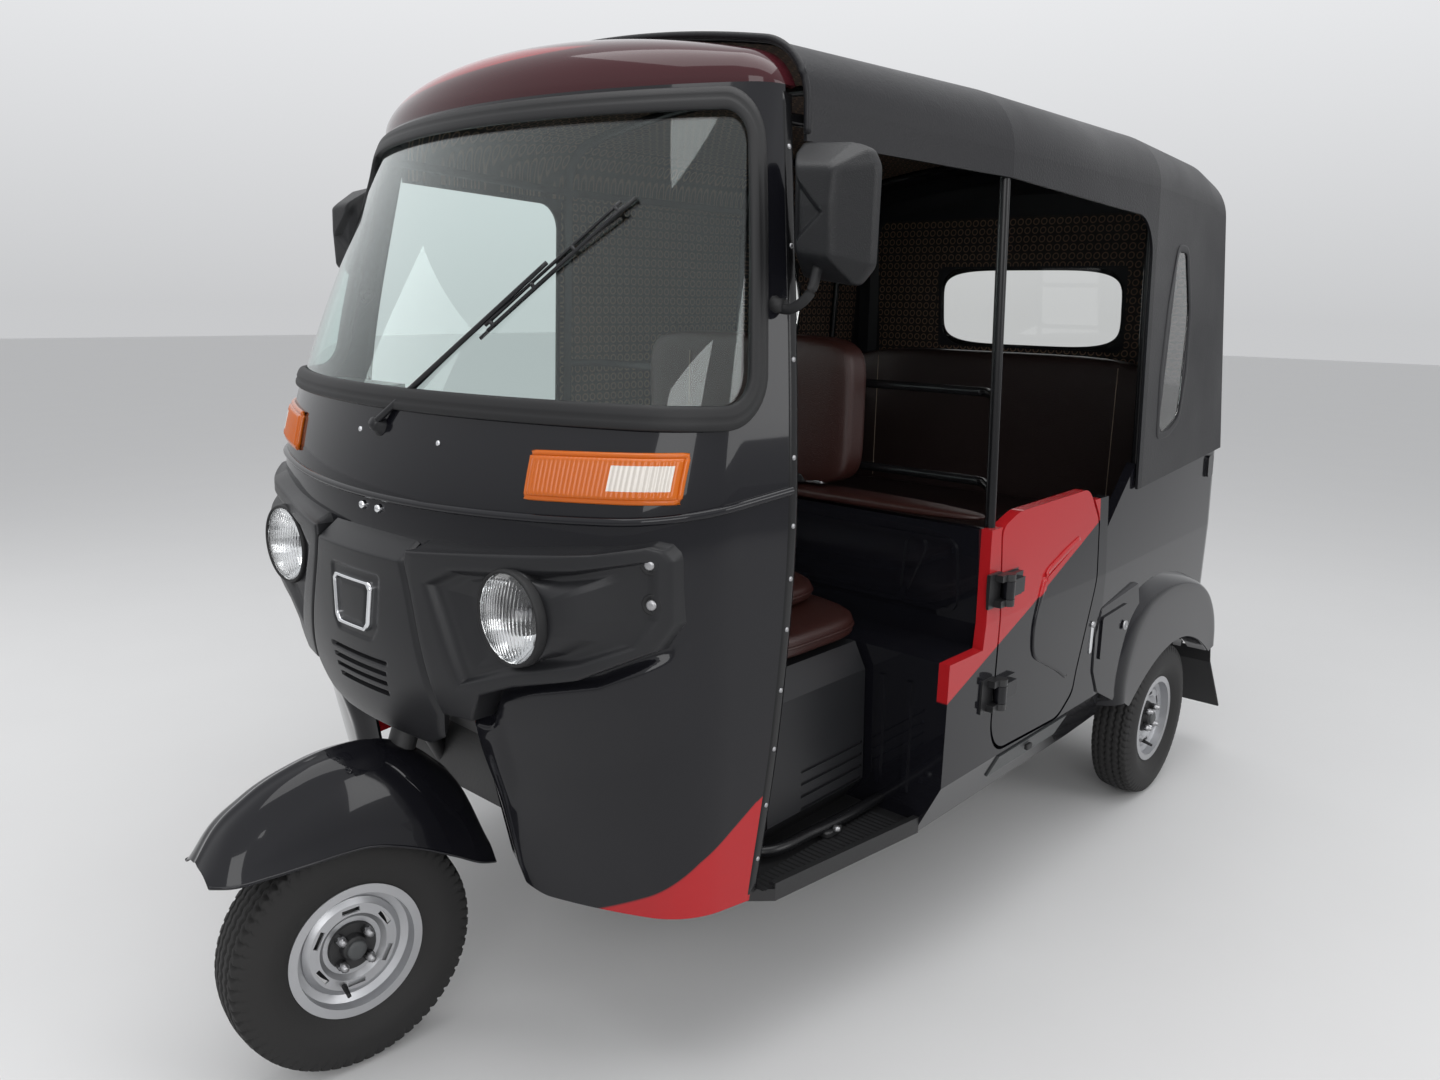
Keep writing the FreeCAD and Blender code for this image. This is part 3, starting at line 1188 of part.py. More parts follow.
def build_lid():
    """Engine lid across the rear, hinged along its top edge, with louvres and two strap hinges."""
    slab = outer_tub.cut(tub_solid(number(s.tub_wall) - 6)).common(lid_region())
    rear, top = number(s.tub_rear_y), number(s.lid_top_z)
    louvres = []
    for i in range(5):
        z = number(s.lid_top_z) - 110 - 26 * i
        louvres.append(Part.makeBox(300, 60, 9, Vector(-150, rear - 40, z)))
    slab = slab.cut(Part.makeCompound(louvres))
    pin_y, pin_z = rear + 9, top + 12
    straps = []
    for x in (-200, 200):
        barrel = Part.makeCylinder(9, 40, Vector(x - 20, pin_y, pin_z), Vector(1, 0, 0))
        strap = Part.makeBox(40, 9, 70, Vector(x - 20, rear - 2, pin_z - 76))
        web = Part.makeBox(40, 9, 22, Vector(x - 20, rear + 2, pin_z - 20))
        hole = Part.makeCylinder(number(s.lid_pin) + number(s.running_gap), 60, Vector(x - 30, pin_y, pin_z),
                                 Vector(1, 0, 0))
        straps.append(barrel.fuse([strap, web]).cut(hole))
    lid = slab.fuse(straps)
    node("engine_lid", feature("EngineLid", lid))
    pins = list(hinge_leaves(False).Solids)
    for x in (-200, 200):
        pin = Part.makeCylinder(number(s.lid_pin), 72, Vector(x - 36, pin_y, pin_z), Vector(1, 0, 0))
        ears = [Part.makeBox(14, 20, 26, Vector(x + shift, rear - 2, pin_z - 6)) for shift in (-35, 21)]
        pins.append(pin.fuse(ears).cut(outer_tub))
    return node("body_hinges", feature("BodyHinges", Part.makeCompound(pins)))


def build_partition():
    """Stepped pressing behind the driver, with raised beads like the real one's stiffeners."""
    step, post, wall = s.step_y, s.post_y, s.partition_wall
    foot = s.floor_z - s.floor_wall
    body = new_body("PartitionPressing")
    outline = sketch(body, "YZ_Plane", [
        (step, foot), (step, s.step_z), (post, s.step_z), (post, s.partition_z),
        (post + wall, s.partition_z), (post + wall, s.step_z - wall), (step + wall, s.step_z - wall),
        (step + wall, foot),
    ])
    pad(body, outline, 1400, "Symmetric")
    doc.recompute()
    pressing = body.Shape.common(inner_tub)
    y = number(post)
    beads = []
    # columns: half widths at foot and top, heights of foot and top, shift of the middle
    rows = ((150, 210, 705, 848, 300), (70, 60, 705, 848, 505), (150, 210, 705, 848, -300), (70, 60, 705, 848, -505))
    for foot_half, top_half, low, high, middle in rows:
        rings = []
        for shy in (0, 9):
            corners = [Vector(middle - foot_half + shy, y, low + shy), Vector(middle + foot_half - shy, y, low + shy),
                       Vector(middle + top_half - shy, y, high - shy), Vector(middle - top_half + shy, y, high - shy)]
            rings.append(rounded_prism(corners, [24 - shy] * 4, Vector(0, 1, 0), 5))
        beads.append(rings[0].cut(rings[1]))
    ribs = [front_prism([(x - 6, 380), (x + 6, 380), (x + 6, 600), (x - 6, 600)], number(step) - 5, number(step) + 2)
            for x in (-560, -500, -440, 440, 500, 560)]
    pressing = pressing.fuse([*beads, *ribs])
    return node("partition", feature("Partition", pressing.common(tub_and_front())))


def tub_and_front():
    """Space between the side walls, carried on ahead of the rear body."""
    ahead = []
    inset = number(s.tub_wall)
    for level, rise in zip(TUB_LEVELS, (-2.0, 0.0, 0.0, 2.0)):
        ahead.append(tub_outline(level, inset, rise, 40.0))
    return ruled_solid(ahead)


def build_rear_floor():
    """Passenger floor on two stringers, rising into the seat box behind it."""
    z, wall = s.rear_floor_z, s.partition_wall
    rail_top, rail_x = s.floor_z - s.floor_wall, s.rail_x
    body = new_body("RearFloorPressing")
    outline = sketch(body, "XZ_Plane", [
        (-700, z), (700, z), (700, z - wall), (rail_x + 25, z - wall), (rail_x + 25, rail_top),
        (rail_x - 25, rail_top), (rail_x - 25, z - wall), (-rail_x + 25, z - wall), (-rail_x + 25, rail_top),
        (-rail_x - 25, rail_top), (-rail_x - 25, z - wall), (-700, z - wall),
    ])
    start, end = s.step_y + wall, s.bulkhead_y
    plate = pad(body, outline, end - start, "One side", True)
    outline.AttachmentOffset = Placement(Vector(0, 0, -number(start)), Rotation())
    doc.recompute()
    floor = body.Shape.common(inner_tub)
    box_y, top = number(s.bulkhead_y), number(s.bench_z)
    profile = side_prism([(box_y, number(z) - number(wall)), (box_y, top), (number(s.tub_rear_y), top),
                          (number(s.tub_rear_y), top - 20), (box_y + 20, top - 20), (box_y + 20, number(z) - number(wall))])
    box_shape = profile.common(inner_tub).cut(wheel_opening(12))
    return node("rear_floor", feature("RearFloor", floor.fuse(box_shape)))


def build_seats():
    """Driver's pedestal, cushion and backrest, padded rail, and the passengers' bench."""
    half, front, rear = s.pedestal_half, s.pedestal_front_y, s.pedestal_rear_y
    low, high = s.floor_z, s.pedestal_z
    body = new_body("Pedestal")
    # columns: in from the widest place, height
    sides = ((45, low), (0, low + 55), (6, high - 50), (32, high))
    outline = sketch(body, "XZ_Plane", [(half - shy, z) for shy, z in sides] +
                     [(-half + shy, z) for shy, z in reversed(sides)])
    outline.AttachmentOffset = Placement(Vector(0, 0, -number(front)), Rotation())
    pad(body, outline, rear - front, "One side", True)
    doc.recompute()
    solid = body.Shape
    grooves = []
    for i in range(4):
        z = 385 + 24 * i
        for side in (1, -1):
            x = side * number(half)
            grooves.append(Part.makeBox(12, 190, 7, Vector(x - 6, -480, z)))
    solid = solid.cut(Part.makeCompound(grooves))
    node("seat_pedestal", feature("SeatPedestal", solid))

    gap = number(s.seat_gap)
    base = number(s.pedestal_z) + gap
    y0, y1 = number(front) - 12, number(s.cushion_rear_y)
    lower = cushion("DriverSquab", number(s.cushion_half), (y0, y1), (base, base + number(s.cushion_lower)), 26)
    upper = cushion("DriverPad", number(s.cushion_half) - number(s.cushion_shy), (y0 + 10, y1 - 8),
                    (base + number(s.cushion_lower) - 20, base + number(s.cushion_height)), 34)
    squab = lower.fuse(upper)

    pad_low = number(s.partition_z) + gap
    pad_high = pad_low + number(s.rail_pad_height)
    pad_front = number(s.post_y) - 6
    rail = cushion("RailPad", number(s.waist_rail_half) - 30, (pad_front, pad_front + number(s.rail_pad_depth)),
                   (pad_low, pad_high), 11)
    node("rail_pad", feature("RailPadShape", rail.cut(bow_clearance())))
    rest_y = pad_front + 14
    rest = cushion("DriverRest", number(s.rest_half), (rest_y, rest_y + number(s.rest_wall)),
                   (pad_high + gap, pad_high + gap + number(s.rest_height)), 28)
    node("driver_seat", feature("DriverSeat", Part.makeCompound([squab, rest])))

    low = number(s.bench_z) + gap
    bench_front = number(s.bulkhead_y) - 10
    bench = cushion("Bench", number(s.bench_half), (bench_front, bench_front + number(s.bench_depth)),
                    (low, low + number(s.bench_cushion)), 36)
    back_front = bench_front + number(s.bench_depth) + gap
    back = cushion("BenchRest", number(s.bench_half), (back_front, back_front + number(s.bench_rest_wall)),
                   (low, low + number(s.bench_cushion) + number(s.bench_rest_height)), 34)
    return node("passenger_seat", feature("PassengerSeat", Part.makeCompound([bench, back])))


def cushion(name, half, y, z, radius):
    """Plain block with rounded edges, built as a padded outline with a fillet all round."""
    body = new_body(name)
    outline = sketch(body, "XY_Plane", [(-half, y[0]), (half, y[0]), (half, y[1]), (-half, y[1])], z[0])
    block = pad(body, outline, z[1] - z[0])
    round_edges(body, block, min(radius, 0.42 * (z[1] - z[0]), 0.42 * (y[1] - y[0])), lambda edge: True)
    doc.recompute()
    return body.Shape


# Canopy and its frame
BOWS = ("front_bow", "cab_bow", "rear_bow", "tail_bow")


def bow_row(bow):
    """Place, crest, half width, corner radius and side lean of one bow."""
    y, crest, half, corner, lean = [
        number(getattr(s, bow + column)) for column in ("_y", "_crest", "_half", "_corner", "_lean")
    ]
    return y, crest, half, corner, math.radians(lean)


def canopy_stations(inset):
    """Sections along the vehicle; the last three lean with the rear wall and draw in to its corners."""
    lean_rear = math.tan(math.radians(s.canopy_rear_lean))
    foot = number(s.canopy_foot_z)
    rows = []
    for bow in BOWS:
        y, crest, half, corner, side = bow_row(bow)
        rows.append([y, crest, half, corner, side, 0.0])
    crest, half = rows[-1][1], rows[-1][2]
    rear = number(s.canopy_rear_y)
    # columns: ahead of the rear face, below the last bow's crest, in from its side, corner
    for ahead, drop, shy, corner in ((52, 22, 7, 120), (16, 54, 22, 110), (0, 88, 48, 90)):
        rows.append([rear - ahead, crest - drop, half - shy, corner, side, lean_rear])
    sections = []
    for index, (y, crest, half, corner, side, lean) in enumerate(rows):
        if inset > 0 and index == 0:
            y -= 2
        if inset > 0 and index > 3:
            y -= inset
        extra = 2.0 if inset > 0 else 0.0
        points = arch(crest - inset, number(s.crown_radius) - inset, half - inset + math.tan(side) * extra,
                      foot - extra, max(corner - inset, 20), side)
        sections.append(arch_edges(points, lambda p, y=y, lean=lean: Vector(p.x, y - lean * (p.y - foot), p.y)))
    return sections


def canopy_solid(inset=0.0):
    return ruled_solid(canopy_stations(inset))


def quarter_window(grow=0.0):
    """Clear panel behind the door, wider at its foot, drawn in the side view."""
    y, z = number(s.quarter_window_y), number(s.quarter_window_z)
    wide, high = number(s.quarter_window_width) / 2 + grow, number(s.quarter_window_height) / 2 + grow
    corners = [Vector(0, y - wide, z - high), Vector(0, y + wide * 0.55, z - high * 0.8), Vector(0, y + wide, z + high * 0.4),
               Vector(0, y + wide * 0.5, z + high), Vector(0, y - wide * 0.2, z + high)]
    return rounded_prism(corners, [30, 50, 40, 40, 40], Vector(1, 0, 0), 900)


def rear_window(grow=0.0):
    half, high = number(s.rear_window_half) + grow, number(s.rear_window_height) / 2 + grow
    z = number(s.rear_window_z)
    corners = [Vector(-half, 1200, z - high), Vector(half, 1200, z - high), Vector(half, 1200, z + high),
               Vector(-half, 1200, z + high)]
    return rounded_prism(corners, [70 + grow] * 4, Vector(0, 1, 0), 150)


def build_canopy():
    """Fabric roof, rear wall and closed right side, with the left side open from the pillar to the rear bow."""
    outer = canopy_solid()
    shell = outer.cut(canopy_solid(number(s.canopy_wall)))
    hem, rise, valance = number(s.canopy_foot_z), number(s.canopy_hem_rise), number(s.valance_z)
    opening_rear = number(s.rear_bow_y) - 22
    rear_y = number(s.canopy_rear_y)
    left = rounded_prism([Vector(600, -900, hem - 60), Vector(600, opening_rear, hem - 60),
                          Vector(600, opening_rear, valance - 18), Vector(600, number(s.cab_bow_y), valance + 8),
                          Vector(600, -900, valance + 24)], [0, 0, 90, 0, 0], Vector(1, 0, 0), 400)
    right = rounded_prism([Vector(-600, -900, hem - 60), Vector(-600, number(s.cab_bow_y) - 30, hem - 60),
                           Vector(-600, number(s.cab_bow_y) - 30, valance + 8), Vector(-600, -900, valance + 24)],
                          [0, 0, 60, 0], Vector(1, 0, 0), 400)
    bottom = side_prism([(-900, hem), (opening_rear, hem), (rear_y + 60, hem + rise), (rear_y + 60, 600), (-900, 600)])
    shell = shell.cut(left).cut(right).cut(bottom)
    panes = outer_pane(2.0, 4.0)
    cuts = [quarter_window(), rear_window()]
    glass = [panes.common(quarter_window(-number(s.seat_gap))), panes.common(rear_window(-number(s.seat_gap)))]
    for tool in cuts:
        shell = shell.cut(tool)
    shell = shell.cut(tub_solid(-number(s.seat_gap)))
    shell = max(shell.Solids, key=lambda solid: solid.Volume)
    node("canopy", feature("Canopy", shell))
    solids = [solid for piece in glass for solid in piece.Solids]
    return node("canopy_windows", feature("CanopyWindows", Part.makeCompound(solids)))


def outer_pane(low, high):
    return canopy_solid(low).cut(canopy_solid(high))


def bow_line(bow, foot):
    """Path of one bow just inside the canopy."""
    y, crest, half, corner, lean = bow_row(bow)
    shy = number(s.canopy_wall) + number(s.seat_gap) + number(s.bow_radius)
    inward = math.tan(lean) * (foot - number(s.canopy_foot_z))
    points = arch(crest - shy, number(s.crown_radius) - shy, half - shy / math.cos(lean) - inward, foot,
                  corner - shy, lean)
    spots = [Vector(point.x, y, point.y) for point in points]
    foot_a, low, bend, high, top, high2, bend2, low2, foot_b = spots
    return [Part.LineSegment(foot_a, low).toShape(), Part.Arc(low, bend, high).toShape(),
            Part.Arc(high, top, high2).toShape(), Part.Arc(high2, bend2, low2).toShape(),
            Part.LineSegment(low2, foot_b).toShape()]


def swept(edges, radius):
    start = edges[0].Vertexes[0].Point
    run = edges[0].Vertexes[-1].Point - start
    circle = Part.Wire(Part.makeCircle(radius, start, run))
    return Part.Wire(edges).makePipeShell([circle], True, False)


def bow_feet():
    """Foot height of each bow: on the hinge posts, and on top of the rear body."""
    return {"cab_bow": number(s.partition_z), "rear_bow": number(s.waist_rail_z), "tail_bow": number(s.waist_rail_z)}


def bow_clearance():
    """Space round the feet of the bow on the partition."""
    y, half = number(s.cab_bow_y), number(s.cab_bow_half)
    pieces = [Part.makeBox(70, 120, 200, Vector(side * (half - 30) - 35, y - 60, number(s.partition_z) - 50))
              for side in (1, -1)]
    return Part.makeCompound(pieces)


def build_roof_frame():
    """Bows, cant rails along both sides, the cross rail behind the driver and the grab rail above it."""
    radius = number(s.bow_radius)
    pieces = []
    for bow, foot in bow_feet().items():
        pieces.append(swept(bow_line(bow, foot), radius))
    shy = number(s.canopy_wall) + number(s.seat_gap) + radius

    def side_x(bow, z):
        half, lean = bow_row(bow)[2], bow_row(bow)[4]
        return half - shy / math.cos(lean) - math.tan(lean) * (z - number(s.canopy_foot_z))

    z = number(s.valance_z) + 40
    cab = Vector(side_x("cab_bow", z), number(s.cab_bow_y), z)
    rear = Vector(side_x("rear_bow", z), number(s.rear_bow_y), z)
    tail = Vector(side_x("tail_bow", z - 20), number(s.tail_bow_y), z - 20)
    front = Vector(number(s.brow_half) - 12, number(s.brow_edge) - 12, z + 12)
    for side in (1, -1):
        ends = [Vector(side * p.x, p.y, p.z) for p in (front, cab, rear, tail)]
        for a, b in zip(ends, ends[1:]):
            run = b - a
            pieces.append(Part.makeCylinder(radius - 1, run.Length, a, run))
    for z in (945, 1118):
        x, y, back = side_x("cab_bow", z), number(s.cab_bow_y), number(s.grab_rail_y)
        path = [(-x, y, z), (60 - x, back, z), (x - 60, back, z), (x, y, z)]
        pieces.append(tube(path, radius - 1, 40))
    frame = pieces[0].fuse(pieces[1:])
    for name in ("front_cowl", "roof_header", "side_panel_left", "side_panel_right"):
        frame = frame.cut(nodes[name].Shape)
    frame = max(frame.Solids, key=lambda solid: solid.Volume)
    return node("roof_frame", feature("RoofFrame", frame))


# Small pieces outside
def build_indicators():
    """Amber lamps let into the cowl above the waist bead."""
    y0 = -1300
    corners = [Vector(343, y0, 1002), Vector(529, y0, 1006), Vector(529, y0, 1066), Vector(343, y0, 1062)]
    region = rounded_prism(corners, [10] * 4, Vector(0, 1, 0), 600)
    lamp = front_solid(-6).cut(front_solid(10)).common(region)
    lamp = max(lamp.Solids, key=lambda solid: solid.Volume)
    pocket_region = rounded_prism([corners[0] + Vector(-1, 0, -1), corners[1] + Vector(1, 0, -1),
                                   corners[2] + Vector(1, 0, 1), corners[3] + Vector(-1, 0, 1)], [11] * 4,
                                  Vector(0, 1, 0), 600)
    seat = pocket_region.cut(front_solid(10))
    cowl = nodes["front_cowl"]
    both = Part.makeCompound([seat, seat.mirror(Vector(), Vector(1, 0, 0))])
    cowl.Shape = cowl.Shape.cut(both)
    pair = Part.makeCompound([lamp, lamp.mirror(Vector(), Vector(1, 0, 0))])
    return node("front_indicators", feature("FrontIndicators", pair))


def build_wiper():
    """Pivot, arm and blade, parked across the screen."""
    pivot, normal = Vector(0, -986, 1072), Vector(0, -0.93, 0.36)
    hub = Part.makeCylinder(11, 60, pivot + normal * -34, normal)
    cap = Part.makeCone(16, 12, 14, pivot + normal * 8, normal)
    low, high = Vector(195, -924, 1232), Vector(365, -803, 1411)
    middle = (low + high) * 0.5
    arm = tube([pivot + normal * 20, Vector(40, -1006, 1125), middle + Vector(0, -12, 0)], 5, 200)
    stalk = Part.makeCylinder(4, 14, middle + Vector(0, -12, 0), Vector(0, 1, 0))
    run = high - low
    blade = Part.makeCylinder(6, run.Length, low, run)
    swept_parts = arm.fuse([stalk, blade]).cut(front_solid(4.0 - number(s.seat_gap)))
    shape = hub.fuse(cap).cut(outer_front).fuse(swept_parts)
    return node("wiper", feature("Wiper", max(shape.Solids, key=lambda solid: solid.Volume)))


def build_mirrors():
    """Housings on bent arms that bolt to the pillars."""
    mirrors = []
    corners = [(574, 1316), (664, 1304), (688, 1330), (690, 1462), (652, 1494), (566, 1500), (558, 1350)]
    middle_x, middle_z = 626, 1404
    for side in (1, -1):
        back = [Vector(side * x, -640, z) for x, z in corners]
        front = [Vector(side * (middle_x + (x - middle_x) * 0.74), -706, middle_z + (z - middle_z) * 0.74)
                 for x, z in corners]
        if side < 0:
            back, front = list(reversed(back)), list(reversed(front))
        housing = ruled_solid([rounded_outline(back, [22] * 7), rounded_outline(front, [14] * 7)])
        foot = Vector(side * 556, -694, 1274)
        arm = tube([foot + Vector(side * -14, 0, 0), foot + Vector(side * 34, 2, 0), Vector(side * 612, -690, 1300),
                    Vector(side * 618, -676, 1380)], 8, 14)
        boss = Part.makeCylinder(14, 34, foot + Vector(side * -14, 0, 0), Vector(side, 0, 0))
        whole = arm.fuse([boss, housing]).cut(outer_front)
        mirrors.append(max(whole.Solids, key=lambda solid: solid.Volume))
    return node("mirrors", feature("Mirrors", Part.makeCompound(mirrors)))


def build_dashboard():
    """Shelf behind the windscreen with a low instrument box, shaped to the inside of the cowl."""
    inner = front_solid(number(s.shell_wall))
    shelf = inner.common(Part.makeBox(1300, 210, 16, Vector(-650, -1090, 1070)))
    binnacle = Part.makeBox(190, 60, 44, Vector(-300, -942, 1086))
    return node("dashboard", feature("Dashboard", shelf.fuse(binnacle.common(inner))))


def build_rear_details():
    """Tail lamps, bumper, mudflaps, side lamps, sill strip and the filler flap."""
    rear = number(s.tub_rear_y)
    lamps = []
    for side in (1, -1):
        corners = [Vector(side * x, rear, z) for x, z in ((400, 590), (480, 590), (480, 760), (400, 760))]
        if side < 0:
            corners.reverse()
        block = rounded_prism(corners, [14] * 4, Vector(0, 1, 0), 26)
        lamps.append(block.cut(outer_tub))
        lamps[-1] = max(lamps[-1].Solids, key=lambda solid: solid.Volume)
    for side in (1, -1):
        corners = [Vector(side * 600, y, z) for y, z in ((1096, 838), (1138, 838), (1138, 896), (1096, 896))]
        if side < 0:
            corners.reverse()
        block = rounded_prism(corners, [10] * 4, Vector(1, 0, 0), 26).common(tub_solid(-7)).cut(outer_tub)
        lamps.append(max(block.Solids, key=lambda solid: solid.Volume))
    node("tail_lamps", feature("TailLamps", Part.makeCompound(lamps)))

    bumper_y, z = rear + 24, number(s.tail_foot_z) + 24
    tube_path = [Vector(-430, rear - 30, z), Vector(-430, bumper_y, z), Vector(430, bumper_y, z), Vector(430, rear - 30, z)]
    bumper = tube(tube_path, s.bumper_radius, 24).cut(outer_tub)
    node("rear_bumper", feature("RearBumper", max(bumper.Solids, key=lambda solid: solid.Volume)))

    flaps = []
    tip_y, foot, wall = number(s.flap_tip_y), number(s.flap_foot_z), number(s.flap_wall)
    top_y, top_z = 1186, number(s.tail_foot_z) - number(s.seat_gap)
    for side in (1, -1):
        middle = side * 588
        flap = side_prism([(top_y, top_z), (top_y + wall, top_z), (top_y + wall + 12, top_z - 40), (tip_y, foot),
                           (tip_y - wall, foot - 2), (top_y + 12, top_z - 42)], 62, middle)
        flaps.append(flap)
    node("mudflaps", feature("Mudflaps", Part.makeCompound(flaps)))

    strip = side_prism([(-46, 352), (258, 352), (262, 402), (-46, 402)])
    strip = tub_solid(-4).cut(outer_tub).common(left_side).common(strip)
    node("sill_strip", feature("SillStrip", max(strip.Solids, key=lambda solid: solid.Volume)))

    outline = [(396, 598), (536, 606), (546, 536), (500, 496), (398, 498)]
    face = number(s.flare_x) - 8 + number(s.seat_gap)
    flap = rounded_prism([Vector(face + 2, y, z) for y, z in outline], [8] * 5, Vector(1, 0, 0), 2)
    lock = Part.makeCylinder(8, 4, Vector(face + 4, 520, 556), Vector(1, 0, 0))
    flap = flap.fuse(lock).cut(nodes["rear_arches"].Shape)
    return node("filler_flap", feature("FillerFlap", max(flap.Solids, key=lambda solid: solid.Volume)))


# Running gear
def build_running_gear():
    """Engine block, trailing arms with their stub axles, drive shafts and silencer."""
    block = box("EngineBlock", (-s.engine_half, s.engine_half), (s.engine_front_y, s.engine_rear_y),
                (s.engine_foot_z, s.engine_foot_z + s.engine_height))
    node("engine", block)
    half_track, axle = number(s.rear_track) / 2, number(rear_axle_y)
    hub_back = half_track + number(s.disc_set) - number(s.drum_depth)
    pin_end = half_track + number(s.disc_set) + 4
    rail_face = number(s.rail_x) + half_rail
    arms = []
    for side in (1, -1):
        pivot = Vector(side * rail_face, number(s.arm_pivot_y), rail_z)
        end = Vector(side * (hub_back - 26), axle, number(s.tyre_radius))
        path = [pivot + Vector(side * 30, 0, 0), pivot + Vector(side * 110, 90, -20), end]
        arm = tube(path, s.arm_radius, 60)
        bush = Part.makeCylinder(30, 62, pivot, Vector(side, 0, 0))
        carrier = Part.makeCylinder(34, 24, Vector(side * (hub_back - 27), axle, number(s.tyre_radius)), Vector(side, 0, 0))
        pin = Part.makeCylinder(number(s.axle_radius), pin_end - hub_back + 10,
                                Vector(side * (hub_back - 10), axle, number(s.tyre_radius)), Vector(side, 0, 0))
        shaft_start = number(s.engine_half)
        shaft = Part.makeCylinder(14, hub_back - 20 - shaft_start, Vector(side * shaft_start, axle, number(s.tyre_radius) + 28),
                                  Vector(side, 0, 0))
        arms.append(arm.fuse([bush, carrier, pin, shaft]))
    node("trailing_arms", feature("TrailingArms", Part.makeCompound(arms)))
    rear = number(s.engine_rear_y) + 2 * half_rail
    radius = number(s.silencer_radius)
    can = Part.makeCylinder(radius, 420, Vector(-60, rear + 14 + radius, rail_z - 26), Vector(1, 0, 0))
    straps = [Part.makeBox(22, 40, 30, Vector(x, rear, rail_z - 20)) for x in (10, 270)]
    tail = Part.makeCylinder(17, 70, Vector(-60, rear + 14 + radius, rail_z - 26), Vector(-1, 0.25, -0.1))
    node("silencer", feature("Silencer", can.fuse([*straps, tail])))


build_front_cowl()
build_front_panel()
build_gasket_and_glass()
build_roof_header()
build_mask()
build_headlamps()
build_indicators()
build_wheels()
build_fork()
build_handlebar()
build_mudguard()
build_chassis()
build_floor()
build_arches()
build_body_sides()
build_door()
build_lid()
build_partition()
build_rear_floor()
build_seats()
build_canopy()
build_roof_frame()
build_wiper()
build_mirrors()
build_dashboard()
build_rear_details()
build_running_gear()

# Write each sub-part
os.makedirs("parts", exist_ok=True)
doc.recompute()
for item in doc.Objects:
    if "Invalid" in item.State or "Error" in item.State:
        raise SystemExit(f"{item.Label} failed: {item.State}")
for name, obj in nodes.items():
    shape = obj.Shape
    if shape.isNull() or not shape.isValid() or not shape.Solids:
        raise SystemExit(f"{name} has no valid solid")
    shape.exportStep(f"parts/{name}.step")
    print(f"{name:22s} solids {len(shape.Solids)}  volume {shape.Volume / 1e6:8.3f} litres")
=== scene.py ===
# %% [markdown]
# # An auto rickshaw: finishes and small parts
# The vehicle's structure comes from a CAD model that is already in place. This lesson gives it paint,
# rubber, glass and cloth, and adds the parts whose look depends on smooth curvature or fine relief. Each
# new piece is one function of two parameters, worked out on a whole grid of numbers at once. Lengths are
# metres, the front of the vehicle looks along -Y and its left side is at +X.

import json
import math

import bmesh
import bpy
import numpy as np
from mathutils import Matrix


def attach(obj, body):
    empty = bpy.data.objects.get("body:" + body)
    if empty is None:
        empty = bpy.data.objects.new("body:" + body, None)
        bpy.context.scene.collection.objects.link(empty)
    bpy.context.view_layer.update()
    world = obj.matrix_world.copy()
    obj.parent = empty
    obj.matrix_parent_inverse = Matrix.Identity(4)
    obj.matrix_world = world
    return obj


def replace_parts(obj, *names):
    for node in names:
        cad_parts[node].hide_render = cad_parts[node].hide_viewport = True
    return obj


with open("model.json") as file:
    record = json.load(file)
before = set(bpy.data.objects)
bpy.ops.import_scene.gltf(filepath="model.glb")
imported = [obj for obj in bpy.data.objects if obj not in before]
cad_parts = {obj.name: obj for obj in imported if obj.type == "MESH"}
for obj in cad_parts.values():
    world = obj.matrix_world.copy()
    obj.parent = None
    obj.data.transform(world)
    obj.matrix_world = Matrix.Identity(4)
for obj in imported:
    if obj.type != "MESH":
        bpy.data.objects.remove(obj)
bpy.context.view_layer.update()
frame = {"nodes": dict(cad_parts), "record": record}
nodes = frame["nodes"]

# %% [markdown]
# ## From a grid of points to a mesh
# A sheet of pressed steel, a tyre or a cushion can all be described by points in rows and columns. The grid
# becomes a mesh in one step: the vertices are the grid, and every face joins four neighbours. Modelling by
# hand would give the same faces, but a grid keeps them even and lets a formula decide each point. A closed
# direction joins its last row to its first, so that no seam stays open, and points that fall together are
# merged.

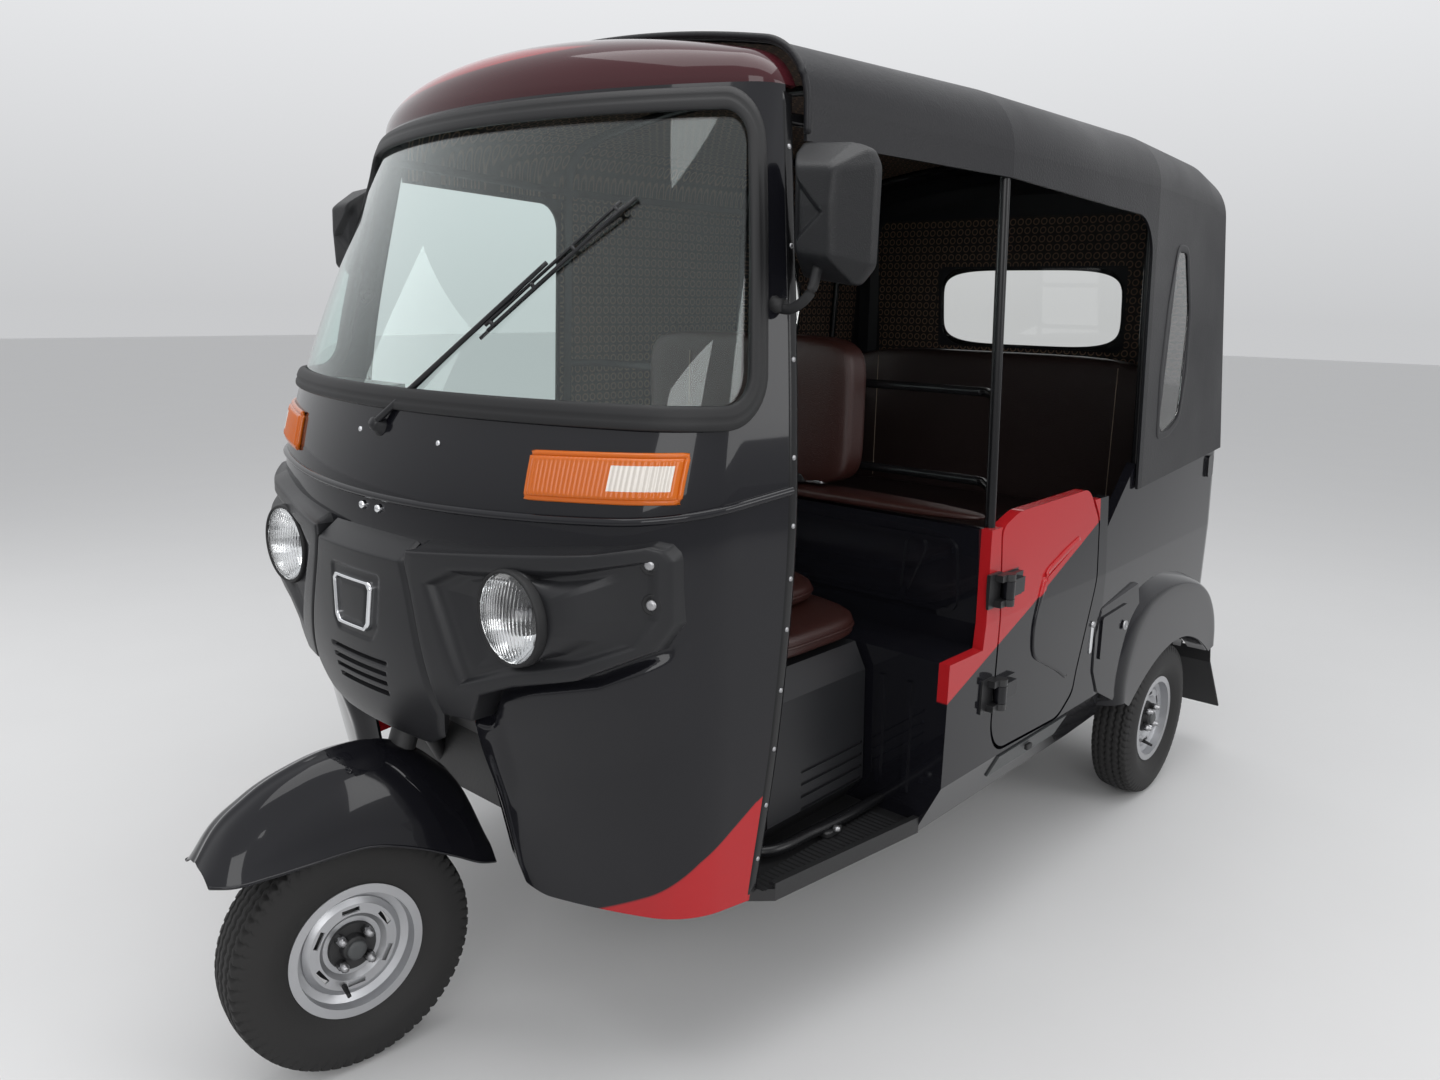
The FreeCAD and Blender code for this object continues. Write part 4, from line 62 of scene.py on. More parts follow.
# %% Mesh of a grid
def grid_mesh(name, points, body, wrap_u=False, wrap_v=False, keep=None, facing=None):
    """Mesh of a grid of points with shape (nu, nv, 3): face (i, j) joins rows i, i+1 and columns j, j+1.

    facing is the direction the faces look towards; without it they look away from the piece's middle.
    """
    nu, nv = points.shape[:2]
    index = np.arange(nu * nv).reshape(nu, nv)
    rows = np.concatenate([index, index[:1]]) if wrap_u else index
    full = np.concatenate([rows, rows[:, :1]], axis=1) if wrap_v else rows
    quads = np.stack([full[:-1, :-1], full[1:, :-1], full[1:, 1:], full[:-1, 1:]], -1)
    quads = (quads[keep] if keep is not None else quads).reshape(-1, 4)
    corners = points.reshape(-1, 3)[quads]
    normal = np.cross(corners[:, 2] - corners[:, 0], corners[:, 3] - corners[:, 1])
    away = (corners.mean(1) - corners.mean((0, 1))) if facing is None else np.asarray(facing, float)
    if (normal * away).sum() < 0:
        quads = quads[:, ::-1]
    mesh = bpy.data.meshes.new(name)
    mesh.vertices.add(nu * nv)
    mesh.vertices.foreach_set("co", points.reshape(-1, 3).astype(np.float32).ravel())
    mesh.loops.add(quads.size)
    mesh.loops.foreach_set("vertex_index", quads.astype(np.int32).ravel())
    mesh.polygons.add(len(quads))
    mesh.polygons.foreach_set("loop_start", np.arange(0, quads.size, 4, dtype=np.int32))
    mesh.polygons.foreach_set("use_smooth", np.ones(len(quads), bool))
    u, v = np.meshgrid(np.linspace(0, 1, nu), np.linspace(0, 1, nv), indexing="ij")
    uv = np.stack([u, v], -1).reshape(-1, 2)[quads.ravel()]
    mesh.uv_layers.new(name="UVMap").data.foreach_set("uv", uv.astype(np.float32).ravel())
    mesh.update(calc_edges=True)
    form = bmesh.new()
    form.from_mesh(mesh)
    bmesh.ops.remove_doubles(form, verts=form.verts, dist=2e-6)
    loose = [vertex for vertex in form.verts if not vertex.link_faces]
    bmesh.ops.delete(form, geom=loose, context="VERTS")
    form.to_mesh(mesh)
    form.free()
    piece = bpy.data.objects.new(name, mesh)
    bpy.context.scene.collection.objects.link(piece)
    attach(piece, body)
    return piece

# %% [markdown]
# ## Finish and thickness
# Real panels are thin plates, so a surface gets its wall from a Solidify modifier instead of a second
# surface. The Edge Split modifier keeps the shading crisp where the wall turns round its rim, which smooth
# shading would blur. A last helper prints what was made, with its size in millimetres.

# %% Dress, thicken and tell
def dress(piece, key):
    """Give a piece one finish from the table below."""
    piece.data.materials.clear()
    piece.data.materials.append(FINISH[key])
    return piece


def thicken(piece, thickness):
    """A sheet becomes a plate whose wall grows inwards from the sheet."""
    solid = piece.modifiers.new("Thickness", "SOLIDIFY")
    solid.thickness, solid.offset = thickness, -1.0
    crisp = piece.modifiers.new("Crisp", "EDGE_SPLIT")
    crisp.split_angle, crisp.use_edge_sharp = math.radians(62), False
    return piece


def tell(*pieces):
    """Print the name, the number of points and the size in millimetres of each piece."""
    for piece in pieces:
        places = np.empty(len(piece.data.vertices) * 3, np.float32)
        piece.data.vertices.foreach_get("co", places)
        spans = np.ptp(places.reshape(-1, 3), axis=0) * 1000
        print(f"{piece.name}: {len(piece.data.vertices)} points,",
              " x ".join(f"{span:.0f}" for span in spans), "mm")

# %% [markdown]
# ## Small formulas
# Four helpers carry most of the shapes. One makes vectors one unit long, one draws a smooth curve through a
# table of measured values, one climbs softly from 0 to 1, and one lays two lists of parameters out as a
# grid. The smooth curve is made of cubic pieces because straight pieces would show as flats in gloss paint.

# %% Unit, smooth, step and grid
def unit(v):
    return v / np.maximum(np.linalg.norm(v, axis=-1, keepdims=True), 1e-9)


def smooth(x, xs, ys):
    """Value at x of the smooth curve through a table, made of cubic pieces that share their slopes."""
    xs, ys = np.asarray(xs, float), np.asarray(ys, float)
    slopes = np.gradient(ys, xs)
    k = np.clip(np.searchsorted(xs, x) - 1, 0, len(xs) - 2)
    h = xs[k + 1] - xs[k]
    t = np.clip((x - xs[k]) / h, 0, 1)
    return ((2 * t**3 - 3 * t**2 + 1) * ys[k] + (t**3 - 2 * t**2 + t) * h * slopes[k]
            + (3 * t**2 - 2 * t**3) * ys[k + 1] + (t**3 - t**2) * h * slopes[k + 1])


def step(x):
    x = np.clip(x, 0, 1)
    return x * x * (3 - 2 * x)


def grid(u, v):
    return np.meshgrid(np.asarray(u, float), np.asarray(v, float), indexing="ij")


print("half way up the soft step:", step(0.5))

# %% [markdown]
# ## Building shader nodes
# A finish is a small tree of nodes. These helpers add a node with its settings in one line. Effects that
# several finishes share are node groups that give out a number, a colour or a normal; the Principled shader
# itself stays in each material, so that a reader sees every finish in one place.

# %% Node helpers
def new_group(name, outputs, inputs=()):
    group = bpy.data.node_groups.new(name, "ShaderNodeTree")
    for label, kind, value in inputs:
        socket = group.interface.new_socket(name=label, in_out="INPUT", socket_type=kind)
        socket.default_value = value
    for label, kind in outputs:
        group.interface.new_socket(name=label, in_out="OUTPUT", socket_type=kind)
    return group, group.nodes.new("NodeGroupInput"), group.nodes.new("NodeGroupOutput")


def add(tree, kind, **values):
    """A node with its settings, and its inputs as numbers or as links from other sockets."""
    item = tree.nodes.new(kind)
    for key, value in values.items():
        if key.startswith("in_"):
            label = key[3:]
            socket = item.inputs[int(label) if label.isdigit() else label.replace("_", " ")]
            if isinstance(value, bpy.types.NodeSocket):
                tree.links.new(value, socket)
            else:
                socket.default_value = value
        else:
            setattr(item, key, value)
    return item


def maths(tree, operation, a, b=0.0):
    return add(tree, "ShaderNodeMath", operation=operation, in_0=a, in_1=b).outputs[0]


print("node helpers ready")

# %% [markdown]
# ## Wear and relief
# No real surface is even: paint is a little duller in places, and plastic and rubber have a fine grain.
# Painted textures could carry that, but two noise textures need no image and suit any piece. The first
# group gives a slow cloud and a fine grain, and the second turns a height into a normal.

# %% Shared groups
def wear_group():
    """Slow cloudy variation from 0 to 1 over the object, and a fine grain height."""
    group, source, out = new_group("Wear", (("Cloud", "NodeSocketFloat"), ("Grain", "NodeSocketFloat")),
                                   (("Position", "NodeSocketVector", (0, 0, 0)),
                                    ("Grain scale", "NodeSocketFloat", 300.0)))
    cloud = add(group, "ShaderNodeTexNoise", in_Vector=source.outputs[0], in_Scale=2.3, in_Detail=5.0)
    grain = add(group, "ShaderNodeTexNoise", in_Vector=source.outputs[0], in_Scale=source.outputs[1],
                in_Detail=2.0)
    group.links.new(cloud.outputs[0], out.inputs[0])
    group.links.new(grain.outputs[0], out.inputs[1])
    return group


def bump_group():
    """Normal of a height, for use with any finish."""
    group, source, out = new_group("Relief", (("Normal", "NodeSocketVector"),),
                                   (("Height", "NodeSocketFloat", 0.0), ("Depth", "NodeSocketFloat", 0.001)))
    relief = add(group, "ShaderNodeBump", in_Strength=1.0, in_Distance=source.outputs[1],
                 in_Height=source.outputs[0])
    group.links.new(relief.outputs[0], out.inputs[0])
    return group


wear, relief = wear_group(), bump_group()
print("groups:", wear.name, relief.name)

# %% [markdown]
# ## One recipe for most finishes
# Every finish reads the object's own coordinates, so a pattern stays put on its piece when a joint moves. A
# little cloudy variation in roughness and colour keeps a large surface from looking like plastic film.
# Numbers that are the same all over the surface are set on the shader's own sockets.

# %% Finish recipe
def material(name, color, roughness, metallic=0.0, coat=0.0, vary=0.06, grain=0.0, grain_scale=300.0,
             tint=None, specular=0.5):
    """Principled finish with cloudy roughness, a grain in relief and slightly uneven colour."""
    made = bpy.data.materials.new(name)
    made.use_nodes = True
    tree = made.node_tree
    shader = tree.nodes["Principled BSDF"]
    spot = add(tree, "ShaderNodeTexCoord").outputs["Object"]
    worn = add(tree, "ShaderNodeGroup", node_tree=wear, in_0=spot, in_1=grain_scale)
    rough = add(tree, "ShaderNodeMapRange", in_0=worn.outputs[0], in_1=0.3, in_2=0.7,
                in_3=max(roughness - vary, 0.02), in_4=roughness + vary)
    tree.links.new(rough.outputs[0], shader.inputs["Roughness"])
    other = tint if tint else [c * 0.8 for c in color]
    mixed = add(tree, "ShaderNodeMix", data_type="RGBA")
    tree.links.new(worn.outputs[0], mixed.inputs[0])
    mixed.inputs[6].default_value, mixed.inputs[7].default_value = (*color, 1), (*other, 1)
    tree.links.new(mixed.outputs[2], shader.inputs["Base Color"])
    shader.inputs["Metallic"].default_value = metallic
    shader.inputs["Coat Weight"].default_value = coat
    shader.inputs["Coat Roughness"].default_value = 0.03
    shader.inputs["Specular IOR Level"].default_value = specular
    if grain:
        bump = add(tree, "ShaderNodeGroup", node_tree=relief, in_0=worn.outputs[1], in_1=grain)
        tree.links.new(bump.outputs[0], shader.inputs["Normal"])
    return made


print("recipe ready")

# %% [markdown]
# ## Glass, and a second colour inside a mask
# The screen and the lamp lenses are plain transmitting glass. A painted field is a second colour laid over
# the first wherever a mask is 1, which is how vinyl or a masked coat of paint meets the colour under it.

# %% Glass and masked colour
def glass(name, color, roughness=0.0, vary=0.0):
    """Plain transmitting glass whose colour drifts a little over its surface."""
    made = material(name, color, roughness, vary=vary, tint=[min(c * 1.04, 1) for c in color])
    shader = made.node_tree.nodes["Principled BSDF"]
    shader.inputs["Transmission Weight"].default_value = 1.0
    shader.inputs["IOR"].default_value = 1.45
    return made


def with_mask(made, group, color, roughness=None):
    """Lay a second colour over a material wherever the group's mask is 1."""
    tree = made.node_tree
    shader = tree.nodes["Principled BSDF"]
    spot = next(n for n in tree.nodes if n.bl_idname == "ShaderNodeTexCoord").outputs["Object"]
    mask = add(tree, "ShaderNodeGroup", node_tree=group, in_0=spot).outputs[0]
    before = shader.inputs["Base Color"].links[0].from_socket
    mixed = add(tree, "ShaderNodeMix", data_type="RGBA")
    tree.links.new(mask, mixed.inputs[0])
    tree.links.new(before, mixed.inputs[6])
    mixed.inputs[7].default_value = (*color, 1)
    tree.links.new(mixed.outputs[2], shader.inputs["Base Color"])
    if roughness is not None:
        rough = add(tree, "ShaderNodeMix", data_type="FLOAT")
        tree.links.new(mask, rough.inputs[0])
        tree.links.new(shader.inputs["Roughness"].links[0].from_socket, rough.inputs[2])
        rough.inputs[3].default_value = roughness
        tree.links.new(rough.outputs[0], shader.inputs["Roughness"])
    return made


print("glass and mask ready")

# %% [markdown]
# ## Painted fields
# The real vehicle is black with red fields: a wedge low on each leg shield, the upper front of the door
# with its post, and a brighter wedge on the header. Their edges are straight lines in a side or front view,
# so a mask built from lines is sharper at any distance than an image, and it needs no unwrapping.

# %% Mask of straight-sided outlines
def shape_group(name, plane, shapes, edge=0.0016):
    """Mask that is 1 inside any of several convex outlines in one plane of the object's coordinates.

    Each side of an outline is a line; the least of the distances to them is the distance to its edge.
    """
    group, source, out = new_group(name, (("Mask", "NodeSocketFloat"),),
                                   (("Position", "NodeSocketVector", (0, 0, 0)),))
    split = add(group, "ShaderNodeSeparateXYZ", in_0=source.outputs[0])
    first, second = [split.outputs["xyz".index(letter)] for letter in plane]
    total = None
    for outline in shapes:
        outline = np.asarray(outline, float)
        middle, inside = outline.mean(0), None
        for a, b in zip(outline, np.roll(outline, -1, 0)):
            normal = np.array([-(b - a)[1], (b - a)[0]]) / np.linalg.norm(b - a)
            if (middle - a) @ normal < 0:
                normal = -normal
            plus = maths(group, "MULTIPLY", first, float(normal[0]))
            plus = maths(group, "ADD", plus, maths(group, "MULTIPLY", second, float(normal[1])))
            distance = maths(group, "SUBTRACT", plus, float(a @ normal))
            inside = distance if inside is None else maths(group, "MINIMUM", inside, distance)
        total = inside if total is None else maths(group, "MAXIMUM", total, inside)
    mask = add(group, "ShaderNodeMapRange", in_0=total, in_1=-edge, in_2=edge, in_3=0.0, in_4=1.0)
    group.links.new(mask.outputs[0], out.inputs[0])
    return group


print("outline mask ready")

# %% Where the fields lie
RED = (0.44, 0.014, 0.018)
BLACK = (0.005, 0.005, 0.007)

leg_red = shape_group("LegWedge", "yz", [
    [(-0.66, 0.545), (-0.707, 0.510), (-0.66, 0.30), (-0.60, 0.40)],
    [(-0.707, 0.512), (-0.750, 0.470), (-0.795, 0.427), (-0.842, 0.364), (-0.90, 0.288), (-0.66, 0.288),
     (-0.66, 0.512)],
])
door_red = shape_group("DoorRed", "yz", [[(-0.30, 0.565), (0.357, 0.826), (0.357, 1.0), (-0.30, 1.0)]])
LEAF_FRONT, LEAF_REAR, LEAF_HALF = -0.135, -0.022, 0.026
hinge_black = shape_group("HingeLeaves", "yz", [
    [(LEAF_FRONT, z - LEAF_HALF), (LEAF_REAR, z - LEAF_HALF), (LEAF_REAR, z + LEAF_HALF),
     (LEAF_FRONT, z + LEAF_HALF)]
    for z in (0.555, 0.762)])
side_lamp = shape_group("SideLamp", "yz", [[(1.05, 0.75), (1.20, 0.75), (1.20, 1.0), (1.05, 1.0)]])
header_red = shape_group("HeaderRed", "xz", [[(-0.62, 1.608), (-0.30, 1.628), (0.06, 1.628), (0.30, 1.652),
                                              (0.06, 1.672), (-0.30, 1.668), (-0.62, 1.65)]])
print("fields:", leg_red.name, door_red.name, hinge_black.name, side_lamp.name, header_red.name)

# %% [markdown]
# ## Gloss enamel
# The bodywork is black enamel under a clear coat. A nearly black base with a coat on it mirrors the studio
# while staying dark face on, which a grey base with high gloss would not. The same recipe, with its fields,
# serves the front, the sides and the dark red header.

# %% Enamels
paint = dict(color=BLACK, roughness=0.16, coat=0.60, vary=0.03, tint=(0.010, 0.010, 0.013), specular=0.06)
header_coat = {**paint, "color": (0.062, 0.010, 0.014), "tint": (0.035, 0.008, 0.011)}
FINISH = {
    "black_paint": material("BlackEnamel", **paint),
    "front_paint": with_mask(material("FrontEnamel", **paint), leg_red, RED, 0.2),
    "side_paint": with_mask(with_mask(material("SideEnamel", **paint), door_red, RED, 0.2), hinge_black,
                            BLACK, 0.3),
    "header_paint": with_mask(material("HeaderEnamel", **header_coat), header_red, (0.26, 0.012, 0.018),
                              0.15),
}
print(len(FINISH), "enamels")

# %% [markdown]
# ## Moulded plastic, rubber and chassis paint
# The mask, the mirrors and the trim are moulded in black plastic with a grained skin; the tyres are dull
# rubber with a brownish bloom; the frame and wheels carry plain paints. They differ only in tone, gloss and
# grain.

# %% Plastics, rubbers and plain paints
FINISH.update({
    "satin_black": material("SatinFascia", (0.012, 0.0125, 0.014), 0.33, vary=0.05, grain=0.00018,
                            grain_scale=900.0,
                            tint=(0.017, 0.017, 0.019), specular=0.32),
    "chassis_paint": material("ChassisBlack", (0.016, 0.016, 0.017), 0.42, vary=0.1, grain=0.0003,
                              grain_scale=160.0),
    "silver_paint": material("WheelSilver", (0.50, 0.51, 0.53), 0.34, metallic=0.75, vary=0.06, grain=0.0001,
                             grain_scale=700.0, tint=(0.42, 0.42, 0.43)),
    "hub_black": material("HubBlack", (0.020, 0.020, 0.021), 0.5, grain=0.0004, grain_scale=240.0),
    "tyre": material("TyreRubber", (0.013, 0.013, 0.014), 0.68, vary=0.08, grain=0.0003, grain_scale=420.0,
                     tint=(0.024, 0.023, 0.022), specular=0.35),
    "rubber": material("SoftRubber", (0.011, 0.011, 0.012), 0.55, vary=0.05, grain=0.0002, grain_scale=600.0,
                       specular=0.4),
    "frame_paint": material("TubeBlack", (0.008, 0.008, 0.009), 0.22, vary=0.05, grain=0.0001,
                            grain_scale=300.0,
                            specular=0.3),
    "mirror_housing": material("GrainedBlack", (0.012, 0.0125, 0.014), 0.40, vary=0.05, grain=0.0005,
                               grain_scale=520.0, specular=0.3),
    "grey_plastic": material("GreyPlastic", (0.070, 0.074, 0.076), 0.45, grain=0.0003, grain_scale=400.0),
})
print(len(FINISH), "finishes so far")

# %% [markdown]
# ## Glass, lenses and clear film
# The screen is faintly green, lamp glass is colourless, and the canopy's windows are clear film. An amber
# or red lens is thick coloured plastic over a bright reflector; a solid colour under a coat looks the same
# from outside and renders without noise.

# %% Glass and lenses
FINISH.update({
    "tinted_glass": glass("ScreenGlass", (0.80, 0.93, 0.90)),
    "lamp_glass": glass("LampGlass", (0.97, 0.98, 0.98), 0.02),
    "clear_film": glass("ClearFilm", (0.93, 0.94, 0.92), 0.03, vary=0.03),
    "amber": material("AmberLens", (0.50, 0.088, 0.002), 0.16, coat=0.3, vary=0.03, tint=(0.66, 0.15, 0.005),
                      specular=0.3),
    "clear_lens": material("ClearLens", (0.62, 0.56, 0.50), 0.10, coat=0.7, vary=0.03,
                           tint=(0.72, 0.68, 0.62)),
    "tail_lens": with_mask(material("TailLens", (0.42, 0.008, 0.008), 0.12, coat=0.4, vary=0.03), side_lamp,
                           BLACK,
                           0.3),
})
print(len(FINISH), "finishes so far")

# %% [markdown]
# ## Metals
# Bright metal is mostly what it mirrors, so its colour is pale and its roughness low. Cast and heated metal
# is duller and cloudier, with a tint that runs from grey to brown.

# %% Metals
FINISH.update({
    "lamp_bowl": material("Reflector", (0.86, 0.87, 0.88), 0.08, metallic=1.0, vary=0.02),
    "chrome": material("Chrome", (0.80, 0.81, 0.83), 0.09, metallic=1.0, vary=0.03),
    "mirror": material("MirrorGlass", (0.88, 0.90, 0.92), 0.02, metallic=1.0, vary=0.01),
    "steel": material("ZincSteel", (0.42, 0.42, 0.43), 0.34, metallic=0.9, vary=0.08, grain=0.0002,
                      grain_scale=300.0),
    "bumper_steel": material("BumperBlack", (0.014, 0.014, 0.015), 0.28, vary=0.06, grain=0.0002,
                             grain_scale=260.0),
    "engine_metal": material("EngineCasting", (0.16, 0.16, 0.16), 0.55, metallic=0.6, vary=0.12, grain=0.0012,
                             grain_scale=90.0, tint=(0.07, 0.065, 0.06)),
    "exhaust_steel": material("ExhaustSteel", (0.26, 0.24, 0.22), 0.42, metallic=0.9, vary=0.12, grain=0.0004,
                              grain_scale=120.0, tint=(0.16, 0.12, 0.09)),
})
print(len(FINISH), "finishes so far")

# %% [markdown]
# ## Cloth and leather
# The canopy is coated cloth with a soft shine, the seats are brown leathercloth, and their seams are sewn
# with a pale thread. A grain in relief breaks up the highlights as the real embossing does.

# %% Cloth and leather
FINISH.update({
    "canopy_fabric": material("CanopyCloth", (0.008, 0.008, 0.0095), 0.42, vary=0.09, grain=0.0006,
                              grain_scale=260.0,
                              tint=(0.014, 0.014, 0.0165), specular=0.26),
    "brown_leather": material("BrownLeather", (0.026, 0.0085, 0.0070), 0.36, vary=0.08, grain=0.0007,
                              grain_scale=420.0, tint=(0.036, 0.0115, 0.009), specular=0.4),
    "bench_leather": material("BenchLeather", (0.014, 0.008, 0.0075), 0.42, vary=0.08, grain=0.0007,
                              grain_scale=420.0, tint=(0.021, 0.011, 0.010), specular=0.35),
    "thread": material("PaleThread", (0.34, 0.26, 0.20), 0.7, vary=0.05, grain=0.0004, grain_scale=900.0),
})
print(len(FINISH), "finishes so far")

# %% [markdown]
# ## The lining's printed rings
# The canopy is lined with cloth that carries a print of small staggered rings. A Voronoi texture without
# randomness gives even cells, and a narrow band of distances from each cell's middle is a ring. The pattern
# is read along the two directions of each wall, so that it doesn't smear on any of them.

# %% Ring print
def ring_group(name, wall):
    """Staggered rings, as printed on the canopy's lining: 1 on a ring and 0 between.

    On walls the pattern runs along the sum of x and y, and up z; on the roof it runs along x and y.
    """
    group, source, out = new_group(name, (("Mask", "NodeSocketFloat"),),
                                   (("Position", "NodeSocketVector", (0, 0, 0)),
                                    ("Scale", "NodeSocketFloat", 40.0)))
    split = add(group, "ShaderNodeSeparateXYZ", in_0=source.outputs[0])
    first = maths(group, "ADD", split.outputs[0], split.outputs[1]) if wall else split.outputs[0]
    flat = add(group, "ShaderNodeCombineXYZ", in_0=first, in_1=split.outputs[2 if wall else 1])
    cells = add(group, "ShaderNodeTexVoronoi", voronoi_dimensions="2D", in_Vector=flat.outputs[0],
                in_Scale=source.outputs[1], in_Randomness=0.0)
    ring = maths(group, "ABSOLUTE", maths(group, "SUBTRACT", cells.outputs[0], 0.34))
    mask = add(group, "ShaderNodeMapRange", in_0=ring, in_1=0.04, in_2=0.09, in_3=1.0, in_4=0.0)
    group.links.new(mask.outputs[0], out.inputs[0])
    return group


for key, wall in (("lining", True), ("roof_lining", False)):
    cloth = material("RingLining" + key, (0.020, 0.016, 0.014), 0.6, vary=0.05, grain=0.0004,
                     grain_scale=500.0, specular=0.3)
    FINISH[key] = with_mask(cloth, ring_group("Rings" + key, wall), (0.20, 0.125, 0.085))
print(len(FINISH), "finishes in all")

# %% [markdown]
# ## Dressing the CAD nodes
# The record of the part names a material slot for every node. Six nodes wear a finish with painted fields
# instead of the plain one.

# %% CAD finishes
slot_of = {row["node"]: row["material_slot"] for row in frame["record"]["subparts"]}
special = {"front_cowl": "front_paint", "front_panel": "front_paint", "roof_header": "header_paint",
           "side_panel_left": "side_paint", "passenger_door": "side_paint", "tail_lamps": "tail_lens"}
for name, piece in nodes.items():
    dress(piece, special.get(name, slot_of[name]))
print("CAD nodes dressed:", len(nodes))

# %% [markdown]
# ## The front shell as one smooth surface
# A pressed steel cab curves evenly, and gloss black shows every flat. Its plan at any height is a wide nose
# arc, a corner arc and a short straight side. The six numbers of that plan change smoothly with height, so
# a point needs only two parameters: the height, and how far round the plan it lies.

# %% Plan of the shell
LEVEL_Z = [0.322, 0.650, 0.985, 1.105, 1.587]
NOSE = [-0.950, -1.000, -1.018, -0.992, -0.795]
RADIUS = [0.950, 1.100, 1.250, 1.150, 1.000]
HALF = [0.532, 0.578, 0.598, 0.588, 0.508]
EDGE = [-0.688, -0.692, -0.695, -0.688, -0.626]
CORNER = [0.140, 0.170, 0.190, 0.160, 0.060]
LEAN = math.radians(12)


def plan_parts(nose, radius, half, foot, corner, lean=LEAN):
    """Arc lengths and centres of a plan outline: nose arc, corner arc, straight side."""
    sx, sv = -math.sin(lean), math.cos(lean)
    ix, iv = -math.cos(lean), -math.sin(lean)
    start_x, start_v = half + ix * corner, foot + iv * corner
    centre_v = -nose - radius
    gap_x, gap_v = start_x, start_v - centre_v
    along = gap_x * sx + gap_v * sv
    reach = -along + np.sqrt(np.maximum(along**2 - gap_x**2 - gap_v**2 + (radius - corner) ** 2, 0))
    fx, fv = start_x + sx * reach, start_v + sv * reach
    turn = np.arctan2(fx, fv - centre_v)
    end = np.pi / 2 - lean
    return centre_v, fx, fv, turn, radius * turn, corner * (end - turn), reach, end


def plan_point(share, nose, radius, half, edge, corner, lean=LEAN):
    """Point at a share (-1 to 1) of the way round the plan outline, with the angle of its outward normal."""
    centre_v, fx, fv, turn, first, second, third, end = plan_parts(nose, radius, half, -edge, corner, lean)
    length = first + second + third
    s = np.abs(share) * length
    a1 = s / radius
    a2 = turn + (s - first) / np.maximum(corner, 1e-6)
    on_nose, on_corner = s <= first, s <= first + second
    angle = np.where(on_nose, a1, np.where(on_corner, a2, end))
    x = np.where(on_nose, radius * np.sin(a1), fx + corner * np.sin(np.where(on_corner, a2, end)))
    v = np.where(on_nose, centre_v + radius * np.cos(a1), fv + corner * np.cos(np.where(on_corner, a2, end)))
    rest = np.maximum(s - first - second, 0)
    x = x + rest * math.sin(lean)
    v = v - rest * math.cos(lean)
    sign = np.where(share < 0, -1.0, 1.0)
    return sign * x, -v, sign * angle, length


print("shell levels:", LEVEL_Z)

# %% [markdown]
# ## From the plan to the shell
# The first function below stacks the plans into the shell. The others answer questions about it: how long
# the plan is at a height, and how far round it a given distance from the middle lies. The second is found
# by halving an interval thirty times on the whole grid, which is simpler than solving the arcs backwards.

# %% Shell
def shell(share, z, out=0.0):
    """Front shell: smooth tables of height feed the plan; out moves the point along its level normal."""
    values = [smooth(z, LEVEL_Z, column) for column in (NOSE, RADIUS, HALF, EDGE, CORNER)]
    x, y, angle, _ = plan_point(share, *values)
    return np.stack([x + out * np.sin(angle), y - out * np.cos(angle), z + 0 * x], -1)


def shell_length(z):
    values = [smooth(z, LEVEL_Z, column) for column in (NOSE, RADIUS, HALF, EDGE, CORNER)]
    parts = plan_parts(values[0], values[1], values[2], -values[3], values[4])
    return parts[4] + parts[5] + parts[6]


def share_at_x(x, z):
    """How far round the plan a given distance from the middle lies, by bisection on the whole grid."""
    x, z = np.broadcast_arrays(np.asarray(x, float), np.asarray(z, float))
    low_end, high_end = np.zeros(x.shape), np.ones(x.shape)
    for _ in range(30):
        middle = (low_end + high_end) / 2
        beyond = shell(middle, z)[..., 0] > np.abs(x)
        high_end, low_end = np.where(beyond, middle, high_end), np.where(beyond, low_end, middle)
    return np.sign(x) * (low_end + high_end) / 2


print("half plan at the waist:", round(float(shell_length(np.array(0.985))) * 1000), "mm")

# %% [markdown]
# ## Cowl round the window
# The upper panel is one pressing with a large window. It could be a plate with a hole cut in it, but a cut
# leaves ragged shading. Here it is a ring surface: one parameter runs along the outline, and the other from
# the window out to the panel's own edge. The lower edge follows the waist bead, which falls towards the
# nose.

# %% Outlines of the cowl
BEAD_TOP, BEAD_REAR, BEAD_DROP, BEAD_RUN = 1.013, -0.695, 0.046, 0.323


def bead_z(share):
    """Height of the waist bead, which falls towards the nose; solved by repeating z = line(y(z))."""
    z = np.full(np.shape(share), 0.99)
    for _ in range(6):
        z = BEAD_TOP - (BEAD_REAR - shell(share, z)[..., 1]) * BEAD_DROP / BEAD_RUN
    return z


WIDE, PILLAR, WINDOW_LOW, WINDOW_HIGH, TURN = 0.80, 0.052, 1.105, 1.581, 0.078
SHELL_TOP = 1.587


def cowl_ring():
    """Outer edge samples of the cowl and, for each, the nearest point of the window's outline."""
    n = 150
    bottom = np.stack([np.linspace(-WIDE, WIDE, n), np.zeros(n)], -1)
    bottom[:, 1] = bead_z(bottom[:, 0] / WIDE) + 0.004
    right = np.stack([np.full(60, WIDE), np.linspace(bottom[-1, 1], SHELL_TOP, 60)], -1)[1:]
    top = np.stack([np.linspace(WIDE, -WIDE, n), np.full(n, SHELL_TOP)], -1)[1:]
    left = np.stack([np.full(60, -WIDE), np.linspace(SHELL_TOP, bottom[0, 1], 60)], -1)[1:-1]
    outer = np.concatenate([bottom, right, top, left])
    half, r = WIDE - PILLAR, TURN
    core = np.clip(outer, [-(half - r), WINDOW_LOW + r], [half - r, WINDOW_HIGH - r])
    inner = core + r * unit(outer - core)
    return inner, outer


print("window:", round(2 * (WIDE - PILLAR), 3), "by", round(WINDOW_HIGH - WINDOW_LOW, 3), "m along the shell")

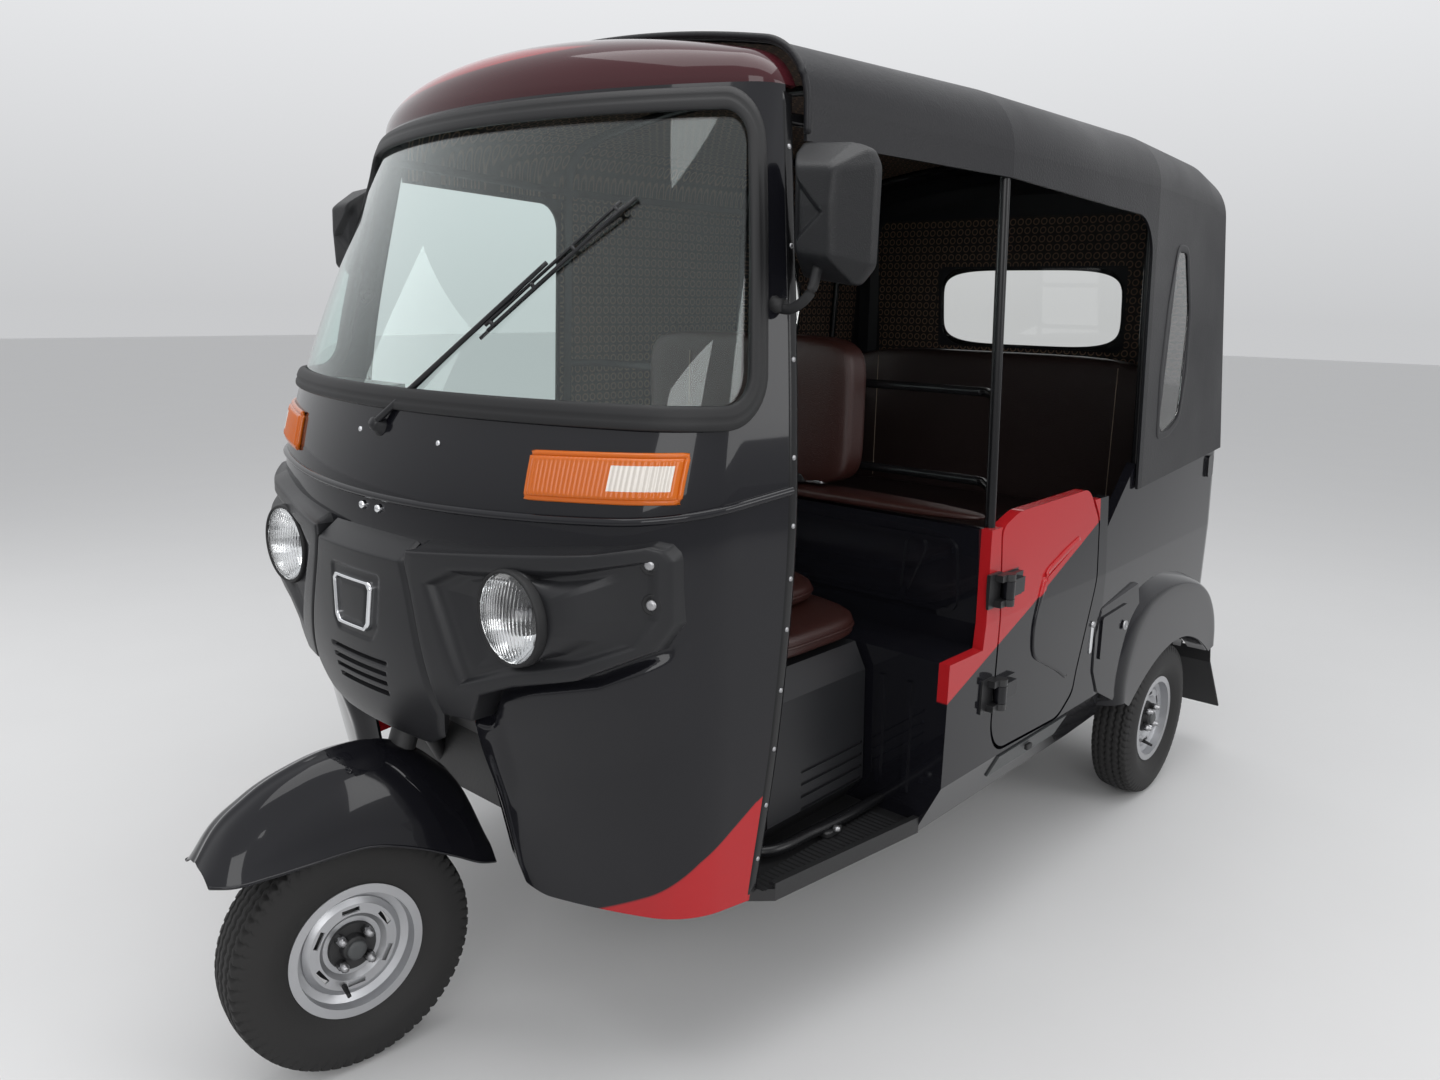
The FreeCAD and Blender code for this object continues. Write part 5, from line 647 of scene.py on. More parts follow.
# %% Cowl
inner, outer = cowl_ring()
t = np.linspace(0, 1, 26)[:, None, None]
flat = inner * (1 - t) + outer * t
cowl = grid_mesh("cowl_skin", shell(flat[..., 0] / WIDE, flat[..., 1]), "body", wrap_v=True,
                 facing=(0, -1, 0.2))
thicken(dress(cowl, "black_paint"), 0.008)
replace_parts(cowl, "front_cowl")
tell(cowl)

# %% [markdown]
# ## Waist bead
# Where the cowl meets the leg shields, the joint is covered by a half-round bead. It is a small circle
# carried along the joint: the angle round the circle moves the point up and down the shell and in and out
# of it.

# %% Bead
S, A = grid(np.linspace(-1, 1, 160), np.linspace(0, 2 * np.pi, 14, endpoint=False))
bead = grid_mesh("waist_bead", shell(S, bead_z(S) + 0.0065 * np.sin(A), 0.001 + 0.006 * np.cos(A)), "body",
                 wrap_v=True)
dress(bead, "black_paint")
tell(bead)

# %% [markdown]
# ## Evenly spaced points on a loop
# Frames, borders and rims all follow a closed outline of a few corners. Spacing the points by length along
# the sides keeps the faces even, where spacing them by corner would crowd the short sides. Averaging
# neighbours rounds the corners.

# %% Points along a loop, and softened corners
def along_loop(corners, count):
    """Points at equal lengths along a closed outline of two coordinates."""
    corners = np.asarray(corners, float)
    loop = np.concatenate([corners, corners[:1]])
    run = np.concatenate([[0], np.cumsum(np.linalg.norm(np.diff(loop, axis=0), axis=1))])
    d = np.linspace(0, run[-1], count, endpoint=False)
    return np.stack([np.interp(d, run, loop[:, 0]), np.interp(d, run, loop[:, 1])], -1)


def soften(values, times):
    """Each value becomes the mean of itself, twice, and its two neighbours on the loop."""
    for _ in range(times):
        values = (np.roll(values, 1, 0) + 2 * values + np.roll(values, -1, 0)) / 4
    return values


print("a unit square in four:", along_loop([(0, 0), (1, 0), (1, 1), (0, 1)], 4).tolist())

# %% [markdown]
# ## Rubber gasket
# A fat rubber section holds the screen. It is a profile carried along the window's outline: a flat-topped
# bulge with a fine groove where the locking strip sits. A Bevel on the window's edge would be rounder, but
# it would have neither the flat nor the groove.

# %% Gasket
def window_line(count=420, inset=0.0):
    """Rounded rectangle on the unrolled shell as (share, z), anticlockwise, moved inwards by inset."""
    half, low_z, high_z = WIDE - PILLAR - inset, WINDOW_LOW + inset, WINDOW_HIGH - inset
    r = max(TURN - inset, 0.004)
    corners = [(half - r, low_z + r, -90), (half - r, high_z - r, 0), (-half + r, high_z - r, 90),
               (-half + r, low_z + r, 180)]
    points = []
    for x, z, start in corners:
        a = np.radians(np.linspace(start, start + 90, 15))
        points.append(np.stack([x + r * np.cos(a), z + r * np.sin(a)], -1))
    return along_loop(np.concatenate(points), count)


OUTLINE_POINTS = 420
outline = window_line(OUTLINE_POINTS, 0.017)
angle = np.linspace(0, 2 * np.pi, 30, endpoint=False)
tangent = unit(np.roll(outline, -1, 0) - np.roll(outline, 1, 0))
across = np.stack([tangent[:, 1], -tangent[:, 0]], -1)
rise = 0.0085 * np.abs(np.sin(angle)) ** 0.55 * np.sign(np.sin(angle))
rise -= 0.0022 * np.exp(-((np.cos(angle) - 0.15) / 0.09) ** 2) * (np.sin(angle) > 0)
place = outline[:, None] + across[:, None] * (0.0175 * np.cos(angle))[None, :, None]
gasket = grid_mesh("screen_gasket", shell(place[..., 0] / WIDE, place[..., 1], 0.0015 + rise[None]), "body",
                   wrap_u=True, wrap_v=True)
dress(gasket, "rubber")
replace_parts(gasket, "windscreen_gasket")
tell(gasket)

# %% [markdown]
# ## Windscreen
# The glass is laminated and bent to the cab, so it is the shell's own surface, moved a little inwards and
# given a wall. Its edge lies hidden in the gasket.

# %% Screen
HIDDEN_EDGE = 0.025
S, Z = grid(np.linspace(-1, 1, 120) * (WIDE - PILLAR - HIDDEN_EDGE) / WIDE,
            np.linspace(WINDOW_LOW + HIDDEN_EDGE, WINDOW_HIGH - HIDDEN_EDGE, 60))
screen = thicken(grid_mesh("screen_glass", shell(S, Z, -0.005), "body", facing=(0, -1, 0)), 0.004)
dress(screen, "tinted_glass")
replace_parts(screen, "windscreen")
tell(screen)

# %% [markdown]
# ## Leg shields
# Below the bead the same shell runs down to the foot boards, open in the middle for the wheel. Its inner
# edge turns back into the wheel well, which catches a thin line of light beside the centre panel, and a
# shallow shelf swells out below the mask. All of that is added to the shell by soft steps of the distance
# from each edge.

# %% Leg shields
FOOT_Z = 0.322


def leg_shield(side, name):
    """Rows climb from the foot to the bead, columns run from the wheel well's edge to the door opening."""
    climb, across = grid(np.linspace(0, 1, 170), np.linspace(0, 1, 100) ** 0.8)
    well_z = FOOT_Z + climb * 0.66
    well_x = np.interp(well_z, [FOOT_Z, 0.64, 0.72], [0.203, 0.176, 0.0])
    start = share_at_x(well_x, well_z)
    share = start + (0.9995 - start) * across
    top = bead_z(share)
    z = FOOT_Z + climb * (top - FOOT_Z)
    distance = (share - start) * shell_length(z)
    turned = (1 - step(distance / 0.045)) * (1 - step((z - 0.65) / 0.06))
    lifted = np.maximum(0.045 - (z - FOOT_Z), 0) * step(1 - distance / 0.09)
    flat_x = shell(share, z)[..., 0]
    under = np.interp(flat_x, [0.246, 0.271, 0.330, 0.440, 0.529, 0.547],
                      [0.648, 0.697, 0.722, 0.752, 0.800, 0.838]) - z
    shelf = 0.016 * step((under - 0.002) / 0.020) * (1 - step((under - 0.03) / 0.15))
    shelf = shelf * (1 - step((flat_x - 0.49) / 0.07)) * step((distance - 0.01) / 0.03)
    points = shell(side * share, z, shelf - 0.030 * turned)
    points[..., 2] += lifted * 0.5
    panel = grid_mesh(name, points, "body", facing=(0, -1, 0))
    return thicken(dress(panel, "front_paint"), 0.006)


left_shield, right_shield = leg_shield(1, "leg_shield_left"), leg_shield(-1, "leg_shield_right")
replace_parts(left_shield, "front_panel")
tell(left_shield, right_shield)

# %% [markdown]
# ## Roof header
# The cap over the screen leaves the shell upright and arrives level at the canopy's first bow. A quarter of
# an ellipse does that: height follows the sine of the parameter, and the way back follows one minus its
# cosine. A straight loft between the two outlines would show a fold at the screen's top edge.

# %% Header
def bow_point(share, y, crest, half, foot, corner, lean, radius):
    """Point at a share (-1 to 1) along a bow: wide crown arc, corner arc, leaning side down to the foot."""
    x, v, _, _ = plan_point(share, -crest, radius, half, -foot, corner, lean)
    return np.stack([x, y + 0 * x, -v], -1)


S, V = grid(np.linspace(-1, 1, 150), np.linspace(0, np.pi / 2, 40))
base = shell(S, np.full(S.shape, SHELL_TOP))
target = bow_point(S, -0.606, 1.694, 0.512, SHELL_TOP, 0.090, math.radians(11.5), 2.0)
back, rise = 1 - np.cos(V) ** 0.83, np.sin(V) ** 0.83
header = grid_mesh("header_skin", base + (target - base) * np.stack([back, back, rise], -1), "body",
                   facing=(0, -1, 1))
thicken(dress(header, "header_paint"), 0.008)
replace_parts(header, "roof_header")
tell(header)

# %% [markdown]
# ## How far forward the mask stands
# The satin mask is moulded in three pieces that stand proud of the cab. Seen from the front it is a height
# field: every point has one depth. The depth comes from a plan outline like the shell's, with a crest and a
# half width that change with height, and its outer ends swell forward a little.

# %% Depth of the mask
MASK_Z = [0.500, 0.600, 0.660, 0.860, 1.010]
MASK_BACK = [0.092, 0.026, 0.006, 0.000, 0.004]
MASK_SHY = [0.062, 0.026, 0.014, 0.000, 0.000]
MASK_CREST, MASK_HALF, NOSE_RADIUS, CORNER_RADIUS, MASK_FOOT = 1.062, 0.615, 0.9, 0.200, 0.695


def mask_y(x, z):
    """How far forward the mask stands at (x, z): inverse of its plan outline."""
    crest = MASK_CREST - smooth(z, MASK_Z, MASK_BACK)
    half = MASK_HALF - smooth(z, MASK_Z, MASK_SHY)
    centre_v, fx, fv, turn, *_ = plan_parts(-crest, NOSE_RADIUS, half, MASK_FOOT, CORNER_RADIUS)
    x = np.abs(x)
    on_nose = x <= NOSE_RADIUS * np.sin(turn)
    nose_v = centre_v + np.sqrt(np.maximum(NOSE_RADIUS**2 - x**2, 0))
    corner_v = fv + np.sqrt(np.maximum(CORNER_RADIUS**2 - (x - fx) ** 2, 0))
    return -np.where(on_nose, nose_v, corner_v) - 0.014 * step((x - 0.38) / 0.14)


print("mask at its middle:", round(float(mask_y(np.array(0.0), np.array(0.8))), 4), "m")

# %% [markdown]
# ## Outlines in the front view
# The wings and their recesses are known best as outlines seen from the front. Two questions have to be
# answered about such an outline: how far inside it a point lies, and how far it is from the lamp's middle
# in a given direction. Both go through the outline's sides one by one and treat the whole grid at once.

# %% Distances to an outline
def signed_distance(x, z, outline):
    """Distance to a closed outline, positive inside."""
    outline = np.asarray(outline, float)
    best, odd = np.full(x.shape, 1e9), np.zeros(x.shape, bool)
    for a, b in zip(outline, np.roll(outline, -1, 0)):
        run = b - a
        t = np.clip(((x - a[0]) * run[0] + (z - a[1]) * run[1]) / (run @ run), 0, 1)
        best = np.minimum(best, np.hypot(x - a[0] - t * run[0], z - a[1] - t * run[1]))
        crosses = ((a[1] > z) != (b[1] > z)) & (x < a[0] + (z - a[1]) * run[0] / (run[1] if run[1] else 1e-9))
        odd ^= crosses
    return np.where(odd, best, -best)


RECESS = np.array([(172, 858), (222, 886), (440, 914), (524, 932), (535, 920), (536, 846), (514, 806),
                   (450, 774), (330, 738), (236, 706)]) / 1000
WING = np.array([(192, 648), (246, 648), (271, 697), (330, 722), (440, 752), (529, 800), (547, 838),
                 (547, 930), (538, 946), (524, 951), (460, 937), (302, 919), (134, 902), (131, 884)]) / 1000
LAMP = np.array([0.334, -1.008, 0.829])


def reach(outline, angle):
    """Distance from the lamp's middle to an outline in each direction: the nearest side that a ray meets."""
    best = np.full(angle.shape, 9.0)
    dx, dz = np.cos(angle), np.sin(angle)
    for a, b in zip(outline, np.roll(outline, -1, 0)):
        px, pz = a[0] - LAMP[0], a[1] - LAMP[2]
        ex, ez = b - a
        cross = dx * ez - dz * ex
        cross = np.where(np.abs(cross) < 1e-9, 1e-9, cross)
        far, share = (px * ez - pz * ex) / cross, (px * dz - pz * dx) / cross
        hit = (share > -1e-6) & (share < 1 + 1e-6) & (far > 0.01)
        best = np.where(hit & (far < best), far, best)
    return best


print("wing:", np.round(np.ptp(WING, axis=0), 3), "recess:", np.round(np.ptp(RECESS, axis=0), 3))

# %% [markdown]
# ## Wings of the mask
# Each wing is a moulding with a round lamp hole, a sunk recess about it and a flat land outside that. Rings
# round the lamp describe it best: lamp edge, recess floor, soft recess wall, land, rounded edge, and a
# skirt back to the shell. A flat grid over the front view would cut the round hole into steps.

# %% Rings of a wing
HOLE, SINK, WALL, EDGE_ROUND = 0.0738, 0.0115, 0.020, 0.006


def wing(side, name):
    """Rings from the lamp outwards: recess floor, recess wall, land, rounded edge, and a skirt."""
    corners = np.concatenate([np.arctan2(o[:, 1] - LAMP[2], o[:, 0] - LAMP[0]) for o in (WING, RECESS)])
    angle = np.unique(np.round(np.concatenate([np.linspace(-np.pi, np.pi, 300, endpoint=False), corners]), 4))
    outer_r, recess_r = reach(WING, angle), reach(RECESS, angle)
    recess_r = np.minimum(recess_r, outer_r - 0.010)
    lamp_r = np.full(angle.shape, HOLE)
    rows, sink = [], []
    for share in np.linspace(0, 1, 12):
        rows.append(lamp_r + share * (recess_r - WALL - lamp_r))
        sink.append(SINK)
    for share in (0.2, 0.4, 0.6, 0.8, 1.0):
        rows.append(recess_r - WALL * (1 - share))
        sink.append(SINK * (1 - step(share)))
    for share in (0.25, 0.5, 0.75, 1.0):
        rows.append(recess_r + share * (outer_r - EDGE_ROUND - recess_r))
        sink.append(0.0)
    for turn in np.radians([22, 45, 67, 90]):
        rows.append(outer_r - EDGE_ROUND + EDGE_ROUND * math.sin(turn))
        sink.append(EDGE_ROUND * (1 - math.cos(turn)))
    radius, depth = np.stack(rows), np.array(sink)[:, None]
    x, z = LAMP[0] + radius * np.cos(angle), LAMP[2] + radius * np.sin(angle)
    swell = 0.020 * np.exp(-(((x - 0.43) / 0.09) ** 2))
    y = mask_y(x, z) + depth - swell
    level = np.zeros(y.shape)
    level[:12] = 1 - step(np.linspace(0, 1.3, 12))[:, None]
    y = y + level * (-1.001 + 0.07 * (x - LAMP[0]) - y)
    edge = np.stack([x[-1], y[-1], z[-1]], -1)
    shell_y = shell(share_at_x(edge[:, 0], np.minimum(edge[:, 2] + 0.01, 0.98)), edge[:, 2])[:, 1] + 0.006
    run = np.maximum(shell_y - edge[:, 1], 0.004)
    climb = 0.42 * step((edge[:, 2] - 0.86) / 0.04) * (edge[:, 0] > 0.14) * (edge[:, 0] < 0.545)
    skirt = np.stack([edge + np.stack([0 * run, k * run, k * run * climb], -1) for k in (0.35, 0.7, 1.0)])
    points = np.concatenate([np.stack([x, y, z], -1), skirt])
    points[..., 0] *= side
    made = grid_mesh(name, points, "body", wrap_v=True, facing=(side * 0.2, -1, 0))
    return thicken(dress(made, "satin_black"), 0.003)


print("rings run round the lamp at", LAMP)

# %% Wings
wing_left, wing_right = wing(1, "lamp_wing_left"), wing(-1, "lamp_wing_right")
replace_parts(wing_left, "lamp_wings")
tell(wing_left, wing_right)

# %% [markdown]
# ## Centre panel
# Between the wings stands a tapering panel with four slots below the badge. The slots are valleys in its
# height field, and so is the shallow seat of the badge. Cutting them with a Boolean would be sharper, but
# the moulding's slots have soft edges.

# %% Centre panel
SLOTS, SLOT_LOW, SLOT_PITCH, SLOT_DEPTH = 4, 0.6565, 0.018, 0.009
PANEL_LOW, PANEL_BEND, PANEL_TOP = 0.572, 0.884, 0.916
across, rise = grid(np.linspace(-1, 1, 84), np.linspace(0, 1, 200))
z = PANEL_LOW + rise * (PANEL_TOP - PANEL_LOW)
half = np.interp(z, [PANEL_LOW, 0.600, 0.648, PANEL_BEND, PANEL_TOP], [0.118, 0.172, 0.1905, 0.1285, 0.1265])
x = across * half
y = mask_y(x, np.minimum(z, PANEL_BEND)) + np.maximum(z - PANEL_BEND, 0) * 1.32
for k in range(SLOTS):
    width = 0.072 + 0.003 * k
    centre_z = SLOT_LOW + SLOT_PITCH * k
    in_height = step((0.0034 - np.abs(z - centre_z)) / 0.0016 + 0.5)
    y = y + SLOT_DEPTH * in_height * step((width - np.abs(x)) / 0.004 + 0.5)
y = y + 0.005 * (1 - step(np.minimum((1 - np.abs(across)) * half, (z - PANEL_LOW)) / 0.008))
seat = np.array([(-64, 846), (64, 846), (57, 764), (46, 750), (-46, 750), (-57, 764)]) / 1000
y = y + 0.003 * step((signed_distance(x, z, seat) + 0.010) / 0.006)
centre = grid_mesh("fascia_centre", np.stack([x, y, z], -1), "body", facing=(0, -1, 0))
thicken(dress(centre, "satin_black"), 0.028)
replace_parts(centre, "centre_panel")
tell(centre)

# %% [markdown]
# ## Blank badge plate
# The nose carries a plate: a tapering outline with a bright raised frame round a plain dark field. Rings
# that shrink towards the middle make both pieces, and the lift of each ring draws the frame's section.

# %% Badge plate
rim = along_loop(np.array([(-57, 830), (-50, 839), (50, 839), (57, 830), (50, 768), (41, 757), (-41, 757),
                           (-50, 768)]) / 1000, 96)
middle = rim.mean(0)
for name, key, share_in, lift in (
        ("badge_frame", "chrome", [1.0, 1.0, 0.98, 0.94, 0.89, 0.87, 0.87],
         [-0.004, 0.004, 0.006, 0.0065, 0.006, 0.004, -0.004]),
        ("badge_field", "satin_black", [0.88, 0.87, 0.6, 0.3, 0.001],
         [-0.002, 0.0022, 0.0024, 0.0026, 0.0026])):
    flat = middle + (rim - middle)[None] * np.array(share_in)[:, None, None]
    y = mask_y(flat[..., 0], flat[..., 1]) - np.array(lift)[:, None]
    points = np.stack([flat[..., 0], y, flat[..., 1]], -1)
    tell(dress(grid_mesh(name, points, "body", wrap_v=True, facing=(0, -1, 0)), key))

# %% [markdown]
# ## Turned parts
# Lamp bowls, nuts, caps and screw heads are round, so each is a profile turned about an axis. The Spin tool
# does this by hand; as a formula it is one line, and the profile stays readable as pairs of how far along
# and how far out.

# %% Lathe
def lathe(name, profile, centre, axis, body, key, sides=40, facing=None):
    """Profile of (along, radius) pairs turned about an axis through centre."""
    profile = np.asarray(profile, float)
    axis = unit(np.asarray(axis, float))
    side = unit(np.cross([0, 0, 1], axis) if abs(axis[2]) < 0.9 else np.cross([1, 0, 0], axis))
    other = np.cross(axis, side)
    a = np.linspace(0, 2 * np.pi, sides, endpoint=False)
    ring = np.cos(a)[:, None] * side + np.sin(a)[:, None] * other
    points = np.asarray(centre) + profile[None, :, :1] * axis + profile[None, :, 1:] * ring[:, None]
    return dress(grid_mesh(name, points, body, wrap_u=True, facing=facing), key)


print("lathe ready")

# %% [markdown]
# ## Headlamps
# Each lamp has a bright bowl, a bulb cap and a domed lens whose fine upright ribs spread the beam. The ribs
# are a cosine added to the dome. A dark rubber ring fills the gap between the lamp and the mask as painted
# shadow: it stands for the narrow shade in that gap.

# %% Headlamp
def headlamp(side):
    centre = np.array([side * LAMP[0], LAMP[1], LAMP[2]])
    tag = "left" if side > 0 else "right"
    bowl_profile = [(0.000, 0.067), (0.012, 0.061), (0.028, 0.048), (0.042, 0.030), (0.050, 0.012),
                    (0.050, 0.0)]
    bowl = lathe("lamp_reflector_" + tag, bowl_profile, centre, (0, 1, 0), "body", "lamp_bowl", 64,
                 (0, -1, 0))
    cap_profile = [(0.050, 0.010), (0.022, 0.010), (0.018, 0.007), (0.016, 0.0)]
    lathe("lamp_bulb_" + tag, cap_profile, centre, (0, 1, 0), "body", "steel", 24, (0, -1, 0))
    r, a = grid(np.linspace(0.0005, 0.0665, 44), np.linspace(0, 2 * np.pi, 144, endpoint=False))
    x, z = r * np.cos(a), r * np.sin(a)
    dome = -0.0135 * (1 - (r / 0.068) ** 2)
    ribs = 0.0006 * np.cos(2 * np.pi * x / 0.0075) * step((0.062 - r) / 0.006) * (np.abs(z) > 0.0)
    points = centre + np.stack([x, dome + ribs - 0.001, z], -1)
    lens = thicken(grid_mesh("lamp_lens_" + tag, points, "body", wrap_v=True, facing=(0, -1, 0)), 0.0025)
    # Painted shadow: a dark rubber sleeve and lip fill the gap round the lens, where the narrow shade falls.
    profile = [(-0.002, 0.0665), (-0.005, 0.0690), (-0.004, 0.0715), (0.000, 0.0730), (0.075, 0.0740),
               (0.075, 0.0690), (0.004, 0.0668), (-0.002, 0.0665)]
    lathe("lamp_shadow_ring_" + tag, profile, centre, (0, 1, 0), "body", "rubber", 72)
    dress(lens, "lamp_glass")
    return bowl, lens


left_bowl, left_lens = headlamp(1)
headlamp(-1)
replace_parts(left_bowl, "headlamp_bowls")
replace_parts(left_lens, "headlamp_lenses")
tell(left_bowl, left_lens)

# %% [markdown]
# ## Round sections along a path
# Beads, stalks, pipes and seams are a small circle carried along a path. A curve object with a bevel would
# do it too; worked out here, the section's turn stays level, because its side is kept square to the
# vertical.

# %% Tube
def path_frame(path, closed):
    """Unit tangent, side and normal at each point of a path, with the side as level as it can be."""
    if closed:
        tangent = unit(np.roll(path, -1, 0) - np.roll(path, 1, 0))
    else:
        tangent = unit(np.gradient(path, axis=0))
    guide = np.tile([0.0, 0.0, 1.0], (len(path), 1))
    steep = np.abs(tangent[:, 2]) > 0.9
    guide[steep] = [0.0, 1.0, 0.0]
    side = unit(np.cross(guide, tangent))
    return tangent, side, np.cross(tangent, side)


def tube(name, path, radius, body, key, closed=False, sides=12):
    """Circle of one radius carried along a path: point + radius * (cos a * side + sin a * normal)."""
    path = np.asarray(path, float)
    _, side, normal = path_frame(path, closed)
    a = np.linspace(0, 2 * np.pi, sides, endpoint=False)
    radius = np.broadcast_to(np.asarray(radius, float), (len(path),))[:, None, None]
    ring = path[:, None] + radius * (np.cos(a)[None, :, None] * side[:, None] + np.sin(a)[None, :, None]
                                     * normal[:, None])
    if not closed:
        ring = np.concatenate([np.broadcast_to(path[:1, None], ring[:1].shape), ring,
                               np.broadcast_to(path[-1:, None], ring[:1].shape)])
    return dress(grid_mesh(name, ring, body, wrap_u=closed, wrap_v=True), key)


print("tube ready")

# %% [markdown]
# ## Indicators
# The indicator lens follows the cowl and is ribbed: amber for the inner two thirds, clear at its outer end.
# One grid gives both pieces, and a mask of faces shares it out between them, so that they meet without a
# gap.

# %% Indicators
def indicator(side):
    tag = "left" if side > 0 else "right"
    s, t = grid(np.linspace(0, 1, 150), np.linspace(0, 1, 26))
    x = 0.334 + s * 0.204
    z = 1.003 + t * 0.062 + 0.008 * s
    edge = np.minimum(np.minimum(s, 1 - s) * 0.204, np.minimum(t, 1 - t) * 0.062)
    ribs = 0.0009 * np.cos(2 * np.pi * x / 0.0068) * step(edge / 0.006 - 0.5)
    out = 0.002 + 0.008 * step(edge / 0.005) + ribs
    points = shell(share_at_x(x, z), z, out)
    points[..., 0] *= side
    middle_s, middle_t = (s[:-1, :-1] + s[1:, 1:]) / 2, (t[:-1, :-1] + t[1:, 1:]) / 2
    pale = (middle_s > 0.60) & (middle_s < 0.95) & (middle_t > 0.22) & (middle_t < 0.80)
    amber = grid_mesh("indicator_amber_" + tag, points, "body", keep=~pale, facing=(side * 0.3, -1, 0))
    clear = grid_mesh("indicator_clear_" + tag, points, "body", keep=pale, facing=(side * 0.3, -1, 0))
    dress(amber, "amber")
    dress(clear, "clear_lens")
    px, pz = along_loop([(0.334, 1.003), (0.538, 1.011), (0.538, 1.073), (0.334, 1.065)], 120).T
    path = shell(share_at_x(px, pz), pz, 0.003)
    path[:, 0] *= side
    tube("indicator_bezel_" + tag, path, 0.0046, "body", "amber", closed=True)
    return amber


left_indicator = indicator(1)
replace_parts(left_indicator, "front_indicators")
indicator(-1)
tell(left_indicator)

# %% [markdown]
# ## Screws on the front
# Small bright screw heads catch the light on real sheet metal. Each is a low turned dome. The wings' screws
# sit in rubber dishes, two plated bolts hold the nose, and two small ones the cowl.

# %% Screws
def screw(name, spot, out_dir, radius, height, key="steel"):
    """Low domed head with a rounded shoulder, turned about its own axis."""
    profile = [(0.0, radius), (height * 0.6, radius * 0.96), (height * 0.9, radius * 0.75),
               (height, radius * 0.35), (height, 0.0)]
    return lathe(name, profile, spot, out_dir, "body", key, 18)


for side, tag in ((1, "left"), (-1, "right")):
    for k, (x, z) in enumerate(((0.521, 0.925), (0.524, 0.868))):
        spot = np.array([side * x, float(mask_y(np.array(x), np.array(z))) + 0.002, z])
        facing = np.array([side * 0.42, -0.9, 0])
        dish = [(-0.003, 0.0160), (0.002, 0.0150), (0.003, 0.0130), (0.001, 0.0110), (0.001, 0.0)]
        lathe(f"wing_dish_{tag}_{k}", dish, spot, facing, "body", "rubber", 32)
        screw(f"wing_screw_{tag}_{k}", spot + 0.001 * facing, facing, 0.0080, 0.006)
for k, x in enumerate((-0.0235, 0.0235)):
    spot = shell(share_at_x(np.array(x), np.array(0.948)), np.array(0.948))
    screw(f"nose_bolt_{k}", spot, (0, -1, 0), 0.0075, 0.008, key="chrome")
for k, (x, z) in enumerate(((-0.059, 1.066), (0.151, 1.063))):
    spot = shell(share_at_x(np.array(x), np.array(z)), np.array(z))
    screw(f"cowl_screw_{k}", spot, (0, -1, 0.2), 0.0045, 0.003, key="chrome")
print("eight screws and four dishes")

# %% [markdown]
# ## The parked steering
# The vehicle stands with its front wheel turned a little. Pieces that steer are drawn straight ahead about
# the axle and then turned about the raked steering axis, which keeps their formulas simple.

# %% Turning to the parked angle
AXLE = np.array([0.0, -1.110, 0.2075])
RAKE, PARKED = math.radians(20.4), math.radians(-7.5)
STEER_AXIS = np.array([0.0, math.sin(RAKE), math.cos(RAKE)])


def parked(points):
    """Turn points about the steering axis by the parked angle (the rotation formula of Rodrigues)."""
    v = points - AXLE
    along = (v @ STEER_AXIS)[..., None] * STEER_AXIS
    return AXLE + along + (v - along) * math.cos(PARKED) + np.cross(STEER_AXIS, v) * math.sin(PARKED)


print("steering axis:", np.round(STEER_AXIS, 3))

# %% [markdown]
# ## Front mudguard
# The mudguard is a deep pressing whose crest, flange and width are smooth curves along the wheel, and each
# cross-section is a flattened dome with a faint ridge. A rolled edge, a thin tube along each side, stiffens
# it.

# %% Mudguard
Y_TABLE = [-0.222, -0.196, -0.140, -0.060, 0.020, 0.100, 0.165, 0.215, 0.246]
CREST = [0.222, 0.260, 0.304, 0.337, 0.349, 0.335, 0.291, 0.225, 0.139]
FLANGE = [0.206, 0.204, 0.203, 0.203, 0.200, 0.170, 0.134, 0.104, 0.092]
SHARE = [0.70, 0.91, 1.0, 1.0, 1.0, 1.0, 1.0, 0.98, 0.9]
u, v = grid(np.linspace(-0.222, 0.246, 110), np.linspace(-1, 1, 70))
crest, flange, share = (smooth(u, Y_TABLE, column) for column in (CREST, FLANGE, SHARE))
dome = 1 - np.abs(v) ** 3.0
ridge = 0.004 * np.exp(-((v / 0.10) ** 2)) * step((0.246 - u) / 0.05)
x = 0.0845 * share * v * (1 + 0.015 * step((np.abs(v) - 0.94) / 0.06))
points = AXLE + np.stack([x, u, flange + (crest - flange) * dome + ridge - 0.004], -1)
guard = grid_mesh("mudguard_skin", parked(points), "steering", facing=(0, 0, 1))
thicken(dress(guard, "black_paint"), 0.002)
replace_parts(guard, "front_mudguard")
for side, tag in ((1, "left"), (-1, "right")):
    edge_u = np.linspace(-0.220, 0.244, 90)
    edge_x = side * 0.0835 * smooth(edge_u, Y_TABLE, SHARE)
    edge_z = smooth(edge_u, Y_TABLE, FLANGE) - 0.003
    path = parked(AXLE + np.stack([edge_x, edge_u, edge_z], -1))
    tube("guard_edge_" + tag, path, 0.003, "steering", "black_paint", sides=8)
tell(guard)

# %% [markdown]
# ## Tyres
# A tyre is its cross-section carried round the axle. The tread is relief on that surface: zigzag grooves
# run round it, and slanted cuts part the shoulder into lugs. One height function of the angle and of the
# place across the tread gives all of it, where modelling one lug and repeating it would need its seams
# hidden.

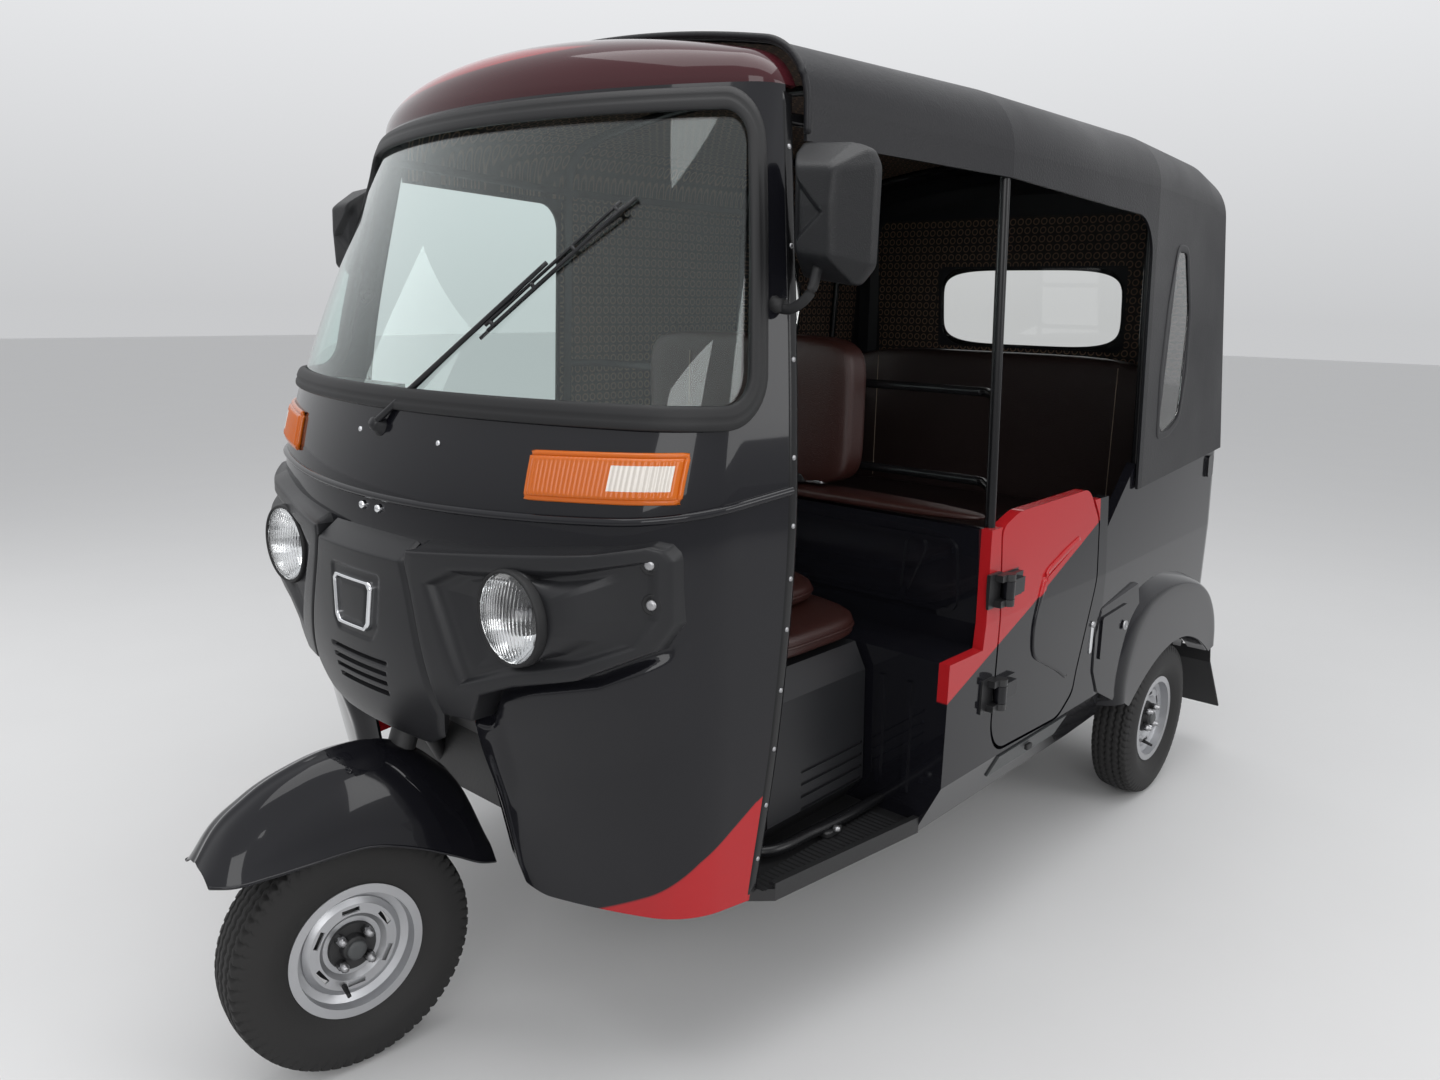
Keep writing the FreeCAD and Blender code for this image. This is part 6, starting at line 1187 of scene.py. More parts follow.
# %% Tyre surface
def tyre_points():
    """Closed profile by (across, radius), with the tread cut from it."""
    knots = np.array([(-0.0377, 0.1023), (-0.0377, 0.1160), (-0.0470, 0.1290), (-0.0530, 0.1480),
                      (-0.0540, 0.1560), (-0.0520, 0.1740), (-0.0475, 0.1920), (-0.0440, 0.2008),
                      (-0.0400, 0.2030), (-0.0250, 0.2056), (0.0, 0.2072), (0.0250, 0.2056), (0.0400, 0.2030),
                      (0.0440, 0.2008), (0.0475, 0.1920), (0.0520, 0.1740), (0.0540, 0.1560),
                      (0.0530, 0.1480), (0.0470, 0.1290), (0.0377, 0.1160), (0.0377, 0.1023)])
    length = np.concatenate([[0], np.cumsum(np.linalg.norm(np.diff(knots, axis=0), axis=1))])
    low_side, high_side = length[6], length[-7]
    d = np.concatenate([np.linspace(0, low_side, 11)[:-1], np.linspace(low_side, high_side, 56),
                        np.linspace(high_side, length[-1], 11)[1:]])
    across, radius = np.interp(d, length, knots[:, 0]), np.interp(d, length, knots[:, 1])
    turn = np.linspace(0, 2 * np.pi, 462, endpoint=False)
    T, X = grid(turn, across)
    R = np.broadcast_to(radius, X.shape)
    zig = 0.0026 * (np.abs(((T * 66 / (2 * np.pi)) % 1) * 2 - 1) * 2 - 1)
    depth = np.zeros(X.shape)
    for centre_x in (-0.0265, -0.0090, 0.0090, 0.0265):
        depth = np.maximum(depth, step((0.0030 - np.abs(X - centre_x - zig)) / 0.0014))
    cut = ((T * 66 / (2 * np.pi) + np.abs(X) * 22) % 1) < 0.30
    depth = np.maximum(depth, cut * step((np.abs(X) - 0.0345) / 0.002) * step((R - 0.183) / 0.004))
    fine = step((0.0007 - np.abs(((T * 132 / (2 * np.pi)) % 1) - 0.5) * 0.01) / 0.0006) * (np.abs(X) < 0.034)
    R = R - 0.0052 * depth - 0.0012 * fine * (depth < 0.5)
    base = np.broadcast_to(radius, X.shape)
    for ring_r in (0.137, 0.1715):
        R = R + 0.0010 * np.exp(-(((base - ring_r) / 0.0016) ** 2)) * (np.abs(X) > 0.04)
    return np.stack([X, R * np.sin(T), R * np.cos(T)], -1)


print("tread ready")

# %% Three tyres
REAR_AXLE = np.array([0.575, 0.890, 0.2075])
tyre_grid = tyre_points()
for wheel, side in (("front", 0), ("rear_left", 1), ("rear_right", -1)):
    points = tyre_grid + REAR_AXLE * np.array([side, 1, 1]) if side else parked(AXLE + tyre_grid)
    made = grid_mesh(wheel + "_tyre_tread", points, wheel + "_wheel", wrap_u=True, wrap_v=True)
    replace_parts(dress(made, "tyre"), wheel + "_tyre")
    tell(made)

# %% [markdown]
# ## Nuts, caps and valves
# Each wheel gets the small things that catch the eye: plated nuts, a grey centre cap and a rubber valve.
# They are placed about the axle once, and one function takes them to each wheel.

# %% Places on a wheel
def wheel_spot(wheel, points):
    """Points given about the axle with the outside towards +X, taken to their wheel."""
    points = np.asarray(points, float)
    if wheel == "front":
        return parked(AXLE + points)
    side = 1 if wheel == "rear_left" else -1
    return points * np.array([side, side, 1]) + REAR_AXLE * np.array([side, 1, 1])


def wheel_direction(wheel, direction):
    origin = wheel_spot(wheel, np.zeros(3))
    return wheel_spot(wheel, np.asarray(direction, float)) - origin


print("left rear hub at", wheel_spot("rear_left", (0, 0, 0)))

# %% Wheel details
NUT = [(-0.002, 0.0085), (0.006, 0.0085), (0.0075, 0.0060), (0.013, 0.0055), (0.013, 0.0)]
CAP = [(0.0, 0.0165), (0.003, 0.0165), (0.0055, 0.0140), (0.0065, 0.007), (0.0065, 0.0)]
for wheel in ("front", "rear_left", "rear_right"):
    body = wheel + "_wheel"
    out_dir = wheel_direction(wheel, (1, 0, 0))
    for k in range(4):
        turn = math.radians(45 + 90 * k)
        spot = wheel_spot(wheel, (0.0325, 0.033 * math.sin(turn), 0.033 * math.cos(turn)))
        lathe(f"{wheel}_stud_{k}", NUT, spot, out_dir, body, "steel", 6)
    lathe(wheel + "_cap", CAP, wheel_spot(wheel, (0.0345, 0, 0)), out_dir, body, "grey_plastic", 32)
    turn = math.radians(200)
    inner_end = wheel_spot(wheel, (0.026, 0.066 * math.sin(turn), 0.066 * math.cos(turn)))
    outer_end = wheel_spot(wheel, (0.052, 0.072 * math.sin(turn), 0.072 * math.cos(turn)))
    tube(wheel + "_valve", np.linspace(inner_end, outer_end, 5), [0.0045, 0.0045, 0.004, 0.0035, 0.0035],
         body, "rubber")
print("twelve nuts, three caps and three valves")

# %% [markdown]
# ## Wiper
# The blade is two thin rails and a rubber lip, held by a black arm from a nut below the screen. Straight
# tubes between measured ends are enough, because the pieces are seen as thin dark lines.

# %% Wiper
pivot, normal = np.array([0.0, -0.986, 1.072]), np.array([0.0, -0.93, 0.36])
blade_low, blade_high = np.array([0.195, -0.9250, 1.232]), np.array([0.365, -0.8060, 1.411])
middle, lift = (blade_low + blade_high) / 2, np.array([0.0, -0.006, 0.003])
nut_profile = [(0.0, 0.017), (0.010, 0.017), (0.016, 0.012), (0.024, 0.011), (0.028, 0.008), (0.029, 0.0)]
lathe("wiper_nut", nut_profile, pivot + normal * 0.004, normal, "body", "satin_black", 24)
arm_path = np.linspace(pivot + normal * 0.026, middle + lift * 3.0, 30)
arm = tube("wiper_arm", arm_path, np.linspace(0.0058, 0.0034, 30), "body", "satin_black")
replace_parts(arm, "wiper")
along = unit(blade_high - blade_low)
aside = unit(np.cross(along, [0, -0.91, 0.41]))
for k, shift in enumerate((-0.0065, 0.0065)):
    ends = np.linspace(blade_low + aside * shift, blade_high + aside * shift, 12) + lift
    tube(f"wiper_rail_{k}", ends, 0.0028, "body", "satin_black", sides=8)
for k, share in enumerate((0.04, 0.35, 0.65, 0.96)):
    spot = blade_low + (blade_high - blade_low) * share + lift
    yoke = np.linspace(spot - aside * 0.0075, spot + aside * 0.0075, 3)
    tube(f"wiper_yoke_{k}", yoke, 0.0032, "body", "satin_black", sides=8)
lip_path = np.linspace(blade_low - along * 0.02, blade_high + along * 0.02, 12) - lift * 0.1
tube("wiper_lip", lip_path, 0.0032, "body", "rubber", sides=8)
tell(arm)

# %% [markdown]
# ## A smooth path through a few points
# A bent stalk or pipe is drawn from a few given points. The path through them is measured by
# length and drawn with the smooth curve from above, so that its bends have no corners.

# %% Bent path
def bend_path(points, count=40):
    """Smooth path through a few points, by arc length."""
    points = np.asarray(points, float)
    length = np.concatenate([[0], np.cumsum(np.linalg.norm(np.diff(points, axis=0), axis=1))])
    t = np.linspace(0, length[-1], count)
    return np.stack([smooth(t, length, points[:, k]) for k in range(3)], -1)


print("path through three points:", bend_path([(0, 0, 0), (1, 0, 0), (1, 1, 0)], 5).shape)

# %% [markdown]
# ## Mirrors
# A mirror housing is a grained moulding of many soft corners, fuller at its back, on a bent stalk. Rings
# run from the rim to the middle of its outline, and the depth is the lesser of a slope and a flat front,
# blended so that the edge between them is soft. A triangular dent relieves the side that looks forward.

# %% Mirror
MIRROR = np.array([(574, 1316), (664, 1304), (688, 1330), (690, 1462), (678, 1484), (652, 1494), (566, 1500),
                   (556, 1488), (558, 1350)]) / 1000


def mirror(side):
    """Rings from the rim in to the middle; the depth is the lesser of a slope and a flat front."""
    tag = "left" if side > 0 else "right"
    rim = soften(along_loop(MIRROR, 144), 3)
    core = np.array([0.624, 1.402])
    shares = np.concatenate([[1.0, 1.0], np.linspace(1.0, 0.0, 34)])
    flat = core + (rim - core)[None] * np.maximum(shares, 0.002)[:, None, None]
    x, z = flat[..., 0], flat[..., 1]
    inside = np.maximum(signed_distance(x, z, MIRROR), 0)
    slope, full = 0.012 + inside * 1.5, 0.066 - 0.06 * np.abs(z - 1.41)
    depth = -np.log(np.exp(-slope * 220) + np.exp(-full * 220)) / 220
    dent = signed_distance(x, z, [(0.580, 1.350), (0.642, 1.400), (0.580, 1.462)])
    depth = depth - 0.009 * step((dent + 0.002) / 0.012)
    y = -0.640 - depth
    y[0] = -0.638
    housing = dress(grid_mesh("mirror_housing_" + tag, np.stack([side * x, y, z], -1), "body", wrap_v=True,
                              facing=(0, -1, 0)), "mirror_housing")
    thicken(housing, 0.003)
    pane_share = np.linspace(0.001, 1, 12)[:, None, None]
    pane_flat = core + (rim - core)[None] * 0.94 * pane_share
    pane_y = np.full(pane_flat.shape[:2], -0.6395)
    pane = np.stack([side * pane_flat[..., 0], pane_y, pane_flat[..., 1]], -1)
    dress(grid_mesh("mirror_glass_" + tag, pane, "body", wrap_v=True, facing=(0, 1, 0)), "mirror")
    stalk = bend_path([(side * 0.545, -0.694, 1.276), (side * 0.585, -0.692, 1.272),
                       (side * 0.612, -0.688, 1.292), (side * 0.618, -0.678, 1.330)], 26)
    tube("mirror_stalk_" + tag, stalk, 0.0075, "body", "rubber")
    lathe("mirror_foot_" + tag, [(0.0, 0.014), (0.014, 0.014), (0.018, 0.011), (0.030, 0.010), (0.030, 0.0)],
          (side * 0.543, -0.694, 1.276), (side, 0, 0), "body", "rubber", 24)
    return housing


left_housing = mirror(1)
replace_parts(left_housing, "mirrors")
mirror(-1)
tell(left_housing)

# %% [markdown]
# ## Cushions
# A cushion is foam under a stretched cover, so every face is crowned and every edge is full. Cloth
# simulation is the usual way to make one; here a sphere's points are pushed out to a squarer form, which
# gives a firm, tightly covered cushion at once. Sewn lines are narrow valleys in it.

# %% Pillow and sewn lines
def pillow(name, centre, half, body, key, power=5.0, crown=0.0, groove=None, count=(72, 48)):
    """Rounded block: the points of a sphere pushed out to a superellipsoid, crowned and with sewn grooves."""
    u, v = grid(np.linspace(-np.pi, np.pi, count[0], endpoint=False),
                np.linspace(-np.pi / 2, np.pi / 2, count[1]))
    direction = np.stack([np.cos(v) * np.cos(u), np.cos(v) * np.sin(u), np.sin(v)], -1)
    scale = (np.abs(direction) ** power).sum(-1) ** (-1 / power)
    unit_box = direction * scale[..., None]
    if crown:
        fall = np.clip(1 - unit_box[..., :2] ** 2, 0, 1)
        bulge = 1 + crown * fall[..., 0] * fall[..., 1]
        unit_box[..., 2] *= bulge / (1 + crown)
    points = np.asarray(centre) + unit_box * np.asarray(half)
    if groove is not None:
        points = groove(points, unit_box)
    return dress(grid_mesh(name, points, body, wrap_u=True), key)


def sew(lines, axis, width=0.006, depth=0.005, face=1):
    """Valleys at given places along one axis, on the faces that look along the other."""
    def change(points, box):
        for line in lines:
            valley = depth * np.exp(-(((points[..., axis] - line) / width) ** 2))
            points[..., face] -= valley * np.sign(box[..., face]) * (np.abs(box[..., face]) > 0.5)
        return points
    return change


print("pillow ready")

# %% [markdown]
# ## Driver's seat
# The driver sits on two stacked cushions and leans on a flat pad held by the partition.

# %% Driver's seat
squab_low = pillow("driver_squab", (0, -0.411, 0.6895), (0.454, 0.175, 0.0335), "body", "brown_leather",
                   5.0, 0.05)
squab_top = pillow("driver_pad", (0, -0.410, 0.740), (0.366, 0.166, 0.0370), "body", "brown_leather",
                   4.0, 0.30, sew([-0.18, 0.18], 0, face=2))
driver_back = pillow("driver_back", (0, -0.088, 1.059), (0.289, 0.043, 0.154), "body", "brown_leather",
                     6.5, 0.0, sew([-0.15, 0.15], 0))
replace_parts(driver_back, "driver_seat")
tell(squab_low, squab_top, driver_back)

# %% [markdown]
# ## Passengers' bench
# The bench is one long cushion with a tall back, both sewn in three panels, in a darker cover than the
# driver's.

# %% Bench
BENCH_SEAMS = (-0.385, 0.385)
bench = pillow("bench_cushion", (0, 0.765, 0.696), (0.573, 0.213, 0.054), "body", "bench_leather", 4.5, 0.10,
               sew(BENCH_SEAMS, 0, face=2), (120, 56))
bench_back = pillow("bench_back", (0, 1.022, 0.895), (0.573, 0.041, 0.252), "body", "bench_leather", 4.5, 0.0,
                    sew(BENCH_SEAMS, 0), (120, 56))
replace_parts(bench_back, "passenger_seat")
tell(bench, bench_back)

# %% [markdown]
# ## Piping and stitches
# A covered cord is sewn round the driver's cushions, and pale stitches run down the seams of both backs.
# The piping is the cushion's own outline moved out by a little, so it can't drift from the cushion.

# %% Piping and stitches
def piping(name, centre, half, power, height, radius=0.0026):
    """Cord sewn round a cushion at one height: the cushion's own outline, moved out by a little."""
    a = np.linspace(0, 2 * np.pi, 160, endpoint=False)
    scale = (np.abs(np.cos(a)) ** power + np.abs(np.sin(a)) ** power) ** (-1 / power)
    path = np.stack([centre[0] + half[0] * scale * np.cos(a), centre[1] + half[1] * scale * np.sin(a),
                      np.full(160, height)], -1)
    return tube(name, path, radius, "body", "brown_leather", closed=True, sides=8)


piping("squab_piping", (0, -0.411), (0.4545, 0.1755), 5.0, 0.690)
piping("pad_piping", (0, -0.410), (0.3665, 0.1665), 4.0, 0.741)
for k, x in enumerate(BENCH_SEAMS):
    seam_path = np.stack([np.full(30, x + 0.004), np.full(30, 0.9822), np.linspace(0.74, 1.12, 30)], -1)
    tube(f"bench_stitch_{k}", seam_path, 0.0011, "body", "thread", sides=6)
for k, x in enumerate((-0.15, 0.15)):
    seam_path = np.stack([np.full(24, x + 0.004), np.full(24, -0.1318), np.linspace(0.94, 1.17, 24)], -1)
    tube(f"driver_stitch_{k}", seam_path, 0.0012, "body", "thread", sides=6)
print("two cords and four stitched seams")

# %% [markdown]
# ## Padded rail
# A slim padded roll covers the rail on top of the partition. It is the same pillow, made long and low.

# %% Rail
rail = pillow("rail_roll", (0, -0.100, 0.8895), (0.594, 0.0455, 0.0140), "body", "brown_leather", 3.0, 0.1)
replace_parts(rail, "rail_pad")
tell(rail)

# %% [markdown]
# ## The canopy's form
# The canopy is coated cloth stretched over bows. The CAD model holds its solid; lining, seams and hem need
# its surface again, as a bow whose crest, half width, corner and lean change along the vehicle. It is the
# plan outline of the cab turned upright.

# %% Canopy surface
BOW_Y = [-0.606, -0.105, 0.575, 1.010, 1.190]
BOW_CREST = [1.702, 1.712, 1.713, 1.696, 1.668]
BOW_HALF = [0.556, 0.627, 0.634, 0.619, 0.606]
BOW_CORNER = [0.100, 0.120, 0.124, 0.124, 0.118]
BOW_LEAN = [1.9, 1.9, 2.2, 3.4, 3.4]


def canopy_point(share, y, inset, foot):
    """Roof surface: bow shapes whose numbers change along the vehicle, moved inwards by inset."""
    crest, half, corner, lean = (np.interp(y, BOW_Y, column) for column in (BOW_CREST, BOW_HALF, BOW_CORNER,
                                                                            BOW_LEAN))
    lean = np.radians(lean)
    foot_half = half - inset - np.tan(lean) * (foot - 0.872)
    x, v, _, _ = plan_point_lean(share, -(crest - inset), 2.4 - inset, foot_half, -foot, corner - inset, lean)
    return np.stack([x, y + 0 * x, -v], -1)


def plan_point_lean(share, nose, radius, half, edge, corner, lean):
    """The same outline as plan_point, with a lean that may differ from point to point."""
    sx, sv, ix, iv = -np.sin(lean), np.cos(lean), -np.cos(lean), -np.sin(lean)
    foot = -edge
    start_x, start_v = half + ix * corner, foot + iv * corner
    centre_v = -nose - radius
    along = start_x * sx + (start_v - centre_v) * sv
    reach = -along + np.sqrt(np.maximum(along**2 - start_x**2 - (start_v - centre_v) ** 2
                                        + (radius - corner) ** 2, 0))
    fx, fv = start_x + sx * reach, start_v + sv * reach
    turn = np.arctan2(fx, fv - centre_v)
    end = np.pi / 2 - lean
    first, second = radius * turn, corner * (end - turn)
    length = first + second + reach
    s = np.abs(share) * length
    a1, a2 = s / radius, turn + (s - first) / corner
    on_nose, on_corner = s <= first, s <= first + second
    a2 = np.where(on_corner, a2, end)
    x = np.where(on_nose, radius * np.sin(a1), fx + corner * np.sin(a2))
    v = np.where(on_nose, centre_v + radius * np.cos(a1), fv + corner * np.cos(a2))
    rest = np.maximum(s - first - second, 0)
    x, v = x + rest * np.sin(lean), v - rest * np.cos(lean)
    return np.where(share < 0, -1.0, 1.0) * x, -v, a2, length


print("canopy bows at y =", BOW_Y)

# %% [markdown]
# ## Lining of the roof
# The inside of the roof is covered in printed cloth. It is the canopy's own form, moved inwards by a little
# more than the canopy's wall, and it ends short of the rounded rear edge.

# %% Roof lining
LINING_INSET = 0.0075
S, Y = grid(np.linspace(-1, 1, 90), np.linspace(-0.595, 1.105, 80))
roof = grid_mesh("lining_roof", canopy_point(S, Y, LINING_INSET, 1.515), "body", facing=(0, 0, -1))
tell(dress(roof, "roof_lining"))

# %% [markdown]
# ## Lining of the sides and the rear
# The side and rear walls are flat sheets that lean a little, with the windows left out. A grid whose faces
# are dropped inside the window's outline is enough, since the border strips cover the stepped edge.

# %% Wall lining
LEAN_FOOT = 0.872
for side, tag, start in ((-1, "right", -0.125), (1, "left", 0.566)):
    Y, Z = grid(np.linspace(start, 1.125, 60), np.linspace(0.935, 1.52, 30))
    lean = np.tan(np.radians(np.interp(Y, BOW_Y, BOW_LEAN)))
    X = np.interp(Y, BOW_Y, BOW_HALF) - LINING_INSET - lean * (Z - LEAN_FOOT)
    window = signed_distance(Y, Z, [(0.655, 0.975), (0.822, 1.015), (0.860, 1.285), (0.815, 1.425),
                                    (0.735, 1.425)])
    centres = (window[:-1, :-1] + window[1:, 1:]) / 2
    wall = grid_mesh("lining_side_" + tag, np.stack([side * X, Y, Z], -1), "body", keep=centres < 0.004,
                     facing=(-side, 0, 0))
    tell(dress(wall, "lining"))
REAR_LEAN = math.radians(5.7)
X, Z = grid(np.linspace(-0.535, 0.535, 90), np.linspace(0.935, 1.540, 60))
points = np.stack([X, 1.251 - 0.0085 - np.tan(REAR_LEAN) * (Z - LEAN_FOOT), Z], -1)
window = np.maximum(np.abs(X) - 0.303, np.abs(Z - 1.273) - 0.124)
centres = (window[:-1, :-1] + window[1:, 1:]) / 2
wall = grid_mesh("lining_rear", points, "body", keep=centres > -0.002, facing=(0, -1, 0))
tell(dress(wall, "lining"))

# %% [markdown]
# ## Blocks and flat bars
# Many small fittings are rounded blocks or flat bars. A block is a small pillow with a high power, and a
# bar is an eight-sided profile carried along a path, wide across one direction and thin along the other.

# %% Block and strip
def block(name, centre, half, key):
    """Small rounded block that rides on the body."""
    return pillow(name, centre, half, "body", key, 6.0, count=(32, 20))


def strip(name, path, half_wide, half_deep, wide_dir, body, key, closed=False):
    """Flat bar along a path: an eight-sided profile, wide across one direction and thin along the other."""
    path = np.asarray(path, float)
    tangent = unit(np.roll(path, -1, 0) - np.roll(path, 1, 0)) if closed else unit(np.gradient(path, axis=0))
    wide = unit(np.broadcast_to(np.asarray(wide_dir, float), path.shape)
                 - (tangent * np.asarray(wide_dir, float)).sum(-1, keepdims=True) * tangent)
    deep = np.cross(tangent, wide)
    a = np.linspace(0, 2 * np.pi, 16, endpoint=False)
    form = (np.abs(np.cos(a)) ** 5 + np.abs(np.sin(a)) ** 5) ** (-1 / 5)
    ring = (path[:, None] + (half_wide * form * np.cos(a))[None, :, None] * wide[:, None]
             + (half_deep * form * np.sin(a))[None, :, None] * deep[:, None])
    if not closed:
        caps = [np.broadcast_to(end[None, None], ring[:1].shape) for end in (path[0], path[-1])]
        ring = np.concatenate([caps[0], ring, caps[1]])
    return dress(grid_mesh(name, ring, body, wrap_u=closed, wrap_v=True), key)


print("block and strip ready")

# %% [markdown]
# ## Belt buckles
# Belts lie on the padded rail. Their buckles and bright tongues are what shows from outside.

# %% Buckles
for k, x in enumerate((0.02, 0.15, -0.22)):
    block(f"belt_buckle_{k}", (x, -0.112, 0.917), (0.036, 0.016, 0.011), "rubber")
    block(f"belt_tongue_{k}", (x + 0.055, -0.108, 0.913), (0.024, 0.014, 0.004), "steel")
print("three buckles with their tongues")

# %% [markdown]
# ## Foot mats and foot rails
# A ribbed rubber mat covers each foot board; its ribs are the absolute value of a sine. A bent pipe along
# the board's edge keeps feet in, with a bracket and a bolt half way.

# %% Mats and rails
MAT_FRONT, MAT_LENGTH, MAT_INNER, RIB_PITCH = -0.668, 0.366, 0.512, 0.0125
for side, tag in ((1, "left"), (-1, "right")):
    U, V = grid(np.linspace(0, 1, 140), np.linspace(0, 1, 16))
    y = MAT_FRONT + U * MAT_LENGTH
    outer_x = 0.548 + (y - MAT_FRONT) * 0.088
    x = MAT_INNER + V * (outer_x - MAT_INNER) - 0.004
    z = 0.3325 + 0.0022 * np.abs(np.sin(np.pi * (y + 0.635) / RIB_PITCH))
    mat = grid_mesh("foot_mat_" + tag, np.stack([side * x, y, z], -1), "body", facing=(0, 0, 1))
    dress(mat, "rubber")
    pipe = bend_path([(side * 0.30, -0.640, 0.350), (side * 0.42, -0.632, 0.350),
                      (side * 0.482, -0.585, 0.350), (side * 0.498, -0.480, 0.350),
                      (side * 0.506, -0.340, 0.350), (side * 0.507, -0.198, 0.350)], 60)
    rail = tube("foot_rail_" + tag, pipe, 0.011, "body", "frame_paint", sides=16)
    block("rail_bracket_" + tag, (side * 0.497, -0.43, 0.3405), (0.022, 0.026, 0.007), "chassis_paint")
    screw("rail_bolt_" + tag, (side * 0.520, -0.43, 0.346), (0, 0, 1), 0.0075, 0.008)
    tell(mat, rail)

# %% [markdown]
# ## Door channels
# A dark channel with a row of small screws runs down the cab's rear edge on each side. The strip follows
# the shell's own edge line, and the screws stand on the same line.

# %% Channels
SCREW_LEVELS = (0.40, 0.50, 0.60, 0.70, 0.80, 0.88, 0.96, 1.06, 1.20, 1.36, 1.50)
for side, tag in ((1, "left"), (-1, "right")):
    edge_line = shell(np.full(80, side * 0.999), np.linspace(0.335, 1.575, 80))
    strip("door_channel_" + tag, edge_line + np.array([side * -0.004, 0.006, 0]), 0.011, 0.0045, (0, 1, 0),
          "body", "frame_paint")
    for k, z in enumerate(SCREW_LEVELS):
        spot = shell(np.array(side * 0.999), np.array(z)) + np.array([0, 0.006, 0])
        screw(f"edge_screw_{tag}_{k}", spot, (side, 0.1, 0), 0.0040, 0.003)
print(2 * len(SCREW_LEVELS), "channel screws")

# %% [markdown]
# ## Latches and locks
# A plated strip keeps the door's edge, a clip holds the sill, and the filler flap has a round lock. They
# are blocks and turned parts again.

# %% Latches
block("latch_strip", (0.6395, 0.352, 0.560), (0.003, 0.006, 0.036), "chrome")
block("sill_clip", (0.6365, 0.085, 0.384), (0.004, 0.012, 0.006), "rubber")
LOCK = [(0.0, 0.0115), (0.003, 0.0110), (0.0035, 0.0080), (0.0020, 0.0070), (0.0020, 0.0)]
flap_lock = lathe("flap_lock", LOCK, (0.6498, 0.520, 0.556), (1, 0, 0), "filler_flap", "steel", 28)
latch_pivot = lathe("latch_pivot", [(0.0, 0.0075), (0.004, 0.0070), (0.005, 0.0045), (0.005, 0.0)],
                    (0.6405, 0.352, 0.592), (1, 0, 0), "body", "steel", 18)
tell(flap_lock, latch_pivot)

# %% [markdown]
# ## Hem and welted seams
# The canopy's cloth is turned over a cord at its front edge, and a welt runs along each shoulder where two
# panels are joined. Both are thin tubes laid on the canopy's surface.

# %% Hem and seams
hem = tube("canopy_hem", canopy_point(np.linspace(-1, 1, 160), np.full(160, -0.606), -0.001, 0.90 + 0.62),
           0.0055, "body", "canopy_fabric", sides=12)
for side, tag in ((1, "left"), (-1, "right")):
    seam_line = canopy_point(np.full(120, side * 0.66), np.linspace(-0.598, 1.130, 120), -0.0006, 1.515)
    tell(tube("canopy_seam_" + tag, seam_line, 0.0028, "body", "canopy_fabric", sides=8))
tell(hem)

# %% [markdown]
# ## Sewn borders of the clear windows
# Each clear window is sewn in behind a border of the canopy's cloth. The quarter windows' border is a loop
# of a few softened corners; the rear window's is a superellipse.

# %% Window borders
QUARTER_WINDOW = [(0.660, 0.985), (0.740, 0.985), (0.815, 1.015), (0.855, 1.130), (0.858, 1.280),
                  (0.812, 1.418), (0.738, 1.420), (0.690, 1.290), (0.660, 1.130)]
wy, wz = soften(along_loop(QUARTER_WINDOW, 120), 4).T
wx = np.interp(wy, BOW_Y, BOW_HALF) - np.tan(np.radians(np.interp(wy, BOW_Y, BOW_LEAN))) * (wz - LEAN_FOOT)
outwards = np.stack([0 * wy, wy - 0.76, wz - 1.2], -1)
for side, tag in ((1, "left"), (-1, "right")):
    border = np.stack([side * wx, wy, wz], -1)
    strip("quarter_border_" + tag, border, 0.0085, 0.0016, outwards, "body", "canopy_fabric", closed=True)
turn = np.linspace(0, 2 * np.pi, 160, endpoint=False)
form = (np.abs(np.cos(turn)) ** 4.5 + np.abs(np.sin(turn)) ** 4.5) ** (-1 / 4.5)
bx, bz = 0.300 * form * np.cos(turn), 1.273 + 0.121 * form * np.sin(turn)
border = np.stack([bx, 1.2508 - math.tan(REAR_LEAN) * (bz - LEAN_FOOT), bz], -1)
tell(strip("rear_window_border", border, 0.0095, 0.0016, np.stack([bx, 0 * bx, bz - 1.273], -1), "body",
           "canopy_fabric", closed=True))

# %% [markdown]
# ## Bulkhead behind the front wheel
# A dark sheet closes the cab behind the front wheel. A flat plate would catch the light all at once, so it
# is dished a little, as any pressed sheet is.

# %% Bulkhead
X, Z = grid(np.linspace(-0.46, 0.46, 60), np.linspace(0.305, 0.640, 30))
dish = 0.010 * (1 - (X / 0.46) ** 2) * np.sin(np.pi * (Z - 0.305) / 0.335)
bulkhead = grid_mesh("wheel_bulkhead", np.stack([X, -0.740 + dish, Z], -1), "body", facing=(0, -1, 0))
tell(dress(bulkhead, "chassis_paint"))

# %% [markdown]
# ## Bead of the passenger door
# The door's skin is stiffened by a pressed bead in the shape of a hook. It lies on the door's own face,
# whose distance from the middle changes with height, and it rides on the door, so it swings with it.

# %% Door bead
bead_path = bend_path([(0, 0.250, 0.800), (0, 0.165, 0.776), (0, 0.095, 0.745), (0, 0.072, 0.700),
                       (0, 0.058, 0.640), (0, 0.068, 0.594), (0, 0.116, 0.566), (0, 0.180, 0.535),
                       (0, 0.232, 0.505)], 90)
bead_path[:, 0] = np.interp(bead_path[:, 2], [0.30, 0.41, 0.70, 0.93], [0.585, 0.638, 0.640, 0.626]) + 0.0005
tell(strip("door_bead", bead_path, 0.0075, 0.0035, (0, 0.7, 0.7), "passenger_door", "side_paint"))

# %% [markdown]
# ## Rear arches
# The rear arches are deep pressings over the wheels. Two outlines in the side view, the foot on the body
# and the ridge, are joined by a quarter of a turn, and a flat face runs on from the ridge to the lip round
# the wheel. That gives the full curve which catches one long highlight.

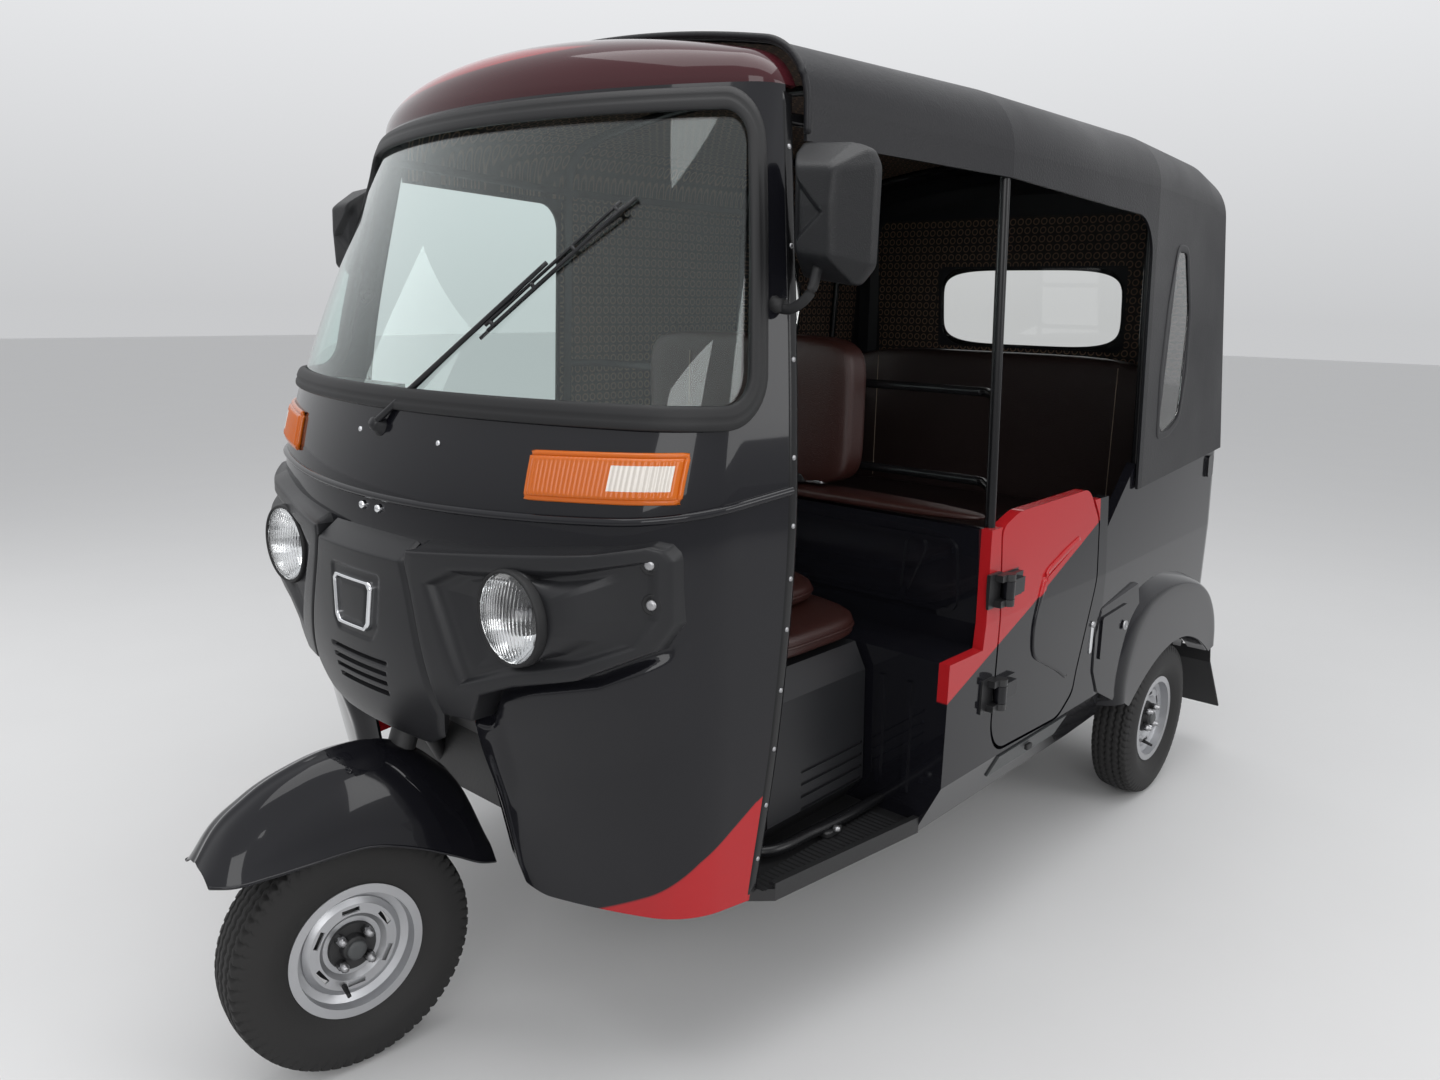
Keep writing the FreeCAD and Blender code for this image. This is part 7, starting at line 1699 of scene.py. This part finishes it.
# %% Arches
FOOT_ARC = [(0.500, 0.352), (0.488, 0.400), (0.490, 0.450), (0.510, 0.520), (0.545, 0.584), (0.600, 0.618),
            (0.670, 0.636), (0.800, 0.634), (0.960, 0.602), (1.080, 0.556), (1.168, 0.500), (1.215, 0.440),
            (1.242, 0.390), (1.248, 0.347)]
RIDGE_ARC = [(0.560, 0.352), (0.557, 0.395), (0.564, 0.430), (0.580, 0.470), (0.608, 0.514), (0.650, 0.550),
             (0.700, 0.573), (0.800, 0.588), (0.900, 0.584), (1.010, 0.560), (1.090, 0.524), (1.150, 0.470),
             (1.182, 0.410), (1.195, 0.347)]
t_fine = np.linspace(0, 13, 150)
foot_line, ridge_line = (np.stack([smooth(t_fine, np.arange(14), np.array(arc)[:, k]) for k in (0, 1)], -1)
                         for arc in (FOOT_ARC, RIDGE_ARC))
opening_y = 0.590 + (1.165 - 0.590) * np.linspace(0, 1, 150)
opening_z = 0.333 + 0.104 * (1 - ((opening_y - 0.884) / 0.290) ** 2)
lip_line = np.stack([opening_y, np.maximum(opening_z, 0.336)], -1)
rows, depths = [], []
for share in np.linspace(0, 1, 16):
    rows.append(foot_line + (ridge_line - foot_line) * (1 - math.cos(share * np.pi / 2)) ** 0.9)
    depths.append(0.600 + 0.0535 * math.sin(share * np.pi / 2))
for share in np.linspace(0, 1, 8)[1:]:
    rows.append(ridge_line + (lip_line - ridge_line) * share)
    depths.append(0.6535 - 0.0015 * share)
plane = np.stack(rows + [lip_line + np.array([0, 0.003])])
x = np.array(depths + [0.640])[:, None] + 0 * plane[..., 0]
for side, tag in ((1, "left"), (-1, "right")):
    arch = grid_mesh("arch_skin_" + tag, np.stack([side * x, plane[..., 0], plane[..., 1]], -1), "body",
                     facing=(side, 0, 0.3))
    tell(thicken(dress(arch, "black_paint"), 0.003))

# %% [markdown]
# ## Camera
# The camera stands where the photograph was taken, a little above the waist and to the left of the front.
# Its direction, tilt and roll were solved from the wheels and the body's measured points.

# %% Camera
scene = bpy.context.scene
yaw, pitch, roll = math.radians(41.787), math.radians(12.647), math.radians(1.045)
forward = np.array([-math.sin(yaw) * math.cos(pitch), math.cos(yaw) * math.cos(pitch), -math.sin(pitch)])
right = np.array([math.cos(yaw), math.sin(yaw), 0.0])
up = np.cross(right, forward)
right_rolled = math.cos(roll) * right + math.sin(roll) * up
up_rolled = -math.sin(roll) * right + math.cos(roll) * up
FOCAL_PIXELS, PICTURE_WIDTH, SENSOR = 1073.3, 1440, 36.0
CAMERA_SPOT = (1.5473, -1.9118, 1.2833)


def placed(columns, spot):
    """Matrix whose first three columns are the given directions and whose last is the place."""
    rows = np.stack(columns, 1).tolist()
    return Matrix([[*row, place] for row, place in zip(rows, spot)] + [[0, 0, 0, 1]])


camera = bpy.data.objects.new("Camera", bpy.data.cameras.new("Camera"))
scene.collection.objects.link(camera)
camera.data.sensor_width, camera.data.lens = SENSOR, FOCAL_PIXELS / PICTURE_WIDTH * SENSOR
camera.data.clip_end = 60
camera.matrix_world = placed([right_rolled, up_rolled, -forward], CAMERA_SPOT)
scene.camera = camera
print("lens:", round(camera.data.lens, 2), "mm")

# %% [markdown]
# ## Floor
# A plain pale floor carries the shadow. It is part of the stage and not of the vehicle.

# %% Floor
floor = bpy.data.objects.new("Floor", bpy.data.meshes.new("Floor"))
floor.data.from_pydata([(-30, -30, 0), (30, -30, 0), (30, 30, 0), (-30, 30, 0)], [], [(0, 1, 2, 3)])
scene.collection.objects.link(floor)
floor.data.materials.append(material("FloorPale", (0.72, 0.72, 0.72), 0.7, vary=0.05,
                                     tint=(0.76, 0.76, 0.76)))
print("floor laid")

# %% [markdown]
# ## Soft lamps
# Gloss black shows little but what it mirrors, so the lamps are large rectangles that give it something
# broad and soft. The lamp on the far side lights the shape without being mirrored.

# %% Lamps
def area_light(name, spot, target, size, power, size_y):
    """Large rectangular lamp turned towards a target."""
    lamp = bpy.data.lights.new(name, "AREA")
    lamp.shape, lamp.size, lamp.size_y, lamp.energy = "RECTANGLE", size, size_y, power
    holder = bpy.data.objects.new(name, lamp)
    scene.collection.objects.link(holder)
    back = unit(np.asarray(spot, float) - np.asarray(target, float))
    side = unit(np.cross([0, 0, 1], back))
    holder.matrix_world = placed([side, np.cross(back, side), back], spot)
    return holder


area_light("Overhead", (0.5, -0.5, 4.2), (0, 0, 0.6), 4.0, 85, 3.0)
for name, spot, target, size, power in (("FrontLeft", (3.6, -4.0, 2.6), (0, -0.4, 0.9), 3.2, 62),
                                        ("SideLeft", (5.0, 1.2, 2.4), (0, 0.2, 0.8), 2.6, 48),
                                        ("FrontRight", (-3.6, -3.2, 2.2), (0, -0.6, 0.9), 2.0, 36)):
    area_light(name, spot, target, size, power, 2.2).visible_glossy = name != "FrontRight"
print("four lamps")

# %% [markdown]
# ## Backdrop
# The world gives a pale gradient. What the camera, mirrors and glass see is brighter than what lights the
# vehicle, so the picture has a light ground and the enamel keeps its depth.

# %% Backdrop
world = bpy.data.worlds.new("Studio")
scene.world = world
world.use_nodes = True
tree = world.node_tree
background = tree.nodes["Background"]
direction = add(tree, "ShaderNodeTexCoord").outputs["Generated"]
height = add(tree, "ShaderNodeSeparateXYZ", in_0=direction).outputs[2]
plain = add(tree, "ShaderNodeMapRange", in_0=height, in_1=-0.05, in_2=0.6, in_3=0.25, in_4=0.62).outputs[0]
shown = add(tree, "ShaderNodeMapRange", in_0=height, in_1=-0.01, in_2=0.34, in_3=0.60, in_4=0.93).outputs[0]
rays = add(tree, "ShaderNodeLightPath")
seen = maths(tree, "MAXIMUM", rays.outputs["Is Camera Ray"], rays.outputs["Is Transmission Ray"])
seen = maths(tree, "MAXIMUM", seen, rays.outputs["Is Glossy Ray"])
level = add(tree, "ShaderNodeMix", data_type="FLOAT", in_0=seen, in_2=plain, in_3=shown)
tree.links.new(level.outputs[0], background.inputs["Strength"])
background.inputs["Color"].default_value = (0.97, 0.98, 1.0, 1)
scene.view_settings.view_transform = "Standard"
print("world:", world.name)
